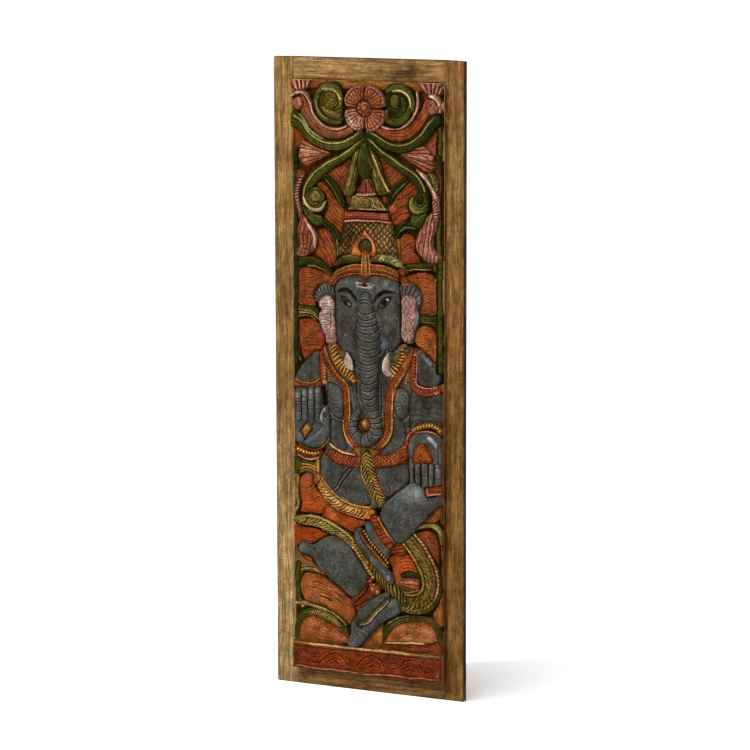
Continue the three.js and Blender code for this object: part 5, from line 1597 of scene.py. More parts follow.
def side_petals(c):
    """The framed orange petals that fill the panel on both sides of the head."""
    # green frames over the upper petals
    c.band([(-113, 161), (-100, 166), (-86, 166), (-72, 163), (-61, 156), (-53, 149)],
           [6, 7, 6, 5.5, 5, 4], 19, "deepgreen", 2.4)
    c.stroke([(-100, 170), (-86, 171), (-72, 168), (-60, 161)], 1.5, (98, 84, 36), 19, 0.6)
    c.cut([(-84, 163), (-74, 162), (-66, 158)], 1.4, 1.1, 19)
    c.band([(-90, 159.5), (-80, 159.5), (-70, 156.5), (-62, 152.5)], 1.1, 19, "tan", 1.0)
    c.band([(-110, 158), (-110, 146)], 5, 18.6, "green", 2)
    c.tint((-105, 158), (6, 8), (22, 62, 34), 0.8)
    c.band([(63, 160), (72, 166), (84, 167.5), (100, 167.5), (114, 166), (124, 162)],
           [4, 4.4, 4.6, 4.6, 5, 5], 19, "deepgreen", 2.4)
    c.band([(70, 159), (78, 162.5), (92, 163), (106, 163)], 1.0, 19.4, "olive", 0.9)
    c.cut([(70, 164), (82, 165), (98, 165), (112, 164)], 1.3, 1.0, 19)
    c.boss((67, 159), (4.5, 5), 19.6, "green", 2.2)
    c.band([(112, 166), (120, 156), (122, 142), (123, 122), (121, 104)], [4, 4.5, 4, 3.6, 4], 18.6,
           "green", 2.2)
    c.tint((98, 166), (15, 5), (40, 34, 12), 0.65)
    c.tint((119, 158), (5, 10), (24, 80, 52), 0.8)
    # the upper petals
    c.area([(-106, 152), (-96, 157), (-86, 157), (-74, 154), (-62, 150), (-52, 144), (-45, 136),
            (-46, 130), (-56, 134), (-66, 134), (-76, 129), (-80, 118), (-78, 108), (-80, 102),
            (-92, 101), (-102, 104), (-106, 114), (-107, 134)], 18, "rust", dome=1.8, reach=9)
    c.hatch((-92, 130), (11, 20), 4, 44)
    c.scratch((-84, 130), (22, 24), 60, (206, 140, 60), 30, 5.0, 0.45, 60)
    c.hatch((-66, 144), (12, 7), -20, 18)
    c.dirt_and_shade((-90, 124), (22, 28), 0.25)
    for line in ([(-98, 141), (-90, 142), (-84, 141)], [(-99, 137), (-92, 138.5), (-84, 137.5)],
                 [(-98, 129.5), (-90, 130), (-82, 129)], [(-93, 118), (-86, 118.8), (-80, 117.5)],
                 [(-98, 133), (-90, 133.6), (-83, 132.6)], [(-95, 124), (-88, 124.5), (-82, 123.5)],
                 [(-98, 149), (-86, 150), (-74, 147)], [(-98, 113), (-90, 113.5), (-84, 112.5)]):
        c.cut(line, 1.3, 1.0, 18, 0.6)
    c.tint((-70, 142), (8, 7), (150, 66, 50), 0.6)
    c.tint((-56, 141), (9, 5), (176, 104, 40), 0.7, -30)
    c.tint((-50, 134), (5, 4), (170, 128, 60), 0.7)
    c.band([(-107, 134), (-107.5, 116), (-104, 106), (-96, 101.5), (-82, 101)], 1.2, 18.5, "tan",
           1.2)
    c.area([(60, 150), (70, 153), (82, 157), (96, 159), (108, 156), (115, 148), (119, 134),
            (119.5, 118), (117, 107), (108, 101), (94, 99), (88, 98), (89, 108), (93, 120),
            (91, 130), (84, 138), (74, 143), (62, 144)], 18, "rust", dome=1.8, reach=9)
    c.tint((100, 130), (16, 24), (160, 84, 40), 0.7)
    c.hatch((102, 130), (12, 20), 2, 40)
    c.scratch((92, 118), (24, 30), 60, (214, 156, 70), 40, 5.0, 0.5, 60)
    for line in ([(97, 138), (102, 138.5), (108, 137)], [(95, 127), (100, 130), (108, 128)],
                 [(96, 123), (102, 126), (109, 123)], [(97, 119.5), (103, 122), (109, 119)],
                 [(98, 115), (104, 117), (109, 114.5)], [(84, 150), (94, 152), (104, 150)]):
        c.cut(line, 1.3, 1.0, 18, 0.6)
    c.tint((106, 118), (14, 14), (180, 100, 52), 0.35)
    c.tint((68, 148), (7, 4), (160, 60, 26), 0.6)
    c.tint((92, 138), (5, 4), (196, 92, 60), 0.5)
    c.stroke([(86, 157), (98, 157.5)], 1.8, (208, 150, 116), 18, 0.6)
    c.band([(113, 150), (117.5, 140)], 1.1, 18.6, "tan", 1.0)
    c.band([(93, 98.5), (106, 99.5), (116, 103)], 1.1, 18.6, "tan", 1.0)
    # the olive scrolls between the petals
    c.area([(-112, 102), (-95, 102), (-78, 100), (-72, 92), (-72, 82), (-84, 88), (-98, 90),
            (-110, 86)], 17, "green", edge=1.4)
    c.band([(-108, 97), (-96, 95.5), (-85, 94.5), (-77, 90)], 1.6, 18.2, "moss", 1.4)
    c.band([(-104, 92), (-92, 92), (-82, 90), (-74, 84)], 1.4, 18.0, "olive", 1.4)
    c.stroke([(-96, 95.5), (-86, 94.5), (-78, 90.5)], 1.2, (176, 160, 96), 18.2, 0.7)
    c.band([(-113, 80), (-105, 86), (-95, 88.5), (-86, 87), (-78, 82)], 2.0, 17.6, "umber", 1.6)
    c.area([(86, 98), (96, 99), (112, 99), (123, 102), (124, 84), (116, 82), (104, 85), (92, 86),
            (84, 88)], 17, "green", edge=1.4)
    c.band([(90, 92), (98, 94.5), (108, 94.5), (118, 97)], 1.5, 18.4, "green", 1.4)
    c.band([(94, 87.5), (104, 88.5), (114, 88)], 1.5, 18.2, "green", 1.4)
    c.stroke([(98, 94.5), (110, 94.8), (118, 97)], 1.2, (136, 124, 64), 18.4, 0.3)
    c.dirt_and_shade((104, 92), (22, 8), 0.45)
    c.cut([(106, 91), (114, 91), (121, 84)], 1.6, 1.2, 18)
    # the lower petals
    c.area([(-106, 78), (-99, 82), (-90, 83), (-81, 81), (-73, 76), (-67, 68), (-64, 58), (-64, 46),
            (-68, 38), (-74, 37), (-80, 36), (-86, 30), (-92, 25), (-99, 27), (-103, 40),
            (-106, 58)], 18, "rust", dome=1.8, reach=9)
    c.dirt_and_shade((-85, 56), (22, 28), 0.28)
    c.hatch((-85, 58), (15, 20), 2, 56)
    c.scratch((-84, 56), (18, 28), 60, (212, 136, 60), 26, 5.0, 0.45, 60)
    for line in ([(-96, 55), (-88, 56), (-80, 54)], [(-94, 50), (-86, 51), (-80, 50)],
                 [(-93, 45), (-84, 46), (-76, 45)], [(-97, 72), (-88, 71)],
                 [(-90, 64), (-82, 62), (-76, 58)], [(-96, 37), (-90, 37.5), (-84, 36)]):
        c.cut(line, 1.4, 1.1, 18, 0.7)
    c.tint((-70, 62), (6, 12), (164, 68, 48), 0.6)
    c.tint((-100, 62), (5, 16), (140, 60, 34), 0.5)
    c.tint((-84, 78), (10, 4), (170, 72, 44), 0.5)
    c.band([(-109, 60), (-109, 44), (-107, 30), (-103, 22)], [3.5, 4.5, 4.5, 2], 17.5, "green", 2)
    c.tint((-109, 44), (5, 15), (66, 58, 22), 0.5)
    c.area([(84, 80), (94, 83), (104, 82), (111, 77), (115, 66), (116, 50), (117, 38), (112, 32),
            (106, 38), (98, 45), (89, 51), (83, 56), (81, 64), (82, 72)], 18, "ochre", dome=1.8,
           reach=9)
    for line in ([(92, 63), (100, 64), (108, 62.5)], [(91, 60), (100, 61), (109, 59.5)],
                 [(92, 57), (100, 58), (110, 56.5)], [(93, 53), (102, 54), (110, 52)],
                 [(96, 70), (104, 70.5)], [(98, 48), (106, 49), (112, 46)]):
        c.cut(line, 1.2, 0.9, 18, 0.6)
    c.tint((88, 64), (5, 8), (196, 104, 66), 0.4)
    c.band([(118, 84), (120, 70), (120, 50), (119, 34), (118, 22)], [3.5, 4.2, 4.2, 4, 2.5], 17.5,
           "green", 2)
    c.stroke([(117, 74), (117, 56), (116.5, 40)], 1.5, (150, 140, 60), 17.5, 0.8)


def ears(c):
    """Both ears."""
    # the left ear: fluted grey top, pink inside with a wavy outer edge
    c.area([(-80, 112), (-79, 122), (-73, 130), (-65, 134), (-57, 134), (-49, 130), (-42, 122),
            (-38, 108), (-44, 112), (-52, 118), (-62, 118), (-70, 113), (-75, 108)], 21.5, "grey",
           dome=1.8, reach=7, texture=rays((-54, 102), 11, 0.9, 21, 1.5))
    c.tint((-74, 117), (5, 6), (100, 118, 110), 0.6)
    c.tint((-58, 128), (12, 5), (58, 62, 50), 0.5)
    c.area([(-72, 110), (-67, 116), (-58, 119), (-51, 114), (-48, 104), (-48, 92), (-48, 80),
            (-46, 68), (-44, 58), (-46, 51), (-56, 49), (-62, 51), (-62, 60), (-66, 66), (-69, 74),
            (-73, 82), (-72, 92), (-68, 97), (-71, 100), (-73, 105)], 20.5, "earpink", dome=1.4,
           reach=6, texture=lines(5.6, 0.35, 12, 3))
    c.hatch((-58, 84), (10, 26), 8, 44, (255, 240, 234), (120, 62, 50))
    c.hatch((-58, 84), (10, 26), 70, 24, (255, 240, 234), (120, 62, 50))
    for line in ([(-70, 82), (-63, 83), (-56, 82)], [(-64, 92), (-58, 91)],
                 [(-64, 65), (-58, 69), (-54, 73)], [(-67, 98), (-62, 98)], [(-62, 60), (-57, 64)],
                 [(-66, 76), (-58, 76)]):
        c.cut(line, 1.4, 1.2, 20.5, 0.6)
    c.cut([(-54, 94), (-53.5, 84), (-54, 72)], 2.0, 1.4, 20.5, 0.5)
    c.stroke([(-53.5, 93), (-53, 82), (-53, 72)], 1.6, (150, 70, 44), 20.5, 0.7)
    c.stroke([(-71, 104), (-66, 112), (-58, 115)], 4.5, (238, 212, 204), 20.5, 0.7, 1.5)
    c.stroke([(-71.5, 92), (-71.5, 84), (-67, 76), (-62, 68)], 3.2, (214, 196, 186), 20.5, 0.7, 1.2)
    c.tint((-50, 62), (6, 10), (176, 128, 84), 0.5)
    c.tint((-54, 80), (6, 20), (206, 140, 124), 0.5)
    # the right ear
    c.area([(57, 137), (63, 141), (72, 142), (80, 139), (87, 132), (91, 124), (91, 116), (87, 107),
            (88, 96), (84, 86), (80, 98), (84, 112), (80, 122), (70, 125), (60, 122), (57, 128)],
           21.5, "grey", dome=1.8, reach=7, texture=rays((62, 106), 13, 0.8, 21, 1.5))
    c.tint((70, 132), (14, 6), (64, 66, 50), 0.55)
    c.dirt_and_shade((62, 134), (5, 6), 0.5)
    c.tint((88, 118), (3, 8), (150, 150, 150), 0.6)
    c.area([(59, 120), (66, 126), (76, 126), (83, 120), (84, 110), (86, 98), (84, 86), (80, 78),
            (79, 68), (77, 60), (71, 57), (63, 60), (59, 70), (58, 90), (58, 108)], 20.5, "earpink",
           dome=1.6, reach=7, texture=both(lines(6.5, 0.3, 50, 3), lines(6, 0.25, -58, 3)))
    c.hatch((71, 92), (9, 28), 50, 40, (240, 208, 196), (132, 62, 52))
    c.hatch((71, 92), (9, 28), -55, 40, (236, 196, 184), (140, 70, 60))
    c.tint((67, 92), (6, 26), (188, 112, 96), 0.75)
    c.tint((76, 104), (6, 14), (206, 152, 150), 0.5)
    c.tint((66, 68), (6, 8), (190, 116, 84), 0.5)
    c.stroke([(60, 108), (60.5, 92), (60.5, 76)], 2.2, (236, 206, 190), 20.5, 0.75)
    c.band([(84, 106), (86, 97), (85, 88), (81, 79)], 2.4, 21.4, "grey", 1.8)
    c.stroke([(84, 98), (84, 90), (81, 82)], 2.0, (178, 168, 166), 21.4, 0.6)
    for line in ([(70, 76), (74, 70), (77, 66)], [(72, 90), (77, 84)],
                 [(70, 100), (76, 97), (80, 99)], [(72, 112), (78, 108)], [(66, 84), (68, 76)],
                 [(74, 92), (78, 90), (82, 92)]):
        c.cut(line, 1.5, 1.2, 20.5, 0.6)


def head(c):
    """The head with its eyes and the mark on its forehead."""
    c.area([(-48, 134), (-40, 144), (-26, 150), (-8, 152), (12, 152), (34, 151), (50, 146),
            (57, 132), (58, 112), (58, 90), (57, 62), (52, 50), (42, 42), (34, 46), (24, 30),
            (-16, 26), (-24, 38), (-34, 40), (-42, 48), (-46, 62), (-47, 90), (-47, 114)], 22.6,
           "grey", dome=3.5, reach=24, edge=1.6)
    c.swelling((-29, 84), (12, 26), 0.9)
    c.swelling((42, 86), (11, 17), 1.1)
    c.swelling((2, 138), (30, 10), 0.7)
    c.tint((40, 92), (8, 8), (122, 126, 112), 0.5)
    c.tint((42, 76), (9, 12), (92, 98, 86), 0.5)
    # these darker patches are painted shade: on the cheeks, down both sides of the face, beside the
    # trunk and under the crown's rim
    c.tint((-28, 88), (12, 24), (72, 68, 50), 0.7)
    c.tint((44, 58), (12, 9), (58, 52, 40), 0.7)
    c.dirt_and_shade((54, 110), (5, 30), 0.55)
    c.dirt_and_shade((-44, 92), (4, 30), 0.5)
    c.dirt_and_shade((-40, 60), (8, 14), 0.4)
    c.dirt_and_shade((22, 104), (5, 6), 0.45)
    c.dirt_and_shade((-32, 84), (10, 26), 0.42)
    c.dirt_and_shade((-18, 60), (8, 30), 0.45)
    c.dirt_and_shade((46, 62), (12, 18), 0.5)
    c.dirt_and_shade((30, 76), (8, 22), 0.4)
    c.dirt_and_shade((-12, 100), (5, 12), 0.35)
    c.dirt_and_shade((0, 146), (40, 4), 0.4)
    c.specks((-31, 82), (13, 36), 60)
    c.specks((42, 76), (12, 28), 60)
    c.specks((4, 138), (42, 10), 50)
    c.tint((18, 146), (6, 5), (150, 136, 106), 0.6)
    c.tint((35, 141), (6, 5), (158, 150, 112), 0.7)
    c.tint((27, 140), (7, 6), (92, 92, 58), 0.6)
    c.tint((0, 124), (16, 8), (84, 94, 98), 0.5)
    c.tint((-22, 140), (14, 8), (104, 112, 106), 0.6)
    c.tint((43, 132), (12, 6), (92, 102, 116), 0.6)
    c.cut([(56, 132), (57, 112), (56, 90), (57, 70)], 3.0, 1.2, 22.6, 0.3)
    c.cut([(-37, 68), (-34, 62), (-30, 58)], 2.2, 1.2, 22.6, 0.5)
    c.tint((-35, 54), (5, 8), (72, 88, 68), 0.7)
    c.tint((-22, 54), (5, 12), (88, 78, 84), 0.5)
    # brows
    c.band([(-41, 125.4), (-36, 127.6), (-28, 127.8), (-22, 125), (-17, 120.4), (-13, 116.4),
            (-11, 113)], [1.2, 2.5, 2.5, 2.2, 2.0, 1.8, 1.1], 23.2, "black", 0.9)
    c.stroke([(-41, 124.4), (-34, 126.6), (-26, 126), (-18, 120), (-12, 113)], 5.4, (26, 24, 20),
             23, 0.45, 1.6)
    c.stroke([(15, 112), (20, 118.6), (27, 124.6), (36, 127.6), (46, 127)], 5.0, (26, 24, 20), 23,
             0.4, 1.6)
    c.band([(15, 113), (18.5, 118), (24, 123.6), (31, 128), (38, 129), (44, 128.6), (50, 127.6)],
           [1.1, 2.0, 2.3, 2.1, 1.8, 1.3, 0.7], 23.2, "black", 0.9)
    # eyes
    c.area([(-37, 117), (-31, 116.5), (-25, 112.5), (-19, 105), (-23, 103.5), (-29, 105),
            (-34, 110)], 21.9, "eyelid", dome=1.0, reach=4, edge=0.8)
    c.dirt_and_shade((-35, 118), (6, 4), 0.6, -20)
    c.boss((-28, 110.8), (3.6, 4), 22.7, "black", 1.2)
    c.stroke([(-25.4, 109), (-23, 105.4)], 1.9, (214, 204, 196), 22.6, 0.9)
    c.stroke([(-32, 108), (-28.5, 105)], 1.2, (150, 126, 116), 22.4, 0.7)
    c.stroke([(-31, 115.4), (-27, 113.6)], 1.2, (176, 160, 150), 22.6, 0.7)
    c.cut([(-38, 118.6), (-31, 118), (-25, 114.6), (-19, 107.6)], 1.5, 1.0, 23, 0.85)
    c.stroke([(-35, 121), (-28, 120.6), (-22, 117)], 1.1, (124, 128, 122), 23, 0.5)
    c.cut([(-35, 112), (-30, 104.6), (-22, 102.4)], 1.4, 0.8, 22.8, 0.7)
    c.dirt_and_shade((-24, 102), (8, 3.5), 0.4, -20)
    c.dirt_and_shade((-31, 112), (5, 4), 0.4, -30)
    c.dirt_and_shade((-18, 110), (4, 5), 0.35)
    c.dirt_and_shade((25, 110), (3, 6), 0.35, 40)
    c.area([(23, 106), (26, 111.5), (31, 117), (37, 120.6), (44, 121), (41.5, 115), (37, 109.5),
            (30, 105.4)], 21.9, "eyelid", dome=1.0, reach=4, edge=0.8)
    c.boss((33, 113.8), (4.4, 4.2), 22.7, "black", 1.2, 40)
    c.stroke([(36.6, 117.8), (38.2, 116)], 2.4, (240, 238, 232), 22.7, 0.95)
    c.stroke([(30.2, 116.4), (32, 117.8)], 1.1, (186, 182, 172), 22.6, 0.7)
    c.stroke([(37, 112.6), (38.8, 111.6)], 1.5, (150, 112, 108), 22.6, 0.8)
    c.cut([(22, 106.4), (26, 112.6), (32, 119), (38, 121.8), (45, 122)], 1.5, 1.0, 23, 0.85)
    c.stroke([(24, 115), (29, 121), (35, 124)], 1.1, (132, 136, 128), 23, 0.5)
    c.cut([(24, 104.4), (30, 104), (37, 107.6), (42, 113)], 1.5, 0.9, 22.8, 0.8)
    c.stroke([(28, 106.2), (34, 107.4)], 1.5, (92, 52, 46), 22.6, 0.7)
    c.dirt_and_shade((30, 103), (8, 3.5), 0.6, 15)
    c.dirt_and_shade((47, 122), (6, 4), 0.45, 20)
    # the mark on the forehead
    for line in ([(-12.6, 139.6), (-8, 138.8), (-3, 139.2)],
                 [(-12, 138.6), (-10, 134.6), (-3, 133.4)], [(-3, 133.4), (5, 133), (13, 133.6)],
                 [(5, 139), (9, 138.6)], [(6, 136.2), (12, 136), (16, 137.2)]):
        c.band(line, 0.75, 23.3, "ivory", 0.5)
    c.tint((11, 136), (7, 3), (140, 132, 120), 0.5)
    c.stroke([(-10, 141.8), (0, 142.2), (9, 141.8)], 1.4, (24, 18, 16), 23, 0.9)
    c.stroke([(-10, 137), (-2, 136.6)], 1.3, (30, 22, 20), 23, 0.8)
    c.stroke([(4, 137.6), (12, 137.4)], 1.1, (30, 22, 20), 23, 0.8)
    c.stroke([(-2, 130.8), (7, 130.8)], 1.3, (22, 18, 16), 23, 0.85)
    c.boss((1, 136.6), (3.8, 2.7), 23.6, "plinth", 0.9)
    c.stroke([(-1.5, 136.6), (3.5, 136.6)], 3.4, (62, 14, 14), 23.6, 0.85)


def trunk(c):
    """The trunk with its rings."""
    path = [(2, 118), (2, 104), (3, 88), (4, 60), (4.5, 30), (5.5, 0), (7.5, -28), (13, -50),
            (18, -66), (14, -80), (2, -88), (-12, -84), (-20, -70), (-17, -56), (-10, -47)]
    half = [9, 13, 17.5, 21.5, 20, 17.5, 15, 12.5, 10.5, 9.6, 9.4, 9, 8, 6, 4]
    c.band(path, half, 25, "grey", 3.4)
    c.tint((2, 110), (12, 8), (84, 90, 86), 0.5)
    c.tint((4, 60), (14, 40), (88, 88, 82), 0.35)
    c.dirt_and_shade((5, 30), (26, 74), 0.2)
    c.specks((5, 30), (14, 80), 90)
    # the darker strips down both sides of the trunk are painted shade
    for side in (-1, 1):
        c.dirt_and_shade((4 + 17 * side, 50), (6, 44), 0.5)
        c.dirt_and_shade((6 + 14 * side, -10), (4, 34), 0.4)
    c.dirt_and_shade((10, -50), (14, 16), 0.25)
    # folds: curved cuts across the trunk, most of them bowed downwards
    folds = [
        [(-9, 111), (-4, 114.4), (2, 115), (8, 114), (12, 111)],
        [(-7, 108.6), (1, 111), (9, 108.8)],
        [(-10, 99.5), (-5, 96), (2, 94.8), (9, 96), (15, 99)],
        [(-11, 92.5), (-5, 87.4), (3, 86), (10, 87.4), (17, 91)],
        [(-14, 84), (-8, 79), (0, 76.8), (8, 77.6), (15, 79.5), (22, 85)],
        [(-15, 76), (-9, 70), (0, 66.6), (8, 66.2), (16, 68.6), (24, 77)],
        [(-15, 65), (-9, 59.6), (-2, 55.2), (2, 55.6), (10, 54.4), (18, 57.6), (27, 68)],
        [(-18, 55), (-12, 48.4), (-4, 44), (4, 42.8), (12, 43.8), (20, 47.4), (28, 56)],
        [(-18, 44), (-12, 38.4), (-4, 34), (4, 32.8), (12, 33.8), (19, 36.6), (26, 42)],
        [(-15, 30), (-8, 24.4), (0, 22), (8, 22), (15, 24), (22, 28.6)],
        [(-15, 18.4), (-8, 14.6), (0, 12.8), (8, 13.4), (15, 16), (21, 20)],
        [(-12, 9), (-5, 4.6), (3, 2.8), (10, 4), (18, 9)],
        [(-11, 0), (-5, -4.8), (3, -6.8), (10, -5.8), (18, -1)],
        [(-10, -10), (-4, -14.6), (4, -17), (11, -15.4), (18, -11)],
        [(-10, -20), (-3, -25.6), (5, -27.6), (12, -26.4), (18, -22)],
        [(-8, -31), (-1, -35.6), (6, -37.4), (13, -36), (19, -31.6)],
        [(-3, -42), (5, -45.4), (12, -45.4), (20, -41.6)],
        [(0, -51), (9, -54.6), (17, -54), (24, -50)],
        [(6, -60), (14, -62), (22, -61), (28, -57)],
        [(8, -66), (16, -70), (28, -68)],
        [(8, -72), (14, -78), (24, -78)],
        [(4, -76), (6, -84), (12, -92)],
        [(-4, -77), (-6, -86), (-6, -96)],
        [(-10, -73), (-17, -79), (-22, -84)],
        [(-12, -68), (-20, -69), (-28, -70)],
        [(-11, -61), (-18, -60), (-24, -57)],
    ]
    for line in folds:
        c.cut(line, 2.3, 1.7, 25, 0.85)
    for line in folds[2:18]:
        c.cut([(x, z - 4.6) for x, z in line[1:-1]], 1.0, 0.35, 25, 0.12)
    # light catches along the folds
    for line in folds[9:16]:
        c.stroke([(x, z - 1.8) for x, z in line[1:-1]], 1.2, (126, 130, 126), 25, 0.35)
    c.tint((20, 46), (8, 4), (110, 80, 72), 0.35)
    # a pale blue painted highlight down the right side of the trunk
    c.stroke([(26, 62), (30, 52), (33, 44)], 4.5, (128, 148, 164), 24, 0.55, 2.0)
    c.tint((30, 50), (5, 12), (112, 130, 146), 0.6)
    c.tint((4, -1), (3, 5), (78, 108, 82), 0.5)
    # the sweet held in the curl
    c.boss((-1, -66), (9.8, 10.5), 20.6, "umber", 1.2)
    c.cut(curl((-1, -65), 9.6, 9.8, 0, 350), 2.2, 1.6, 21, 0.95)
    c.boss((2, -64), 7.6, 24.4, "ochre", 4.2)
    # a painted highlight on its top and painted shade below it
    c.tint((0, -61.5), (4, 3.5), (244, 196, 116), 0.9)
    c.tint((5, -69), (4, 3), (96, 46, 16), 0.7)
    for line in ([(-22, -57), (-17, -55), (-13, -50)], [(-23, -63), (-17, -61), (-12, -58)],
                 [(-14, -72), (-11, -70)]):
        c.cut(line, 1.2, 0.9, 23, 0.6)


def tusks(c):
    """Both tusks."""
    c.area([(-28, 38), (-32, 28), (-33, 20), (-28, 15), (-20, 13), (-18, 18), (-20, 28), (-23, 35)],
           23.4, "ivory", dome=1.6, reach=5)
    c.stroke([(-28, 40), (-22, 33), (-18, 24), (-16.5, 12), (-15, 2)], 2.2, (30, 20, 16), 23, 0.8)
    c.cut([(-27, 40), (-20.5, 31), (-17.5, 20), (-16, 8)], 2.2, 1.6, 23, 0.8)
    c.area([(37, 41), (40, 30), (40, 18), (44, 11), (38, 7), (31, 11), (28, 20), (30, 30)], 23.4,
           "ivory", dome=1.6, reach=5)
    c.cut([(38, 43), (31, 34), (27, 24), (27, 12), (28, 4)], 2.4, 1.8, 23, 0.85)
    c.tint((41, 10), (4, 4), (186, 170, 120), 0.6)


def draw_face(c):
    """The petals on both sides, the ears and the head."""
    side_petals(c)
    ears(c)
    head(c)


def draw_face_front(c):
    """What lies in front of the face."""
    trunk(c)
    tusks(c)


def crown_leaves(c):
    """The orange leaves on both sides of the crown's lattice."""
    c.area([(-72, 212), (-60, 214), (-52, 204), (-46, 192), (-44, 178), (-46, 166), (-53, 158),
            (-60, 164), (-69, 171), (-78, 177), (-78, 190), (-74, 203)], 18.5, "rust", dome=1.6,
           reach=9, texture=lines(7.5, 0.6, -62, 3))
    c.hatch((-60, 188), (12, 20), 120, 44)
    c.cut([(-68, 188), (-62, 184), (-56, 178)], 1.3, 1.0, 18.5, 0.7)
    c.cut([(-70, 183), (-64, 178), (-58, 174)], 1.3, 1.0, 18.5, 0.7)
    c.cut([(-62, 198), (-58, 191), (-55, 185)], 1.3, 1.0, 18.5, 0.6)
    c.tint((-48, 182), (5, 12), (150, 110, 40), 0.6)
    c.band([(-43, 200), (-42, 188), (-41.5, 178)], 2.0, 17.5, "olive", 1.2)
    c.area([(66, 212), (80, 207), (82, 196), (80, 187), (87, 179), (88, 171), (78, 170), (66, 169),
            (60, 168), (54, 178), (55, 192), (57, 204)], 18.5, "rust", dome=1.6, reach=9)
    c.hatch((70, 188), (12, 15), 15, 34)
    c.cut([(60, 190), (68, 195), (78, 202)], 1.8, 1.4, 18.5)
    c.cut([(60, 188), (70, 191), (80, 195)], 1.4, 1.0, 18.5)
    c.cut([(70, 183), (76, 186), (82, 186)], 1.3, 1.0, 18.5, 0.6)
    c.cut([(64, 200), (72, 205)], 1.3, 0.8, 18.5, 0.6)
    c.area([(51, 204), (57, 204), (59, 190), (58, 172), (51, 178), (50, 192)], 18, "ochre", dome=1,
           reach=4)
    c.tint((55, 192), (4, 14), (178, 138, 50), 0.8)


def crown_tower(c):
    """The tall middle of the crown."""
    # the lattice body
    c.area([(-31, 228), (45, 228), (46, 214), (49, 203), (53, 190), (54, 178), (30, 178),
            (-20, 176), (-43, 178), (-41, 192), (-35, 208), (-32, 218)], 21, "lattice", dome=2.5,
           reach=22, closed_smooth=False, texture=lattice(6.6, 1.5, 48, 3))
    c.tint((33, 204), (14, 18), (142, 116, 66), 0.55)
    c.tint((-24, 206), (13, 26), (36, 24, 12), 0.7)
    c.dirt_and_shade((-26, 200), (14, 30), 0.78)
    c.band([(-30, 226.5), (-8, 228), (20, 228.5), (44, 226.5)], 1.7, 22.4, "rose", 1.4)
    c.tint((-20, 227), (12, 3), (110, 74, 60), 0.6)
    # the beaded red band
    c.band([(-32, 234.5), (0, 235.5), (46, 234)], 5.2, 21.4, "red", 1.4, "flat")
    c.beads([(-29, 235), (0, 236), (43, 234.5)], 2.0, 23.0, "copper", 3.7, 1.4)
    c.tint((30, 234.5), (16, 4), (206, 130, 92), 0.5)
    c.cut([(-32, 239.6), (0, 240.6), (46, 239.2)], 1.2, 1.0, 21)
    c.cut([(-31, 230), (0, 231), (46, 229.6)], 1.3, 1.2, 21.5)
    # the olive swirls above it
    c.area([(-26, 260), (-22, 248), (-25, 243), (10, 243), (35, 243), (33, 250), (27, 256),
            (20, 262), (4, 264), (-14, 263)], 20.5, "olive", dome=2.2, reach=10)
    c.tint((0, 255), (14, 8), (104, 104, 34), 0.6)
    c.tint((-20, 249), (6, 4), (40, 66, 50), 0.9)
    c.boss((5, 252), (5.5, 6), 23, "olive", 2.4)
    c.cut([(-1, 259), (8, 259), (13, 253), (12, 247), (6, 245)], 1.6, 1.6, 22)
    for shift in (0, 6.5, 13):
        c.band([(8 + shift, 260 - 0.15 * shift), (15 + shift, 256 - 0.3 * shift),
                (17 + shift, 250 - 0.1 * shift), (23 + 0.75 * shift, 245.5)], [0.9, 1.5, 1.6, 1.3],
               22.4, "olive", 1.3)
    c.stroke([(10, 246), (14, 250), (12, 256)], 2.4, (226, 220, 140), 22.4, 0.6)
    c.stroke([(22, 245), (34, 245)], 2.2, (238, 230, 170), 22.4, 0.8)
    c.band([(-9, 244.3), (8, 244.3), (20, 244.3)], 1.3, 22.6, "olive", 1.2)
    c.cut([(-18, 259), (-10, 255), (-6, 249)], 1.3, 1.0, 21)
    c.cut([(-12, 262), (-4, 258)], 1.3, 1.0, 21)
    # the cone on top
    c.area([(4, 293), (9, 287), (14, 277), (19, 268), (-10, 268), (-6, 278), (-1, 287)], 22, "red",
           dome=2, reach=9, texture=rays((4, 312), 7.0, 1.3, 22, 2))
    c.stroke([(4, 288), (7, 278), (8, 270)], 2.2, (236, 166, 126), 22, 0.8)
    c.stroke([(0, 286), (-1, 278), (-1, 270)], 1.6, (214, 130, 96), 22, 0.7)
    c.band([(11, 285), (15, 277), (20, 270)], 1.1, 21.5, "tan", 1.0)
    c.band([(-11, 264.5), (4, 264.8), (19, 267)], [1.6, 2.1, 2.3], 22.4, "rose", 1.5)
    c.cut([(-11, 262), (4, 262), (19, 263.6)], 1.4, 1.4, 21.5)


def crown_jewel(c):
    """The flame-shaped jewel on the front of the crown."""
    c.area([(1, 215), (6, 208), (13, 203), (18, 196), (20, 188), (18, 179), (8, 178), (-8, 178),
            (-20, 178), (-19, 186), (-15, 193), (-9, 201), (-3, 208)], 23, "rust", dome=1.4,
           reach=5, edge=1.4)
    c.tint((15, 190), (6, 16), (244, 150, 84), 0.9, 20)
    c.tint((-13, 190), (7, 12), (224, 116, 66), 0.9, -20)
    c.tint((-10, 183), (14, 5), (226, 164, 76), 0.8)
    c.stroke([(1, 211), (8, 204), (15, 196), (17, 186)], 2.0, (252, 186, 110), 23, 0.8)
    c.stroke([(0, 211), (-7, 202), (-14, 194), (-17, 186)], 1.8, (244, 160, 92), 23, 0.8)
    c.cut([(1, 206), (9, 201), (13, 193), (13, 182)], 1.4, 1.2, 23, 0.6)
    c.cut([(-3, 204), (-9, 198), (-13, 190)], 1.4, 1.2, 23, 0.6)
    c.boss((2, 191), (10, 11), 23.6, "green", 3)
    c.tint((1, 191), (8, 9), (52, 82, 26), 0.9)
    c.cut(curl((2, 191), 10.5, 11, -10, 350), 1.5, 1.3, 23, 0.8)


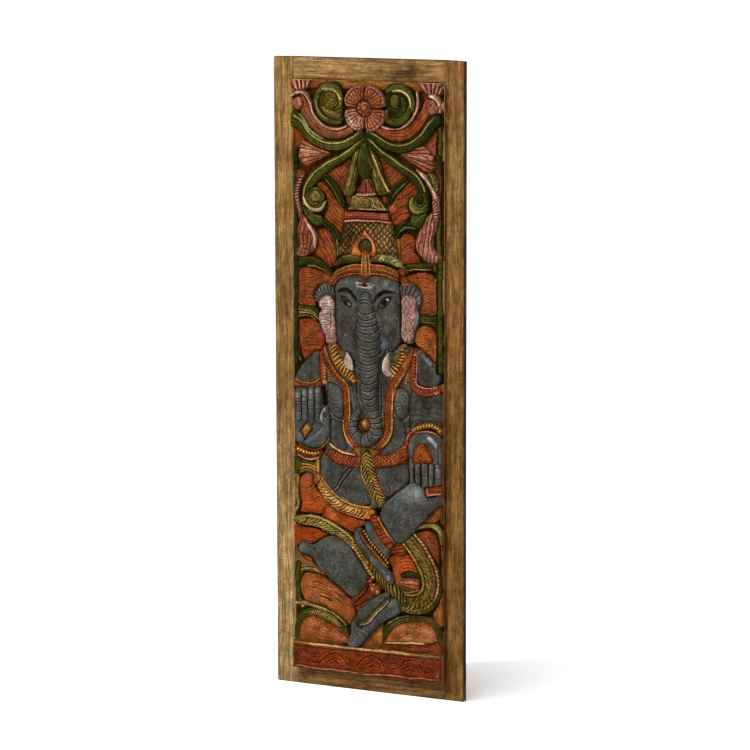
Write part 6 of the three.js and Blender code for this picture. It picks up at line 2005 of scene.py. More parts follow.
def crown_rim(c):
    """The rim of the crown over the forehead."""
    # the feathered leaf band, pale on the right
    right = [(8, 171), (22, 175), (36, 174.6), (48, 170.6), (62, 162)]
    c.band(right, [3, 6, 6.8, 6, 2], 22.6, "deepgreen", 2.2)
    c.ticks(beside(right, [-2, -3, -3, -2.6, -1]), 3.7, [3, 8, 9, 7, 2], 0.9, (116, 124, 52), 1.2,
            22.6, 0.9, 0.2)
    c.ticks(beside(right[1:], [-2, -2, -2, -1]), 3.7, [6, 8, 7, 2], 0.9, (226, 222, 140), 1.9, 22.6,
            1.0, 0.2)
    c.notches(beside(right, [-3, -4, -4, -3.6, -2]), 3.7, [3, 9, 10, 8, 3], 0.9, 1.5, 0.9, 22.6,
              0.85, 0.2)
    c.stroke(beside(right[1:4], 5.6), 1.4, (196, 184, 110), 22.6, 0.6)
    c.cut(beside(right, [-3, -6, -7, -6, -2]), 1.6, 1.2, 22, 0.9)
    left = [(-45, 163), (-34, 170), (-22, 172.5), (-6, 173.5)]
    c.band(left, [3, 6.4, 6.4, 4.5], 22, "deepgreen", 2.2)
    c.ticks(beside(left, [-1, -3, -3, -2]), 3.4, [3, 7, 8, 5], -0.9, (84, 92, 34), 1.1, 22, 0.8,
            0.2)
    c.stroke([(-33, 174), (-24, 177), (-10, 177)], 1.3, (168, 146, 78), 22, 0.8)
    c.cut(beside(left, [-3, -6.5, -6.5, -5]), 1.6, 1.2, 22, 0.9)
    # the beaded red band on the brow, in four rows
    brow = [(-52, 137), (-44, 147), (-34, 152.5), (-20, 157), (-4, 158.8), (12, 158.8), (26, 158.4),
            (39, 156.6), (50, 152.4), (60, 146)]
    thick = np.array([4, 5.4, 6.4, 7, 7.4, 7.4, 7.4, 6.8, 6.2, 4.6])
    c.band(brow, thick, 22.6, "red", 1.6)
    c.band(beside(brow, 0.92 * thick), 0.9, 23.3, "copper", 0.9)
    c.stroke(beside(brow[1:4], 0.92 * thick[1:4]), 1.0, (236, 160, 84), 23.3, 0.5)
    c.beads(beside(brow, 0.52 * thick), (1.75, 1.75), 23.6, "rust", 3.9, 1.5)
    c.band(beside(brow, 0.10 * thick), 0.75, 23.3, "copper", 0.8)
    c.ticks(beside(brow, -0.1 * thick), 4.4, 3.6, 0.4, (240, 178, 96), 1.0, 23.4, 0.5)
    c.beads(beside(brow, -0.33 * thick), (1.45, 1.45), 23.4, "red", 3.4, 1.3)
    c.beads(beside(brow[4:], -0.78 * thick[4:]), (1.5, 0.9), 23.4, "gold", 4.6, 0.9)
    c.dirt_and_shade((0, 158), (50, 5), 0.25)
    c.band(beside(brow[:5], -0.80 * thick[:5]), 0.8, 23.2, "copper", 0.8)
    c.cut(beside(brow, -0.57 * thick), 1.0, 0.8, 22.8, 0.7)
    c.ticks(beside(brow[5:], 0.2 * thick[5:]), 5.2, 4.4, 0.1, (236, 170, 96), 0.9, 23.4, 0.6)
    c.dirt_and_shade((4, 154), (56, 7), 0.22)
    c.tint((56, 149), (8, 6), (122, 30, 20), 0.8, -30)
    c.tint((-47, 144), (6, 7), (112, 34, 20), 0.6)
    c.area([(55, 163), (62, 164), (66, 158), (62, 152), (57, 156)], 19, "ochre", dome=1, reach=4)
    c.area([(58, 152), (66, 150), (72, 146), (66, 141), (58, 142)], 19, "rust", dome=1, reach=4)
    c.beads([(60, 141), (66, 140), (71, 142)], 1.4, 20.5, "rose", 3.0, 1.0)


def jewel_column(c):
    """The ribs and beads that run from the jewel down across the brow band."""
    c.band([(2.5, 182), (3, 151.5)], 6.2, 23.2, "red", 1.2, "flat")
    c.beads([(3, 180), (3, 150)], (2.6, 1.4), 24.0, "gold", 4.1, 1.2)
    for side in (-1, 1):
        c.band([(3 + 4.6 * side, 180), (3 + 5.6 * side, 166), (3 + 6.4 * side, 151)], 0.85, 23.9,
               "gold", 0.8)
    c.stroke([(0.6, 178), (0.2, 152)], 0.9, (60, 18, 8), 23.2, 0.7)
    c.stroke([(5.6, 178), (5.9, 152)], 0.9, (60, 18, 8), 23.2, 0.7)


def draw_crowns(c):
    """The crown and the leaves behind it."""
    crown_leaves(c)
    crown_tower(c)
    crown_rim(c)
    crown_jewel(c)
    jewel_column(c)


def top_strip(c):
    """The strip along the top edge."""
    c.area([(-118, 425), (122, 425), (122, 414), (-118, 414)], 16, "ochre", closed_smooth=False)
    c.tint((0, 422), (90, 3), (190, 140, 40), 0.8)
    c.area([(-117, 425), (-117, 411), (-108, 409), (-98, 411), (-90, 416), (-86, 425)], 20,
           "rose", dome=1.5, reach=5, texture=rays((-98, 395), 16, 1.6))
    c.area([(91, 425), (93, 417), (100, 411), (112, 409), (122, 411), (122, 425)], 20,
           "rose", dome=1.5, reach=5, texture=rays((108, 395), 16, 1.6))


def side_borders(c):
    """The bands down both sides of the top."""
    left, right = "deepgreen", "green"
    c.band([(-111, 345), (-111, 300), (-112, 240), (-110, 190), (-111, 20)], 4.5, 16.5, left, 1.5)
    c.band([(-116.5, 410), (-117, 200), (-117, -140)], 2.2, 15, "umber", 1.0)
    c.band([(121, 362), (121, 320)], [3.5, 4], 18, right, 2)
    c.band([(118, 320), (117, 300)], 5, 17, left, 2)
    c.band([(119, 300), (119, 235)], 3.5, 16, "umber", 1.5)
    c.band([(119, 232), (119, 190), (120, 160), (121, 20)], [3.5, 4, 4, 4], 17, right, 2)


def orange_fields(c):
    """The hatched orange grounds beside the flower."""
    hatch = lines(5.2, 0.5, -38, 2)
    # the triangles between the stems
    c.area([(-111, 357), (-103, 353), (-96, 343), (-91, 334), (-102, 329), (-111, 333)], 16.5,
           "rust")
    c.area([(116, 363), (107, 355), (99, 346), (91, 337), (103, 330), (113, 322), (115, 345)], 16.5,
           "rust")
    c.hatch((106, 344), (9, 12), 60, 24)
    c.area([(-20, 315), (-38, 304), (-52, 298), (-60, 290), (-47, 280), (-36, 268), (-28, 266),
            (-25, 285)], 16.5, "rust", texture=lines(4.2, 0.4, -55, 2))
    c.hatch((-38, 290), (16, 14), 125, 44)
    c.area([(28, 318), (45, 307), (60, 299), (68, 294), (55, 285), (45, 276), (38, 280),
            (33, 298)], 16.5, "rust", texture=lines(6, 0.4, 42, 2))
    c.hatch((46, 294), (16, 12), 40, 44)
    c.tint((42, 285), (6, 8), (190, 120, 50), 0.7)
    # the petals beside the crown
    c.area([(-77, 277), (-68, 280), (-59, 275), (-50, 263), (-42, 252), (-33, 244), (-29, 238),
            (-32, 222), (-35, 206), (-44, 211), (-54, 222), (-63, 229), (-59, 250), (-62, 263),
            (-69, 270)], 18, "rust", dome=1.8, reach=10, texture=hatch)
    c.hatch((-52, 246), (18, 22), 142, 60)
    c.tint((-38, 236), (6, 10), (196, 128, 40), 0.7)
    c.area([(74, 287), (81, 284), (89, 274), (82, 265), (73, 261), (69, 250), (73, 240),
            (70, 234), (60, 227), (50, 223), (45, 228), (40, 240), (37, 252), (44, 257),
            (54, 270), (64, 281)], 18, "rust", dome=1.8, reach=10, texture=lines(11, 0.8, 30, 4))
    c.hatch((62, 252), (18, 20), 30, 50)
    c.tint((71, 242), (4, 5), (170, 60, 60), 0.7)
    c.tint((42, 246), (5, 10), (206, 140, 90), 0.5)
    c.area([(38, 262), (37, 250), (42, 258)], 17, "rust")
    c.area([(-27, 262), (-18, 261), (-20, 253), (-26, 252)], 16, "ochre")
    c.area([(36, 264), (30, 262), (33, 252), (38, 255)], 16, "ochre")


def trumpets(c):
    """The pale palmettes that open towards the sides below the green stems."""
    c.area([(-56, 321), (-72, 327), (-90, 333), (-100, 334), (-103, 328), (-105, 320),
            (-104, 311), (-94, 303), (-80, 308), (-66, 315)], 19, "copper", dome=2, reach=7,
           texture=rays((-52, 321), 9.5, 1.1, 19, 3))
    c.tint((-96, 318), (8, 14), (226, 150, 116), 0.7)
    c.tint((-75, 311), (18, 7), (136, 70, 40), 0.8, 20)
    c.tint((-85, 322), (14, 5), (176, 110, 74), 0.4, 0)
    for rise in (0, 5, 10):
        c.stroke([(-70, 321 + 0.3 * rise), (-86, 322 + 0.6 * rise), (-101, 321 + rise)], 1.5,
                 (246, 206, 170), 19, 0.6)
    c.band([(-55, 322), (-70, 326), (-85, 331), (-97, 337)], [1.2, 1.8, 2.2, 2.5], 20, "copper",
           1.2)
    c.cut([(-60, 318), (-80, 308), (-96, 304)], 1.5, 1.2)
    c.area([(57, 325), (72, 330), (90, 338), (100, 335), (107, 328), (112, 320), (113, 309),
            (104, 301), (95, 302), (84, 308), (70, 316)], 18.5, "copper", dome=1.8, reach=8,
           texture=rays((52, 326), 7.5, 1.2, 19, 3))
    c.tint((95, 330), (14, 5), (206, 120, 110), 0.7, 10)
    c.hatch((88, 318), (14, 9), 5, 26, (226, 150, 124))
    c.band([(72, 323), (88, 321), (100, 319)], [1.0, 1.8, 2.4], 20.5, "rose", 1.4)
    c.boss((105, 320), 5, 22, "rose", 3)
    c.cut([(111, 308), (112, 318), (109, 325)], 1.5, 1.5)


def lower_stems(c):
    """The green stems that end in hooks."""
    left = [(-1, 343), (-14, 331), (-30, 320), (-46, 311), (-61, 302), (-74, 293), (-84, 283),
            (-91, 272), (-94, 260), (-95, 250)]
    c.stem(left, [4, 5, 5.5, 6, 6.5, 7.5, 8, 8, 6.5, 5], 20.5, "green", 2.4, (196, 176, 92), 0.9,
           -1)
    c.ticks(left[1:7], 3.4, [3, 5], -0.5, (150, 132, 70), 0.9, 20.5, 0.5)
    right = [(6, 344), (20, 331), (40, 317), (60, 305), (76, 296), (88, 284), (94, 270), (94, 258)]
    c.stem(right, [4, 5, 6, 6.5, 7, 8, 8, 6.5], 20.5, "deepgreen", 2.4, (206, 184, 100), 0.85)
    c.ticks(right[1:5], 3.6, [-3, -5], 0.5, (126, 120, 64), 0.9, 20.5, 0.5)


def upper_stems(c):
    """The green stems that come in from the sides under the flower."""
    left = [(-114, 370), (-102, 363), (-92, 350), (-80, 341), (-66, 335), (-50, 333), (-34, 335),
            (-20, 341), (-6, 350)]
    c.stem(left, [10, 9, 8, 7.5, 7.5, 7.5, 7, 7, 6.5], 21, "green", 3.0, (226, 210, 110), 0.9)
    c.stroke([(-104, 377), (-97, 369), (-89, 357), (-80, 349), (-68, 343)], 2.4, (226, 214, 140),
             21.0, 0.85)
    c.ticks(left[2:8], 3.2, -7, 0.5, (138, 124, 62), 0.9, 21, 0.6)
    c.cut(beside(left[2:8], -6.6), 1.5, 0.8, 21, 0.7)
    right = [(113, 373), (104, 364), (94, 351), (82, 342), (68, 335), (52, 333), (36, 337),
             (22, 345), (8, 352)]
    c.stem(right, [9, 9, 8, 7.5, 7.5, 7.5, 7, 6.5, 6], 21, "deepgreen", 3.0, (190, 176, 92), 0.8,
           -1)
    c.ticks(right[2:8], 3.2, 7, 0.5, (110, 100, 50), 0.9, 21, 0.6)
    c.cut(beside(right[2:8], 6.6), 1.5, 0.8, 21, 0.7)
    c.tint((112, 372), (10, 7), (24, 60, 30), 0.8)
    c.tint((-112, 368), (8, 8), (30, 44, 18), 0.6)
    c.tint((-5, 350), (22, 6), (26, 44, 26), 0.7)


def hooks(c):
    """The hooked leaves under the flower."""
    # the left hook, with its button, its pale crescent and the lobe below it
    c.boss((-80, 257), 15.5, 20.5, "moss", 2.0)
    c.tint((-70, 256), (6, 10), (44, 76, 40), 0.9)
    c.boss((-80, 259), (9, 8.5), 23, "olive", 3.2)
    c.cut(curl((-80, 257), 10.5, 11.5, 200, 250), 1.8, 1.6, 21)
    c.band([(-98, 258), (-94, 249), (-86, 242), (-76, 240), (-67, 243), (-62.5, 252)],
           [1.8, 2.6, 3.4, 3.6, 3.2, 1.6], 22, "olive", 2.2)
    c.stroke([(-97, 256), (-93, 248), (-85, 242.5), (-76, 240.5), (-67.5, 243.5), (-63.5, 251)],
             3.0, (222, 214, 150), 22, 0.75)
    c.area([(-99, 245), (-90, 240), (-80, 234), (-68, 230), (-65, 226), (-69, 220), (-80, 219),
            (-88, 225), (-96, 235)], 19.5, "green", dome=1.5, reach=5)
    c.stroke([(-90, 240), (-80, 234.5), (-70, 230.5)], 1.6, (196, 190, 130), 19.5, 0.7)
    c.cut([(-92, 238), (-84, 231), (-74, 225)], 1.5, 1.3, 19.5)
    # the right hook
    c.area([(96, 272), (101, 262), (100, 248), (93, 240), (82, 240), (74, 245), (71, 255),
            (75, 264), (82, 267)], 20.5, "green", dome=1.6, reach=6)
    c.tint((80, 248), (8, 8), (120, 128, 70), 0.8)
    c.stroke([(76, 263), (73.5, 255), (76, 247), (84, 243.5), (93, 245)], 3.2, (172, 170, 104),
             20.5, 0.65)
    c.boss((88, 262), (6, 7), 21.5, "deepgreen", 2.0)
    c.cut([(82, 266), (80, 259), (81, 254), (86, 251.5), (93, 252), (97, 258)], 2.0, 2.2, 20.5, 0.9)
    c.area([(77, 241), (73, 233), (77, 224), (88, 222), (95, 230), (100, 242), (92, 243),
            (84, 239)], 19.5, "green", dome=1.6, reach=5)
    c.cut([(82, 233), (88, 238), (95, 243)], 1.6, 1.4, 19.5)
    c.tint((78, 232), (5, 6), (70, 110, 60), 0.8)


def scaled_ridges(c):
    """The pink stems outside the hooks, and the leaves that hang from them."""
    c.area([(-104, 297), (-94, 292), (-100, 280), (-106, 283), (-110, 290)], 16.5, "rust")
    c.band([(-100, 288), (-106, 275), (-108, 262), (-107, 248), (-104, 236), (-102, 226)],
           [3, 3.4, 3.6, 3.6, 3.4, 3.2], 19, "rose", 2.0, texture=ribs(4.4, 1.3, 0.6))
    c.tint((-105, 240), (5, 18), (140, 62, 48), 0.7)
    c.band([(84, 302), (96, 293), (106, 281), (112, 269), (114, 256), (113, 240), (111, 222)],
           [2.5, 4.5, 5, 5, 4.6, 4.2, 3.8], 20.5, "rose", 2.2)
    c.stroke([(88, 299), (99, 290), (108, 278), (113, 266)], 2.6, (244, 220, 196), 20.5, 0.8)
    c.cut([(96, 290), (105, 278), (110, 266), (111, 252)], 1.3, 1.0, 20.5)
    c.band([(112, 258), (113, 246), (111, 234)], 4.4, 20.6, "rose", 2.2,
           texture=ribs(4.6, 1.2, 0.5))
    c.tint((106, 250), (4, 16), (150, 76, 48), 0.7)
    c.area([(101, 301), (108, 299), (115, 290), (120, 276), (119, 268), (112, 276), (105, 288)],
           18, "olive", dome=1.2, reach=4, texture=lines(4, 1.2, 50, 2))
    c.band([(116, 305), (122, 290), (121, 272)], 2.4, 16, "umber", 1.2)
    # the left leaf
    c.area([(-101, 233), (-93, 226), (-86, 216), (-78, 207), (-74, 197), (-76, 184), (-86, 179),
            (-94, 174), (-104, 173), (-111, 177), (-106, 190), (-107, 210), (-105, 222)], 19,
           "copper", dome=2, reach=7, texture=lines(7, 0.8, 80, 2))
    c.tint((-98, 205), (9, 22), (140, 66, 48), 0.7)
    c.band([(-95, 226), (-88, 216), (-81, 207), (-78.5, 197), (-80, 187)], [2, 3.2, 4, 4, 2.5],
           21.5, "rose", 2.2)
    c.stroke([(-90, 218), (-83, 209), (-80, 200), (-80.5, 192)], 3.0, (250, 226, 206), 21.5, 0.85)
    c.cut([(-88, 212), (-86, 202), (-84, 190)], 1.6, 1.6, 19)
    c.cut([(-103, 191), (-96, 190), (-90, 192)], 1.4, 1.2, 19)
    c.cut([(-101, 182), (-95, 184), (-88, 183)], 1.2, 1.0, 19)
    c.stroke([(-110, 177), (-103, 174.5), (-94, 175)], 1.8, (228, 180, 160), 19, 0.7)
    # the right leaf
    c.area([(109, 242), (100, 238), (93, 226), (86, 213), (82, 200), (85, 187), (94, 178),
            (104, 172), (114, 173), (122, 181), (115, 185), (110, 192), (110, 210), (113, 224)],
           19.5, "rose", dome=2, reach=7, texture=lines(6.5, 0.9, 82, 2))
    c.tint((97, 222), (6, 14), (158, 84, 60), 0.7, -20)
    c.tint((104, 188), (8, 8), (200, 130, 110), 0.7)
    c.cut([(108, 225), (104, 210), (103, 195), (106, 182)], 1.5, 1.2, 19.5)
    c.cut([(96, 215), (94, 202), (96, 190)], 1.4, 1.0, 19.5)
    c.cut([(84, 205), (90, 200), (94, 205)], 1.2, 0.8, 19.5)


def double_bands(c):
    """The dark green grooved bands between the petals."""
    for path in ([(-62, 288), (-50, 277), (-41, 265), (-34, 251)],
                 [(-63, 223), (-50, 214), (-42, 204), (-38, 196)],
                 [(71, 291), (57, 280), (47, 270), (41, 256)],
                 [(81, 222), (68, 224), (58, 219), (51, 209)]):
        c.band(path, [3.5, 5, 5, 4], 19.5, "deepgreen", 2.6, "gutter")
    c.stroke([(-60, 283), (-51, 272), (-43, 261), (-38, 251)], 1.3, (150, 140, 84), 19.5, 0.7)
    c.stroke([(-54, 207), (-47, 201), (-42, 193)], 1.5, (190, 180, 110), 19.5, 0.8)
    c.stroke([(-56, 292), (-45, 281), (-36, 269)], 1.2, (120, 104, 60), 19.5, 0.7)
    c.stroke([(66, 284), (54, 273), (46, 263)], 1.5, (130, 140, 90), 19.5, 0.7)
    c.stroke([(80, 221), (68, 221), (58, 216)], 1.8, (128, 120, 96), 19.5, 0.7)
    c.stroke([(50, 219), (56, 226), (64, 229)], 1.6, (170, 140, 70), 19.5, 0.7)


def pink_stems(c):
    """The pink stems that scroll out from the flower."""
    c.band([(-100, 396), (-94, 384), (-83, 369), (-68, 357), (-50, 350), (-34, 351), (-20, 356)],
           [7, 8, 9, 9, 8, 7, 5], 20, "copper", 2.0)
    c.tint((-90, 378), (8, 12), (142, 76, 66), 0.8, -60)
    c.tint((-60, 354), (26, 6), (150, 70, 52), 0.6)
    c.cut([(-96, 384), (-86, 370), (-74, 359), (-60, 352)], 1.4, 1.0, 20, 0.6)
    c.cut([(-60, 357), (-48, 353.5), (-36, 354), (-26, 358)], 1.4, 1.1, 20, 0.6)
    c.band([(-121, 400), (-113, 405), (-103, 408), (-93, 404), (-87, 395), (-84, 387), (-79, 376),
            (-72, 367), (-62, 360), (-50, 356.5), (-38, 357), (-28, 361)],
           [2, 2.6, 2.8, 2.8, 2.8, 2.8, 2.6, 2.4, 2.4, 2.2, 2, 1.5], 22, "rose", 2.4)
    c.stroke([(-110, 404), (-100, 405), (-91, 399), (-86, 389), (-81, 378), (-74, 368), (-64, 361)],
             1.6, (244, 208, 158), 22, 0.8)
    c.cut([(-108, 410), (-98, 409), (-90, 403), (-84, 394)], 1.4, 1.2, 21)
    c.boss((-106, 392), 9.5, 20.5, "copper", 3.2)
    c.tint((-111, 390), (6, 7), (170, 100, 78), 0.7)
    c.stroke([(-104, 396), (-101, 390)], 2.6, (232, 190, 150), 20, 0.7)
    c.cut(curl((-106, 392), 9.6, 9.6, 20, 150), 1.6, 1.6, 20.5)
    c.band([(101, 396), (96, 380), (86, 366), (72, 356), (56, 350), (40, 350), (24, 356)],
           [6, 8, 9, 9, 8.5, 8, 5], 20, "rust", 2.0)
    c.tint((92, 394), (7, 16), (170, 92, 70), 0.8)
    c.tint((98, 408), (14, 6), (186, 110, 92), 0.7)
    for shift in (0, 4.5, 9):
        c.cut([(88 + 0.7 * shift, 392), (86 + 0.6 * shift, 380 - 0.3 * shift),
               (76 + 0.5 * shift, 368 - shift), (62 + 0.3 * shift, 359 - shift),
               (44, 356 - 0.8 * shift)], 1.3, 1.0, 20, 0.6)
    c.band([(84, 412), (85.5, 400), (84, 388), (77, 375), (67, 366), (54, 360.5), (38, 360),
            (30, 362)], [2, 2.4, 2.4, 2.4, 2.4, 2.4, 2.2, 1.6], 21.5, "rose", 2.2)
    c.tint((45, 354), (14, 5), (168, 84, 70), 0.6)
    c.band([(104, 407), (113, 405), (118, 396), (119, 386)], [2.5, 4.5, 4.5, 2.5], 22, "rose", 2.5)
    c.stroke([(107, 407), (114, 403), (118, 396)], 3.0, (250, 226, 196), 22, 0.8)
    c.boss((108, 391), (9.5, 10.5), 21.5, "rose", 3.2)
    c.tint((108, 386), (8, 7), (198, 126, 78), 0.8)
    c.tint((104, 397), (5, 5), (178, 104, 82), 0.7)
    c.cut([(97, 405), (103, 405), (110, 401), (116, 394)], 1.8, 2.0, 21.5)
    c.boss((107, 395), 1.4, 20.5, "umber", 1.0)


def green_scrolls(c):
    """The green scrolls beside the crown."""
    # the left one
    c.area([(-34, 381), (-34, 368), (-42, 361), (-54, 361), (-66, 366), (-75, 377), (-80, 393),
            (-77, 408), (-69, 418), (-56, 422), (-42, 422), (-34, 415), (-33, 400)], 18, "green",
           edge=1.8)
    c.band([(-73, 404), (-76, 393), (-72, 380), (-63, 371), (-50, 366), (-38, 366)],
           [4, 4.6, 4.6, 4.4, 4, 3], 20, "green", 2.4)
    c.stroke([(-76, 396), (-73, 384), (-66, 375), (-58, 371)], 1.6, (180, 172, 96), 20, 0.75)
    c.tint((-40, 367), (6, 4), (40, 84, 34), 0.8)
    c.band([(-72, 408), (-64, 415), (-52, 417), (-41, 412), (-37, 402), (-37, 392)],
           [4, 4.6, 4.6, 4.6, 4.2, 3], 21, "moss", 2.4)
    c.stroke([(-64, 412), (-52, 412), (-43, 408), (-38, 400)], 4.0, (226, 214, 124), 21, 0.85)
    c.tint((-46, 419), (12, 3.4), (34, 60, 30), 0.9)
    c.boss((-54, 396), (11.5, 12.5), 21, "moss", 2.6)
    c.tint((-58, 405), (5, 3), (30, 78, 66), 0.9)
    c.cut(curl((-54, 396), 12.8, 12.8, -30, 210), 2.0, 2.6, 21, 0.9)
    c.cut(curl((-50, 397), 6.5, 6.5, 150, 250), 1.3, 1.0, 21, 0.7)
    c.boss((-50, 397.5), 3.5, 21.5, "olive", 1.8)
    c.cut([(-62, 388), (-56, 384), (-47, 382), (-38, 386)], 2.2, 2.2, 20, 0.9)
    c.area([(-68, 388), (-62, 378), (-52, 373), (-40, 372), (-36, 378), (-46, 381), (-58, 384)], 20,
           "olive", dome=1.4, reach=4)
    c.cut([(-66, 386), (-63, 381)], 1.8, 1.5, 20, 0.9)
    c.cut([(-60, 380), (-54, 376.5), (-48, 374.5)], 1.8, 1.5, 20, 0.9)
    # the right one
    c.area([(35, 386), (35, 370), (42, 362), (54, 361), (66, 367), (76, 380), (83, 396), (82, 410),
            (74, 418), (62, 422), (48, 422), (37, 415)], 16.5, "deepgreen", edge=1.8)
    c.band([(37, 384), (38, 372), (48, 367), (59, 369), (68, 378), (74, 390)],
           [3, 4, 4.4, 4.8, 4.8, 4.6], 20, "green", 2.4)
    c.tint((62, 374), (10, 7), (104, 108, 36), 0.7, 45)
    c.stroke([(40, 374), (50, 372.5), (58, 374)], 1.6, (140, 128, 66), 20, 0.7)
    c.band([(38, 413), (50, 418), (62, 417), (72, 410), (78, 398), (78, 388)],
           [3, 4.4, 4.8, 4.8, 4.6, 4], 20.5, "green", 2.4)
    c.tint((50, 419), (10, 3), (28, 76, 62), 0.9)
    c.band([(46, 413), (58, 414), (68, 409.5), (74, 401), (75, 391)], [1.4, 2.2, 2.6, 2.6, 1.6],
           21.5, "olive", 1.8)
    c.stroke([(54, 414), (66, 410.5), (72, 405), (75, 396)], 1.8, (236, 226, 150), 21.5, 0.85)
    c.area([(58, 404), (66, 404), (70, 394), (66, 384), (60, 388)], 18.5, "green", dome=1.6,
           reach=5)
    c.boss((49, 399), (7.5, 9.5), 21.5, "moss", 3.4)
    c.tint((49, 399), (6, 8), (92, 104, 34), 0.9)
    c.cut(curl((50, 398), 11, 11, 60, 230), 2.4, 2.0, 19, 0.9)


def flower(c):
    """The flower with four petals."""
    centre = (1, 387)
    petal = [(7, -34), (20, -43), (29, -40), (34, -26), (35, -9), (35, 9), (34, 26), (29, 40),
             (20, 43), (7, 34)]
    for turn, coat in ((135, "copper"), (45, "copper"), (-45, "copper"), (-135, "rose")):
        c.area(lobe(centre, turn, petal), 22, coat, dome=1.2, reach=6, edge=1.4,
               texture=both(rim(4.6, 2.2, 1.4), rays(centre, 11, 0.7, 22, 3)))
        c.stroke(lobe(centre, turn, [(31, -38), (33.4, -20), (34, 0), (33.4, 20), (31, 38)]), 3.0,
                 (206, 142, 128), 22, 0.65)
    c.tint((-2, 404), (20, 12), (122, 58, 34), 0.6)
    c.tint((18, 396), (10, 12), (136, 60, 40), 0.6)
    c.stroke([(-27, 380), (-22, 368), (-14, 362)], 5, (244, 206, 158), 22, 0.55, 2.0)
    c.tint((14, 372), (9, 8), (186, 118, 72), 0.6)
    c.boss(centre, 12.5, 20.8, "copper", 1.4)
    c.dirt_and_shade(centre, 13, 0.35)
    c.cut(curl(centre, 11.6, 11.6, 0, 355), 2.0, 1.4, 21, 0.85)
    for turn in range(0, 360, 40):
        c.cut(lobe(centre, turn, [(7, 0), (12.5, 0)]), 1.8, 1.2, 21, 0.7)
    c.boss((2, 388), 7.6, 22.8, "copper", 3.0)
    c.cut(curl((2, 388), 4.6, 4.6, 30, 300), 1.6, 1.0, 22.8, 0.7)
    c.boss((3, 389), 2.6, 23.6, "rose", 1.6)
    c.stroke([(-3, 391), (0, 394), (4, 394.5)], 1.8, (250, 190, 140), 23, 0.7)


def foot_leaves(c):
    """The three long leaves that stand on the crown."""
    c.area([(-3, 347), (-12, 336), (-18, 318), (-26, 296), (-33, 270), (-30, 262), (-18, 264),
            (-12, 286), (-6, 310), (1, 330)], 19.5, "moss", dome=2.0, reach=6)
    c.area([(6, 347), (12, 336), (20, 318), (31, 296), (42, 273), (37, 266), (22, 266), (13, 286),
            (8, 306), (3, 330)], 19.5, "moss", dome=2.0, reach=6)
    c.area([(2, 349), (-6, 328), (-11, 306), (-8, 294), (3, 288), (12, 296), (13, 308), (8, 328)],
           20.5, "green", dome=1.4, reach=6)
    c.tint((22, 282), (10, 16), (30, 44, 12), 0.8, -70)
    c.tint((3, 300), (9, 20), (34, 34, 10), 0.85)
    c.dirt_and_shade((3, 302), (10, 20), 0.45)
    c.dirt_and_shade((34, 284), (6, 22), 0.35, 20)
    c.hatch((-18, 300), (5, 34), 74, 26, (190, 164, 80), (26, 26, 6))
    c.hatch((22, 302), (6, 34), -70, 26, (206, 184, 92), (22, 24, 6))
    c.tint((-25, 280), (4, 18), (110, 84, 30), 0.5, -15)
    c.dirt_and_shade((-12, 300), (4, 26), 0.5, -14, 19.5)
    c.band([(13, 324), (21, 305), (31, 286), (40, 271)], [1.0, 1.8, 2.2, 2.0], 21.2, "tan", 1.8)
    c.stroke([(14, 322), (22, 304), (31, 286), (39, 272)], 1.5, (226, 204, 130), 21.2, 0.8)
    c.cut([(9, 326), (17, 304), (27, 284), (35, 270)], 1.5, 1.5, 20, 0.9)
    c.stroke([(9, 318), (15, 300), (23, 280)], 1.2, (168, 150, 84), 19.5, 0.7)
    c.cut([(10, 306), (15, 290), (20, 274)], 1.2, 0.8, 19.5, 0.6)
    c.stroke([(-6, 340), (-12, 322), (-19, 298), (-27, 272)], 1.4, (190, 160, 92), 19.5, 0.8)
    c.cut([(-4, 334), (-12, 308), (-20, 280), (-23, 266)], 1.5, 1.5, 19.5, 0.9)
    c.stroke([(-11, 306), (-16, 290), (-20, 272)], 1.1, (150, 130, 70), 19.5, 0.6)
    c.stroke([(-3, 336), (-6, 320), (-8, 304)], 1.1, (150, 130, 66), 20.5, 0.6)
    c.cut([(2, 344), (3, 322), (3, 296)], 1.1, 0.7, 20.5, 0.5)


def draw_top(c):
    """Everything above the crown."""
    top_strip(c)
    side_borders(c)
    orange_fields(c)
    trumpets(c)
    double_bands(c)
    scaled_ridges(c)
    foot_leaves(c)
    lower_stems(c)
    hooks(c)
    pink_stems(c)
    upper_stems(c)
    green_scrolls(c)
    flower(c)


def filled(hollow, most, half_depth):
    """How much stain and painted shade a hollow of this depth holds."""
    return most * hollow / (hollow + half_depth)


def weather(c):
    """How far each cell is lightened, by rubbing on its ridges and by painted highlight on its
    crests and middles, and darkened, by stain with painted shade in its hollows and by painted
    shade at its rims and in the soft dark patches.
    """
    relief = c.detail - blur(c.detail, 1.2)
    groove = np.clip(-relief, 0, None)
    foot = np.clip(blur(c.height, 1.0) - c.height, 0, None)
    deep = np.clip(blur(c.height, 5) - c.height, 0, None)
    crest = np.clip(c.height - blur(c.height, 1.5), 0, 1)
    wear_and_highlight = RUBBED_ALL + RUBBED_RIDGE * relief + INNER_HIGHLIGHT * (1 - c.edge) + CREST_HIGHLIGHT * crest
    undarkened = (1 - filled(groove, *GROOVE_STAIN_AND_SHADE)) * (1 - filled(foot, *FOOT_STAIN_AND_SHADE))
    undarkened *= (1 - filled(deep, *DEEP_SHADE)) * (1 - EDGE_SHADE * c.edge) * (1 - c.soil_and_shade)
    return np.clip(wear_and_highlight, 0, 1), np.clip(np.maximum(1 - undarkened, c.stain_and_shade), 0, MOST_STAIN_AND_SHADE)


def seen_colour(c, wear_and_highlight, stain_and_shade):
    """The colour that paint, rubbing with painted highlight, and stain with painted shade make
    together.
    """
    colour = c.paint + (c.rub_and_highlight - c.paint) * wear_and_highlight[..., None]
    return colour + (linear(STAIN_AND_SHADE_COLOUR) - colour) * stain_and_shade[..., None]


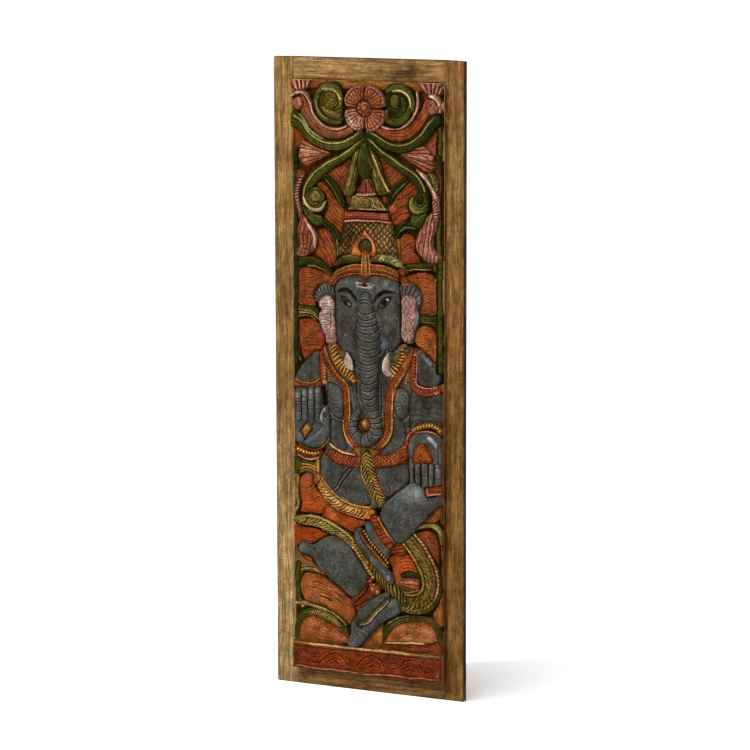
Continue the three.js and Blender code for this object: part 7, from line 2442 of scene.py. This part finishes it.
def sample(field, x, z):
    """The field's value at any place, between its cells."""
    u = np.clip((x - BLOCK_LEFT) / CELL, 0, field.shape[1] - 1.001)
    v = np.clip((z - BLOCK_BOTTOM) / CELL, 0, field.shape[0] - 1.001)
    i, j = u.astype(int), v.astype(int)
    s, t = u - i, v - j
    if field.ndim == 3:
        s, t = s[:, None], t[:, None]
    low = field[j, i] * (1 - s) + field[j, i + 1] * s
    high = field[j + 1, i] * (1 - s) + field[j + 1, i + 1] * s
    return low * (1 - t) + high * t


def new_mesh(name, points, faces):
    """A mesh object from an array of points and a list of faces."""
    mesh = bpy.data.meshes.new(name)
    mesh.from_pydata(points.tolist(), [], faces)
    mesh.update()
    piece = bpy.data.objects.new(name, mesh)
    bpy.context.scene.collection.objects.link(piece)
    return piece


def grid_faces(rows, columns):
    """The points of a grid by row and column, and its square faces."""
    at = np.arange(rows * columns).reshape(rows, columns)
    corners = [at[:-1, :-1], at[:-1, 1:], at[1:, 1:], at[1:, :-1]]
    return at, np.stack(corners, -1).reshape(-1, 4)


def grid_mesh(c, depth):
    """A mesh of square cells, set forward from the back by a depth at each cell."""
    mesh = bpy.data.meshes.new("field")
    x, z = np.meshgrid(c.xs, c.zs)
    points = np.stack([x, -depth, z], -1).reshape(-1, 3).astype(np.float32)
    mesh.vertices.add(len(points))
    mesh.vertices.foreach_set("co", points.ravel())
    _, corners = grid_faces(*depth.shape)
    mesh.loops.add(corners.size)
    mesh.loops.foreach_set("vertex_index", corners.ravel())
    mesh.polygons.add(len(corners))
    mesh.polygons.foreach_set("loop_start", np.arange(0, corners.size, 4))
    mesh.update(calc_edges=True)
    return mesh


def reduce_mesh(mesh, triangles):
    """The mesh with about this many triangles, kept where the shape needs them."""
    holder = bpy.data.objects.new("field", mesh)
    bpy.context.scene.collection.objects.link(holder)
    modifier = holder.modifiers.new("Reduce", "DECIMATE")
    modifier.ratio = triangles / (2 * len(mesh.polygons))
    depsgraph = bpy.context.evaluated_depsgraph_get()
    reduced = bpy.data.meshes.new_from_object(holder.evaluated_get(depsgraph))
    bpy.data.objects.remove(holder)
    points = np.empty(3 * len(reduced.vertices), np.float32)
    reduced.vertices.foreach_get("co", points)
    reduced.calc_loop_triangles()
    corners = np.empty(3 * len(reduced.loop_triangles), np.int32)
    reduced.loop_triangles.foreach_get("vertices", corners)
    bpy.data.meshes.remove(reduced)
    bpy.data.meshes.remove(mesh)
    # leave out triangles that lie back to back on the same three points
    corners = corners.reshape(-1, 3)
    _, group, uses = np.unique(np.sort(corners, 1), axis=0, return_inverse=True,
                               return_counts=True)
    used, corners = np.unique(corners[uses[group.ravel()] == 1], return_inverse=True)
    return points.reshape(-1, 3)[used].astype(float), corners.reshape(-1, 3)


def edges_of(triangles, count):
    """Each edge once as a pair of points, and which points lie on the mesh's open rim."""
    ends = [triangles[:, pair] for pair in ([0, 1], [1, 2], [2, 0])]
    ends = np.sort(np.concatenate(ends), 1)
    keys, uses = np.unique(ends[:, 0].astype(np.int64) * count + ends[:, 1], return_counts=True)
    pairs = np.stack([keys // count, keys % count], -1)
    on_rim = np.zeros(count, bool)
    on_rim[pairs[uses == 1].ravel()] = True
    return pairs, on_rim


def unfold(points, triangles, pairs, on_rim):
    """Moves the corners of triangles that lie over others to the middle of their neighbours."""
    both = np.concatenate([pairs, pairs[:, ::-1]])
    near_count = np.maximum(np.bincount(both[:, 0], minlength=len(points)), 1)
    for _ in range(UNFOLD_ROUNDS):
        a, b, c = (points[triangles[:, k]][:, [0, 2]] for k in range(3))
        ab, ac = b - a, c - a
        folded = triangles[ab[:, 0] * ac[:, 1] - ab[:, 1] * ac[:, 0] <= LEAST_FACING]
        if not len(folded):
            break
        moving = np.zeros(len(points), bool)
        moving[folded.ravel()] = True
        moving &= ~on_rim
        for axis in (0, 2):
            middle = np.bincount(both[:, 0], points[both[:, 1], axis], len(points)) / near_count
            points[moving, axis] = middle[moving]


def rim_chain(points, on_rim, axis, value):
    """Indices of the points on one side of the block, in order along it."""
    on_side = np.flatnonzero(on_rim & (points[:, axis] == value))
    return on_side[np.argsort(points[on_side, 2 - axis])]


def closed_board(name, front, sheet, chains, back, side_slot):
    """A mesh of a front sheet closed by four flat sides and a flat back. chains are the front's
    points along its left, right, bottom and top side, and back the four corners behind. The
    sides have material side_slot and the back the one after it."""
    left, right, bottom, top = (chain.tolist() for chain in chains)
    first = len(front)
    faces = sheet.tolist()
    faces.append(left + [first + 3, first])
    faces.append(right[::-1] + [first + 1, first + 2])
    faces.append(bottom[::-1] + [first, first + 1])
    faces.append(top + [first + 2, first + 3])
    faces.append([first + 3, first + 2, first + 1, first])
    piece = new_mesh(name, np.vstack([front, back]) / 1000, faces)
    smooth = np.zeros(len(faces), bool)
    smooth[:len(sheet)] = True
    piece.data.polygons.foreach_set("use_smooth", smooth)
    slots = np.zeros(len(faces), np.int32)
    slots[len(sheet):] = side_slot
    slots[-1] = side_slot + 1
    piece.data.polygons.foreach_set("material_index", slots)
    return piece


def back_corners(low, high):
    """The four corners of a box's back, round from the left bottom one."""
    return np.array([(low[0], 0, low[2]), (high[0], 0, low[2]), (high[0], 0, high[2]),
                     (low[0], 0, high[2])])


def give_colours(piece, name, front, behind):
    """Gives colours to the points of a closed board: one to each of the front's, and one to
    the four behind."""
    colours = np.ones((len(front) + 4, 4), np.float32)
    colours[:-4, :3] = front
    colours[-4:, :3] = behind
    layer = piece.data.attributes.new(name, "FLOAT_COLOR", "POINT")
    layer.data.foreach_set("color", colours.ravel())


def give_shares(piece, name, front):
    """Gives a number to each point of a closed board's front, and nought to those behind."""
    shares = np.zeros(len(front) + 4, np.float32)
    shares[:-4] = front
    piece.data.attributes.new(name, "FLOAT", "POINT").data.foreach_set("value", shares)


def carve_block():
    """The carved block: the reduced height field closed by flat sides and a flat back."""
    c = Carving()
    for draw in (draw_ground, draw_low, draw_waist, draw_chest, draw_face, draw_crowns, draw_top,
                 draw_waist_front, draw_low_front, draw_face_front):
        draw(c)
    wear_and_highlight, stain_and_shade = weather(c)
    brightness = seen_colour(c, wear_and_highlight, stain_and_shade).mean(-1) ** 0.5
    relief = RELIEF_WEIGHT * c.height + COLOUR_WEIGHT * brightness
    c.height += sum(high * noise(c.height.shape, broad, seed) for high, broad, seed in CHISEL_MARKS)
    c.height = np.clip(c.height, LOWEST, HIGHEST)
    points, triangles = reduce_mesh(grid_mesh(c, relief), CARVING_TRIANGLES)
    pairs, on_rim = edges_of(triangles, len(points))
    for axis, low, high in ((0, BLOCK_LEFT, BLOCK_RIGHT), (2, BLOCK_BOTTOM, BLOCK_TOP)):
        points[on_rim & (points[:, axis] < low + RIM_REACH), axis] = low
        points[on_rim & (points[:, axis] > high - RIM_REACH), axis] = high
    unfold(points, triangles, pairs, on_rim)
    x, z = points[:, 0], points[:, 2]
    points[:, 1] = -sample(c.height, x, z)
    sides = ((0, BLOCK_LEFT), (0, BLOCK_RIGHT), (2, BLOCK_BOTTOM), (2, BLOCK_TOP))
    chains = [rim_chain(points, on_rim, axis, side) for axis, side in sides]
    back = back_corners((BLOCK_LEFT, 0, BLOCK_BOTTOM), (BLOCK_RIGHT, 0, BLOCK_TOP))
    piece = closed_board("carving", points, triangles, chains, back, 1)
    give_colours(piece, "paint", sample(PAINT_TONE * c.paint, x, z), linear(BARE_WOOD))
    give_colours(piece, "rub_and_highlight", sample(RUB_AND_HIGHLIGHT_TONE * c.rub_and_highlight, x, z), linear(BARE_WOOD))
    give_shares(piece, "wear_and_highlight", sample(wear_and_highlight, x, z))
    give_shares(piece, "stain_and_shade", sample(stain_and_shade, x, z))
    return piece


class Paint:
    """Builds a material's nodes and links them as they are asked for."""

    def __init__(self, name):
        self.material = bpy.data.materials.new(name)
        self.material.use_nodes = True
        self.tree = self.material.node_tree
        self.shader = self.tree.nodes["Principled BSDF"]

    def node(self, kind, **settings):
        """A new node; settings are Blender's own."""
        made = self.tree.nodes.new(kind)
        for name, value in settings.items():
            setattr(made, name, value)
        return made

    def link(self, source, target):
        """Joins an output to an input."""
        self.tree.links.new(source, target)

    def give(self, value, socket):
        """Feeds a socket from a node, a number or an sRGB triple."""
        if isinstance(value, tuple):
            socket.default_value = (*linear(value), 1)
        elif isinstance(value, (int, float)):
            socket.default_value = value
        else:
            self.link(value, socket)

    def attribute(self, name, output="Color"):
        """What the mesh's points carry under a name."""
        return self.node("ShaderNodeAttribute", attribute_name=name).outputs[output]

    def grain(self, scale, detail=3.0, roughness=0.55, stretch=(1, 1, 1)):
        """Noise over the object's own coordinates; scale is lumps per metre."""
        place = self.node("ShaderNodeTexCoord").outputs["Object"]
        mapping = self.node("ShaderNodeMapping")
        mapping.inputs["Scale"].default_value = stretch
        self.link(place, mapping.inputs["Vector"])
        texture = self.node("ShaderNodeTexNoise")
        texture.inputs["Scale"].default_value = scale
        texture.inputs["Detail"].default_value = detail
        texture.inputs["Roughness"].default_value = roughness
        self.link(mapping.outputs["Vector"], texture.inputs["Vector"])
        return texture.outputs["Fac"]

    def height(self):
        """How high a point is on the object, in metres."""
        apart = self.node("ShaderNodeSeparateXYZ")
        self.link(self.node("ShaderNodeTexCoord").outputs["Object"], apart.inputs[0])
        return apart.outputs["Z"]

    def spread(self, value, low, high, start=0.3, end=0.7):
        """Maps a value from one range to another, held at its ends."""
        made = self.node("ShaderNodeMapRange")
        self.link(value, made.inputs["Value"])
        limits = {"From Min": start, "From Max": end, "To Min": low, "To Max": high}
        for name, number in limits.items():
            made.inputs[name].default_value = number
        return made.outputs["Result"]

    def maths(self, operation, one, two):
        """One sum of two numbers or outputs."""
        made = self.node("ShaderNodeMath", operation=operation)
        self.give(one, made.inputs[0])
        self.give(two, made.inputs[1])
        return made.outputs[0]

    def times(self, colour, factor):
        """A colour made brighter or darker."""
        made = self.node("ShaderNodeVectorMath", operation="SCALE")
        if isinstance(colour, tuple):
            made.inputs[0].default_value = linear(colour)
        else:
            self.link(colour, made.inputs[0])
        self.give(factor, made.inputs["Scale"])
        return made.outputs["Vector"]

    def mix(self, factor, one, two):
        """From one colour to another; each is a socket or an sRGB triple."""
        made = self.node("ShaderNodeMix", data_type="RGBA")
        # this node's sockets for colours share their names with others, so they go by number
        self.give(factor, made.inputs[0])
        self.give(one, made.inputs[6])
        self.give(two, made.inputs[7])
        return made.outputs[2]

    def bump(self, height, distance, strength):
        """Makes the surface look uneven by this distance in metres."""
        made = self.node("ShaderNodeBump")
        made.inputs["Distance"].default_value = distance
        made.inputs["Strength"].default_value = strength
        self.link(height, made.inputs["Height"])
        self.link(made.outputs["Normal"], self.shader.inputs["Normal"])


def carving_paint():
    """Old paint, rubbed on its ridges and grimy in its hollows, with faded gilt blots. The wear and
    stain that its points carry also hold painted highlight on crests and middles, and painted shade
    at rims and in deep hollows.
    """
    p = Paint("carving_paint")
    fine = p.grain(600, 3, 0.7)
    middle = p.grain(330, 3, 0.6)
    broad = p.grain(60, 4, 0.6)
    blots = p.grain(95, 5, 0.65)
    along = p.grain(520, 3, 0.5, (1, 1, 0.10))
    flecks = p.grain(560, 2, 0.6)
    wear_and_highlight, stain_and_shade = p.attribute("wear_and_highlight", "Fac"), p.attribute("stain_and_shade", "Fac")
    # the lighter colour shows where paint is worn and where highlights are painted
    rubbed_and_lit = p.maths("MULTIPLY", wear_and_highlight, p.spread(middle, 0.55, 1.5))
    rubbed_and_lit = p.maths("ADD", rubbed_and_lit, p.spread(flecks, 0, 0.40, 0.60, 0.78))
    colour = p.mix(rubbed_and_lit, p.attribute("paint"), p.attribute("rub_and_highlight"))
    colour = p.times(colour, p.spread(middle, 0.84, 1.16, 0.36, 0.64))
    colour = p.times(colour, p.spread(fine, 0.58, 1.42, 0.34, 0.66))
    colour = p.times(colour, p.spread(along, 0.90, 1.10))
    colour = p.times(colour, p.spread(broad, 0.68, 1.34, 0.34, 0.66))
    gilt = p.spread(p.grain(140, 4, 0.6), 0, 0.34, 0.52, 0.68)
    gilt = p.maths("MULTIPLY", gilt, p.spread(flecks, 0, 1, 0.46, 0.60))
    colour = p.mix(gilt, colour, (78, 60, 24))
    # the dark colour covers stain, grime and painted shade alike
    darkened = p.maths("ADD", stain_and_shade, p.spread(flecks, 0.40, 0, 0.26, 0.36))
    darkened = p.maths("ADD", darkened, p.spread(blots, 0.34, -0.04, 0.34, 0.56))
    darker = p.mix(0.55, p.times(colour, 0.25), STAIN_AND_SHADE_COLOUR)
    colour = p.mix(p.spread(darkened, 0, 0.95, 0, 0.95), colour, darker)
    p.link(colour, p.shader.inputs["Base Color"])
    dull = p.spread(p.maths("ADD", fine, stain_and_shade), 0.34, 0.62, 0.3, 1.4)
    p.link(dull, p.shader.inputs["Roughness"])
    p.link(p.spread(stain_and_shade, 0.02, 0.0, 0, 0.5), p.shader.inputs["Specular IOR Level"])
    p.bump(p.maths("ADD", middle, p.maths("MULTIPLY", along, 0.5)), 0.0004, 0.6)
    return p.material


def wood(name, turn, coat=None, low_coat=None):
    """Streaked stained wood over one colour, over one that changes to low_coat further down,
    or over the colours its points carry. turn is the way its grain runs."""
    p = Paint(name)
    base = coat or p.attribute("coat")
    if low_coat:
        base = p.mix(p.spread(p.height(), 0, 1, -0.10, 0.20), low_coat, coat)

    def along(share):
        return {"x": (share, 1, 1), "z": (1, 1, share)}[turn]

    streaks = p.grain(260, 4, 0.65, along(0.035))
    fibres = p.grain(620, 2, 0.6, along(0.07))
    speckle = p.grain(600, 3, 0.7)
    blotch = p.grain(60, 5, 0.65)
    stains = p.grain(34, 4, 0.6)
    dashes = p.grain(400, 2, 0.5, along(0.10))
    haze = p.grain(50, 5, 0.65, along(0.5))
    colour = p.times(base, p.spread(streaks, 0.60, 1.34, 0.36, 0.64))
    colour = p.times(colour, p.spread(fibres, 0.58, 1.40, 0.36, 0.64))
    colour = p.times(colour, p.spread(speckle, 0.58, 1.40, 0.36, 0.64))
    colour = p.times(colour, p.spread(blotch, 0.60, 1.34))
    colour = p.mix(p.spread(haze, 0, 0.30, 0.50, 0.68), colour, (128, 104, 66))
    colour = p.mix(p.spread(stains, 0, 0.50, 0.50, 0.72), colour, (92, 56, 22))
    colour = p.mix(p.spread(dashes, 0, 0.50, 0.58, 0.74), colour, (70, 46, 20))
    p.link(colour, p.shader.inputs["Base Color"])
    p.link(p.spread(fibres, 0.42, 0.66), p.shader.inputs["Roughness"])
    p.shader.inputs["Specular IOR Level"].default_value = 0.02
    p.bump(p.maths("ADD", fibres, streaks), 0.0004, 0.5)
    return p.material


def side_steps(low, high, low_is_outer, high_is_outer):
    """Places across a board, closer together where an outer edge is rounded."""
    count = max(8, int((high - low) / BOARD_STEP))
    places = np.linspace(low, high, count + 1)[1:-1]
    near = low + np.array(EDGE_STEPS if low_is_outer else ())
    far = high - np.array(EDGE_STEPS[::-1] if high_is_outer else ())
    return np.concatenate([[low], near, places, far, [high]])


def round_corners(points, low, high, outer):
    """Moves the points beyond a small circle at each outer corner onto it."""
    for across, edge_x in enumerate((low[0], high[0])):
        for up, edge_z in enumerate((low[2], high[2])):
            if not (outer[across] and outer[2 + up]):
                continue
            into = np.array([1 - 2 * across, 1 - 2 * up])
            middle = np.array([edge_x, edge_z]) + CORNER_ROUND * into
            off = (points[:, [0, 2]] - middle) * -into
            far = np.hypot(off[:, 0], off[:, 1])
            beyond = (off[:, 0] > 0) & (off[:, 1] > 0) & (far > CORNER_ROUND)
            shrunk = off[beyond] * (CORNER_ROUND / far[beyond])[:, None]
            points[np.ix_(np.flatnonzero(beyond), [0, 2])] = middle - shrunk * into


def board_colours(x, z, inset, low, high, tones):
    """The colour at each place of a board's front; tones are spread from end to end."""
    axis, places = (2, z) if high[2] - low[2] > high[0] - low[0] else (0, x)
    run = (places - low[axis]) / (high[axis] - low[axis])
    stops = np.linspace(0, 1, len(tones))
    tones = BOARD_TONE * linear(np.array(tones))
    tone = np.stack([np.interp(run, stops, tones[:, k]) for k in range(3)], -1)
    out_x = np.maximum(np.maximum(BLOCK_LEFT - x, x - BLOCK_RIGHT), 0)
    out_z = np.maximum(np.maximum(BLOCK_BOTTOM - z, z - BLOCK_TOP), 0)
    near_block = JOINT_SHARE * np.exp(-((np.hypot(out_x, out_z) / JOINT_REACH) ** 2))
    tone += (linear(JOINT_TONE) - tone) * near_block[..., None]
    ragged = 1 + 0.5 * np.sin(x / 2.9 + z / 5.1) * np.sin(z / 1.7 - x / 7.3)
    for (mid_x, mid_z), (wide, tall), share in SMEARS_AND_SHADOW:
        far = ((x - mid_x) / wide) ** 2 + ((z - mid_z) / tall) ** 2
        tone *= 1 - (share * np.exp(-far * ragged))[..., None]
    darker = np.clip(OUTER_EDGE_LEAD - inset / OUTER_EDGE_WIDTH, 0, 1)
    return tone + (linear(OUTER_EDGE) - tone) * darker[..., None]


def plank(node, look, tones, seed):
    """A frame board: planed flat behind, its outer front edges rounded and dented. tones are
    its colours from one end to the other."""
    low, high = (np.array(corner) * 1000 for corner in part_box(node))
    outer = [abs(abs(low[0]) - HALF_WIDTH) < 0.1, abs(abs(high[0]) - HALF_WIDTH) < 0.1,
             abs(abs(low[2]) - HALF_HEIGHT) < 0.1, abs(abs(high[2]) - HALF_HEIGHT) < 0.1]
    # the inner sides close up to their neighbours
    low[0] -= 0 if outer[0] else CLOSE_UP
    high[0] += 0 if outer[1] else CLOSE_UP
    low[2] -= 0 if outer[2] else CLOSE_UP
    high[2] += 0 if outer[3] else CLOSE_UP
    x, z = np.meshgrid(side_steps(low[0], high[0], outer[0], outer[1]),
                       side_steps(low[2], high[2], outer[2], outer[3]))
    ways = [x - low[0], high[0] - x, z - low[2], high[2] - z]
    inset = np.min([way for way, side in zip(ways, outer) if side], 0)
    rng = np.random.default_rng(seed)
    dents = np.abs(rng.standard_normal(x.shape))
    dents = (dents + np.roll(dents, 1, 0) + np.roll(dents, -1, 0)) / 3
    front = -low[1] - PLANED_OFF - EDGE_ROUND * (1 - crown(inset / EDGE_ROUND))
    front -= DENTS * dents * (inset > 0)
    points = np.stack([x, -front, z], -1).reshape(-1, 3)
    round_corners(points, low, high, outer)
    back = back_corners(low, high)
    round_corners(back, low, high, outer)
    at, sheet = grid_faces(*x.shape)
    chains = (at[:, 0], at[:, -1], at[0], at[-1])
    piece = closed_board(node + "_board", points, sheet, chains, back, 0)
    tone = board_colours(x, z, inset, low, high, tones)
    give_colours(piece, "coat", tone.reshape(-1, 3), linear(OUTER_EDGE))
    piece.data.materials.append(look)
    piece.data.materials.append(plain_back)
    return piece


def settle_piece(piece, node):
    """Hands a piece over in place of a node of the frame."""
    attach(piece, "root")
    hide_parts(node)


plain_back = wood("plain_back_wood", "z", BACK_TONE)
carving = carve_block()
carving.data.materials.append(carving_paint())
carving.data.materials.append(wood("bare_block_wood", "z", WALL_TONE, WALL_LOW_TONE))
carving.data.materials.append(plain_back)
settle_piece(carving, "carved_panel")

looks = {"z": wood("upright_wood", "z"), "x": wood("level_wood", "x")}
for seed, (node, turn, tones) in enumerate(BOARDS):
    settle_piece(plank(node, looks[turn], tones, 20 + seed), node)


def place_floor():
    """The pale ground that the panel stands on."""
    size, level = FLOOR_HALF_SIZE, cad_bounds[0][2]
    corners = [(-size, -size, level), (size, -size, level), (size, size, level),
               (-size, size, level)]
    floor = new_mesh("floor", np.array(corners), [[0, 1, 2, 3]])
    look = Paint("pale_floor")
    look.shader.inputs["Base Color"].default_value = (FLOOR_TONE, FLOOR_TONE, FLOOR_TONE, 1)
    look.shader.inputs["Roughness"].default_value = FLOOR_ROUGHNESS
    look.shader.inputs["Emission Color"].default_value = (1, 1, 1, 1)
    look.shader.inputs["Emission Strength"].default_value = FLOOR_GLOW
    floor.data.materials.append(look.material)


def add_lamp(name, kind, place, target, **settings):
    """A lamp at a place, shining at a target; settings are Blender's own."""
    lamp = bpy.data.lights.new(name, kind)
    for setting, value in settings.items():
        setattr(lamp, setting, value)
    piece = bpy.data.objects.new(name, lamp)
    bpy.context.scene.collection.objects.link(piece)
    piece.location = place
    piece.rotation_euler = (Vector(target) - Vector(place)).to_track_quat("-Z", "Y").to_euler()


def place_camera():
    """The camera, turned as the photo's straight edges say."""
    yaw, pitch, roll = (math.radians(a) for a in CAMERA_TURN)
    forward = np.array([-math.sin(yaw) * math.cos(pitch), math.cos(yaw) * math.cos(pitch),
                        -math.sin(pitch)])
    side = np.array([math.cos(yaw), math.sin(yaw), 0])
    up = np.cross(side, forward)
    right = math.cos(roll) * side + math.sin(roll) * up
    top = -math.sin(roll) * side + math.cos(roll) * up
    lens = bpy.data.cameras.new("camera")
    lens.sensor_width = CAMERA_SENSOR
    lens.lens = CAMERA_LENS
    lens.clip_end = CAMERA_RANGE
    camera = bpy.data.objects.new("camera", lens)
    bpy.context.scene.collection.objects.link(camera)
    turn = np.eye(4)
    turn[:3, 0], turn[:3, 1], turn[:3, 2] = right, top, -forward
    turn[:3, 3] = CAMERA_PLACE
    camera.matrix_world = Matrix(turn.tolist())
    bpy.context.scene.camera = camera


def light_surround():
    """Plain white light from all round."""
    world = bpy.data.worlds.new("studio")
    world.use_nodes = True
    background = world.node_tree.nodes["Background"]
    background.inputs["Color"].default_value = (1, 1, 1, 1)
    background.inputs["Strength"].default_value = SURROUND_POWER
    bpy.context.scene.world = world


place_floor()
place_camera()
light_surround()
add_lamp("key", "AREA", KEY_PLACE, KEY_TARGET, shape="DISK", size=KEY_SIZE, energy=KEY_POWER,
         color=KEY_COLOUR)
add_lamp("overhead", "SUN", SUN_PLACE, (0, 0, 0), energy=SUN_POWER, angle=math.radians(SUN_SPREAD))
bpy.context.scene.view_settings.view_transform = "Standard"
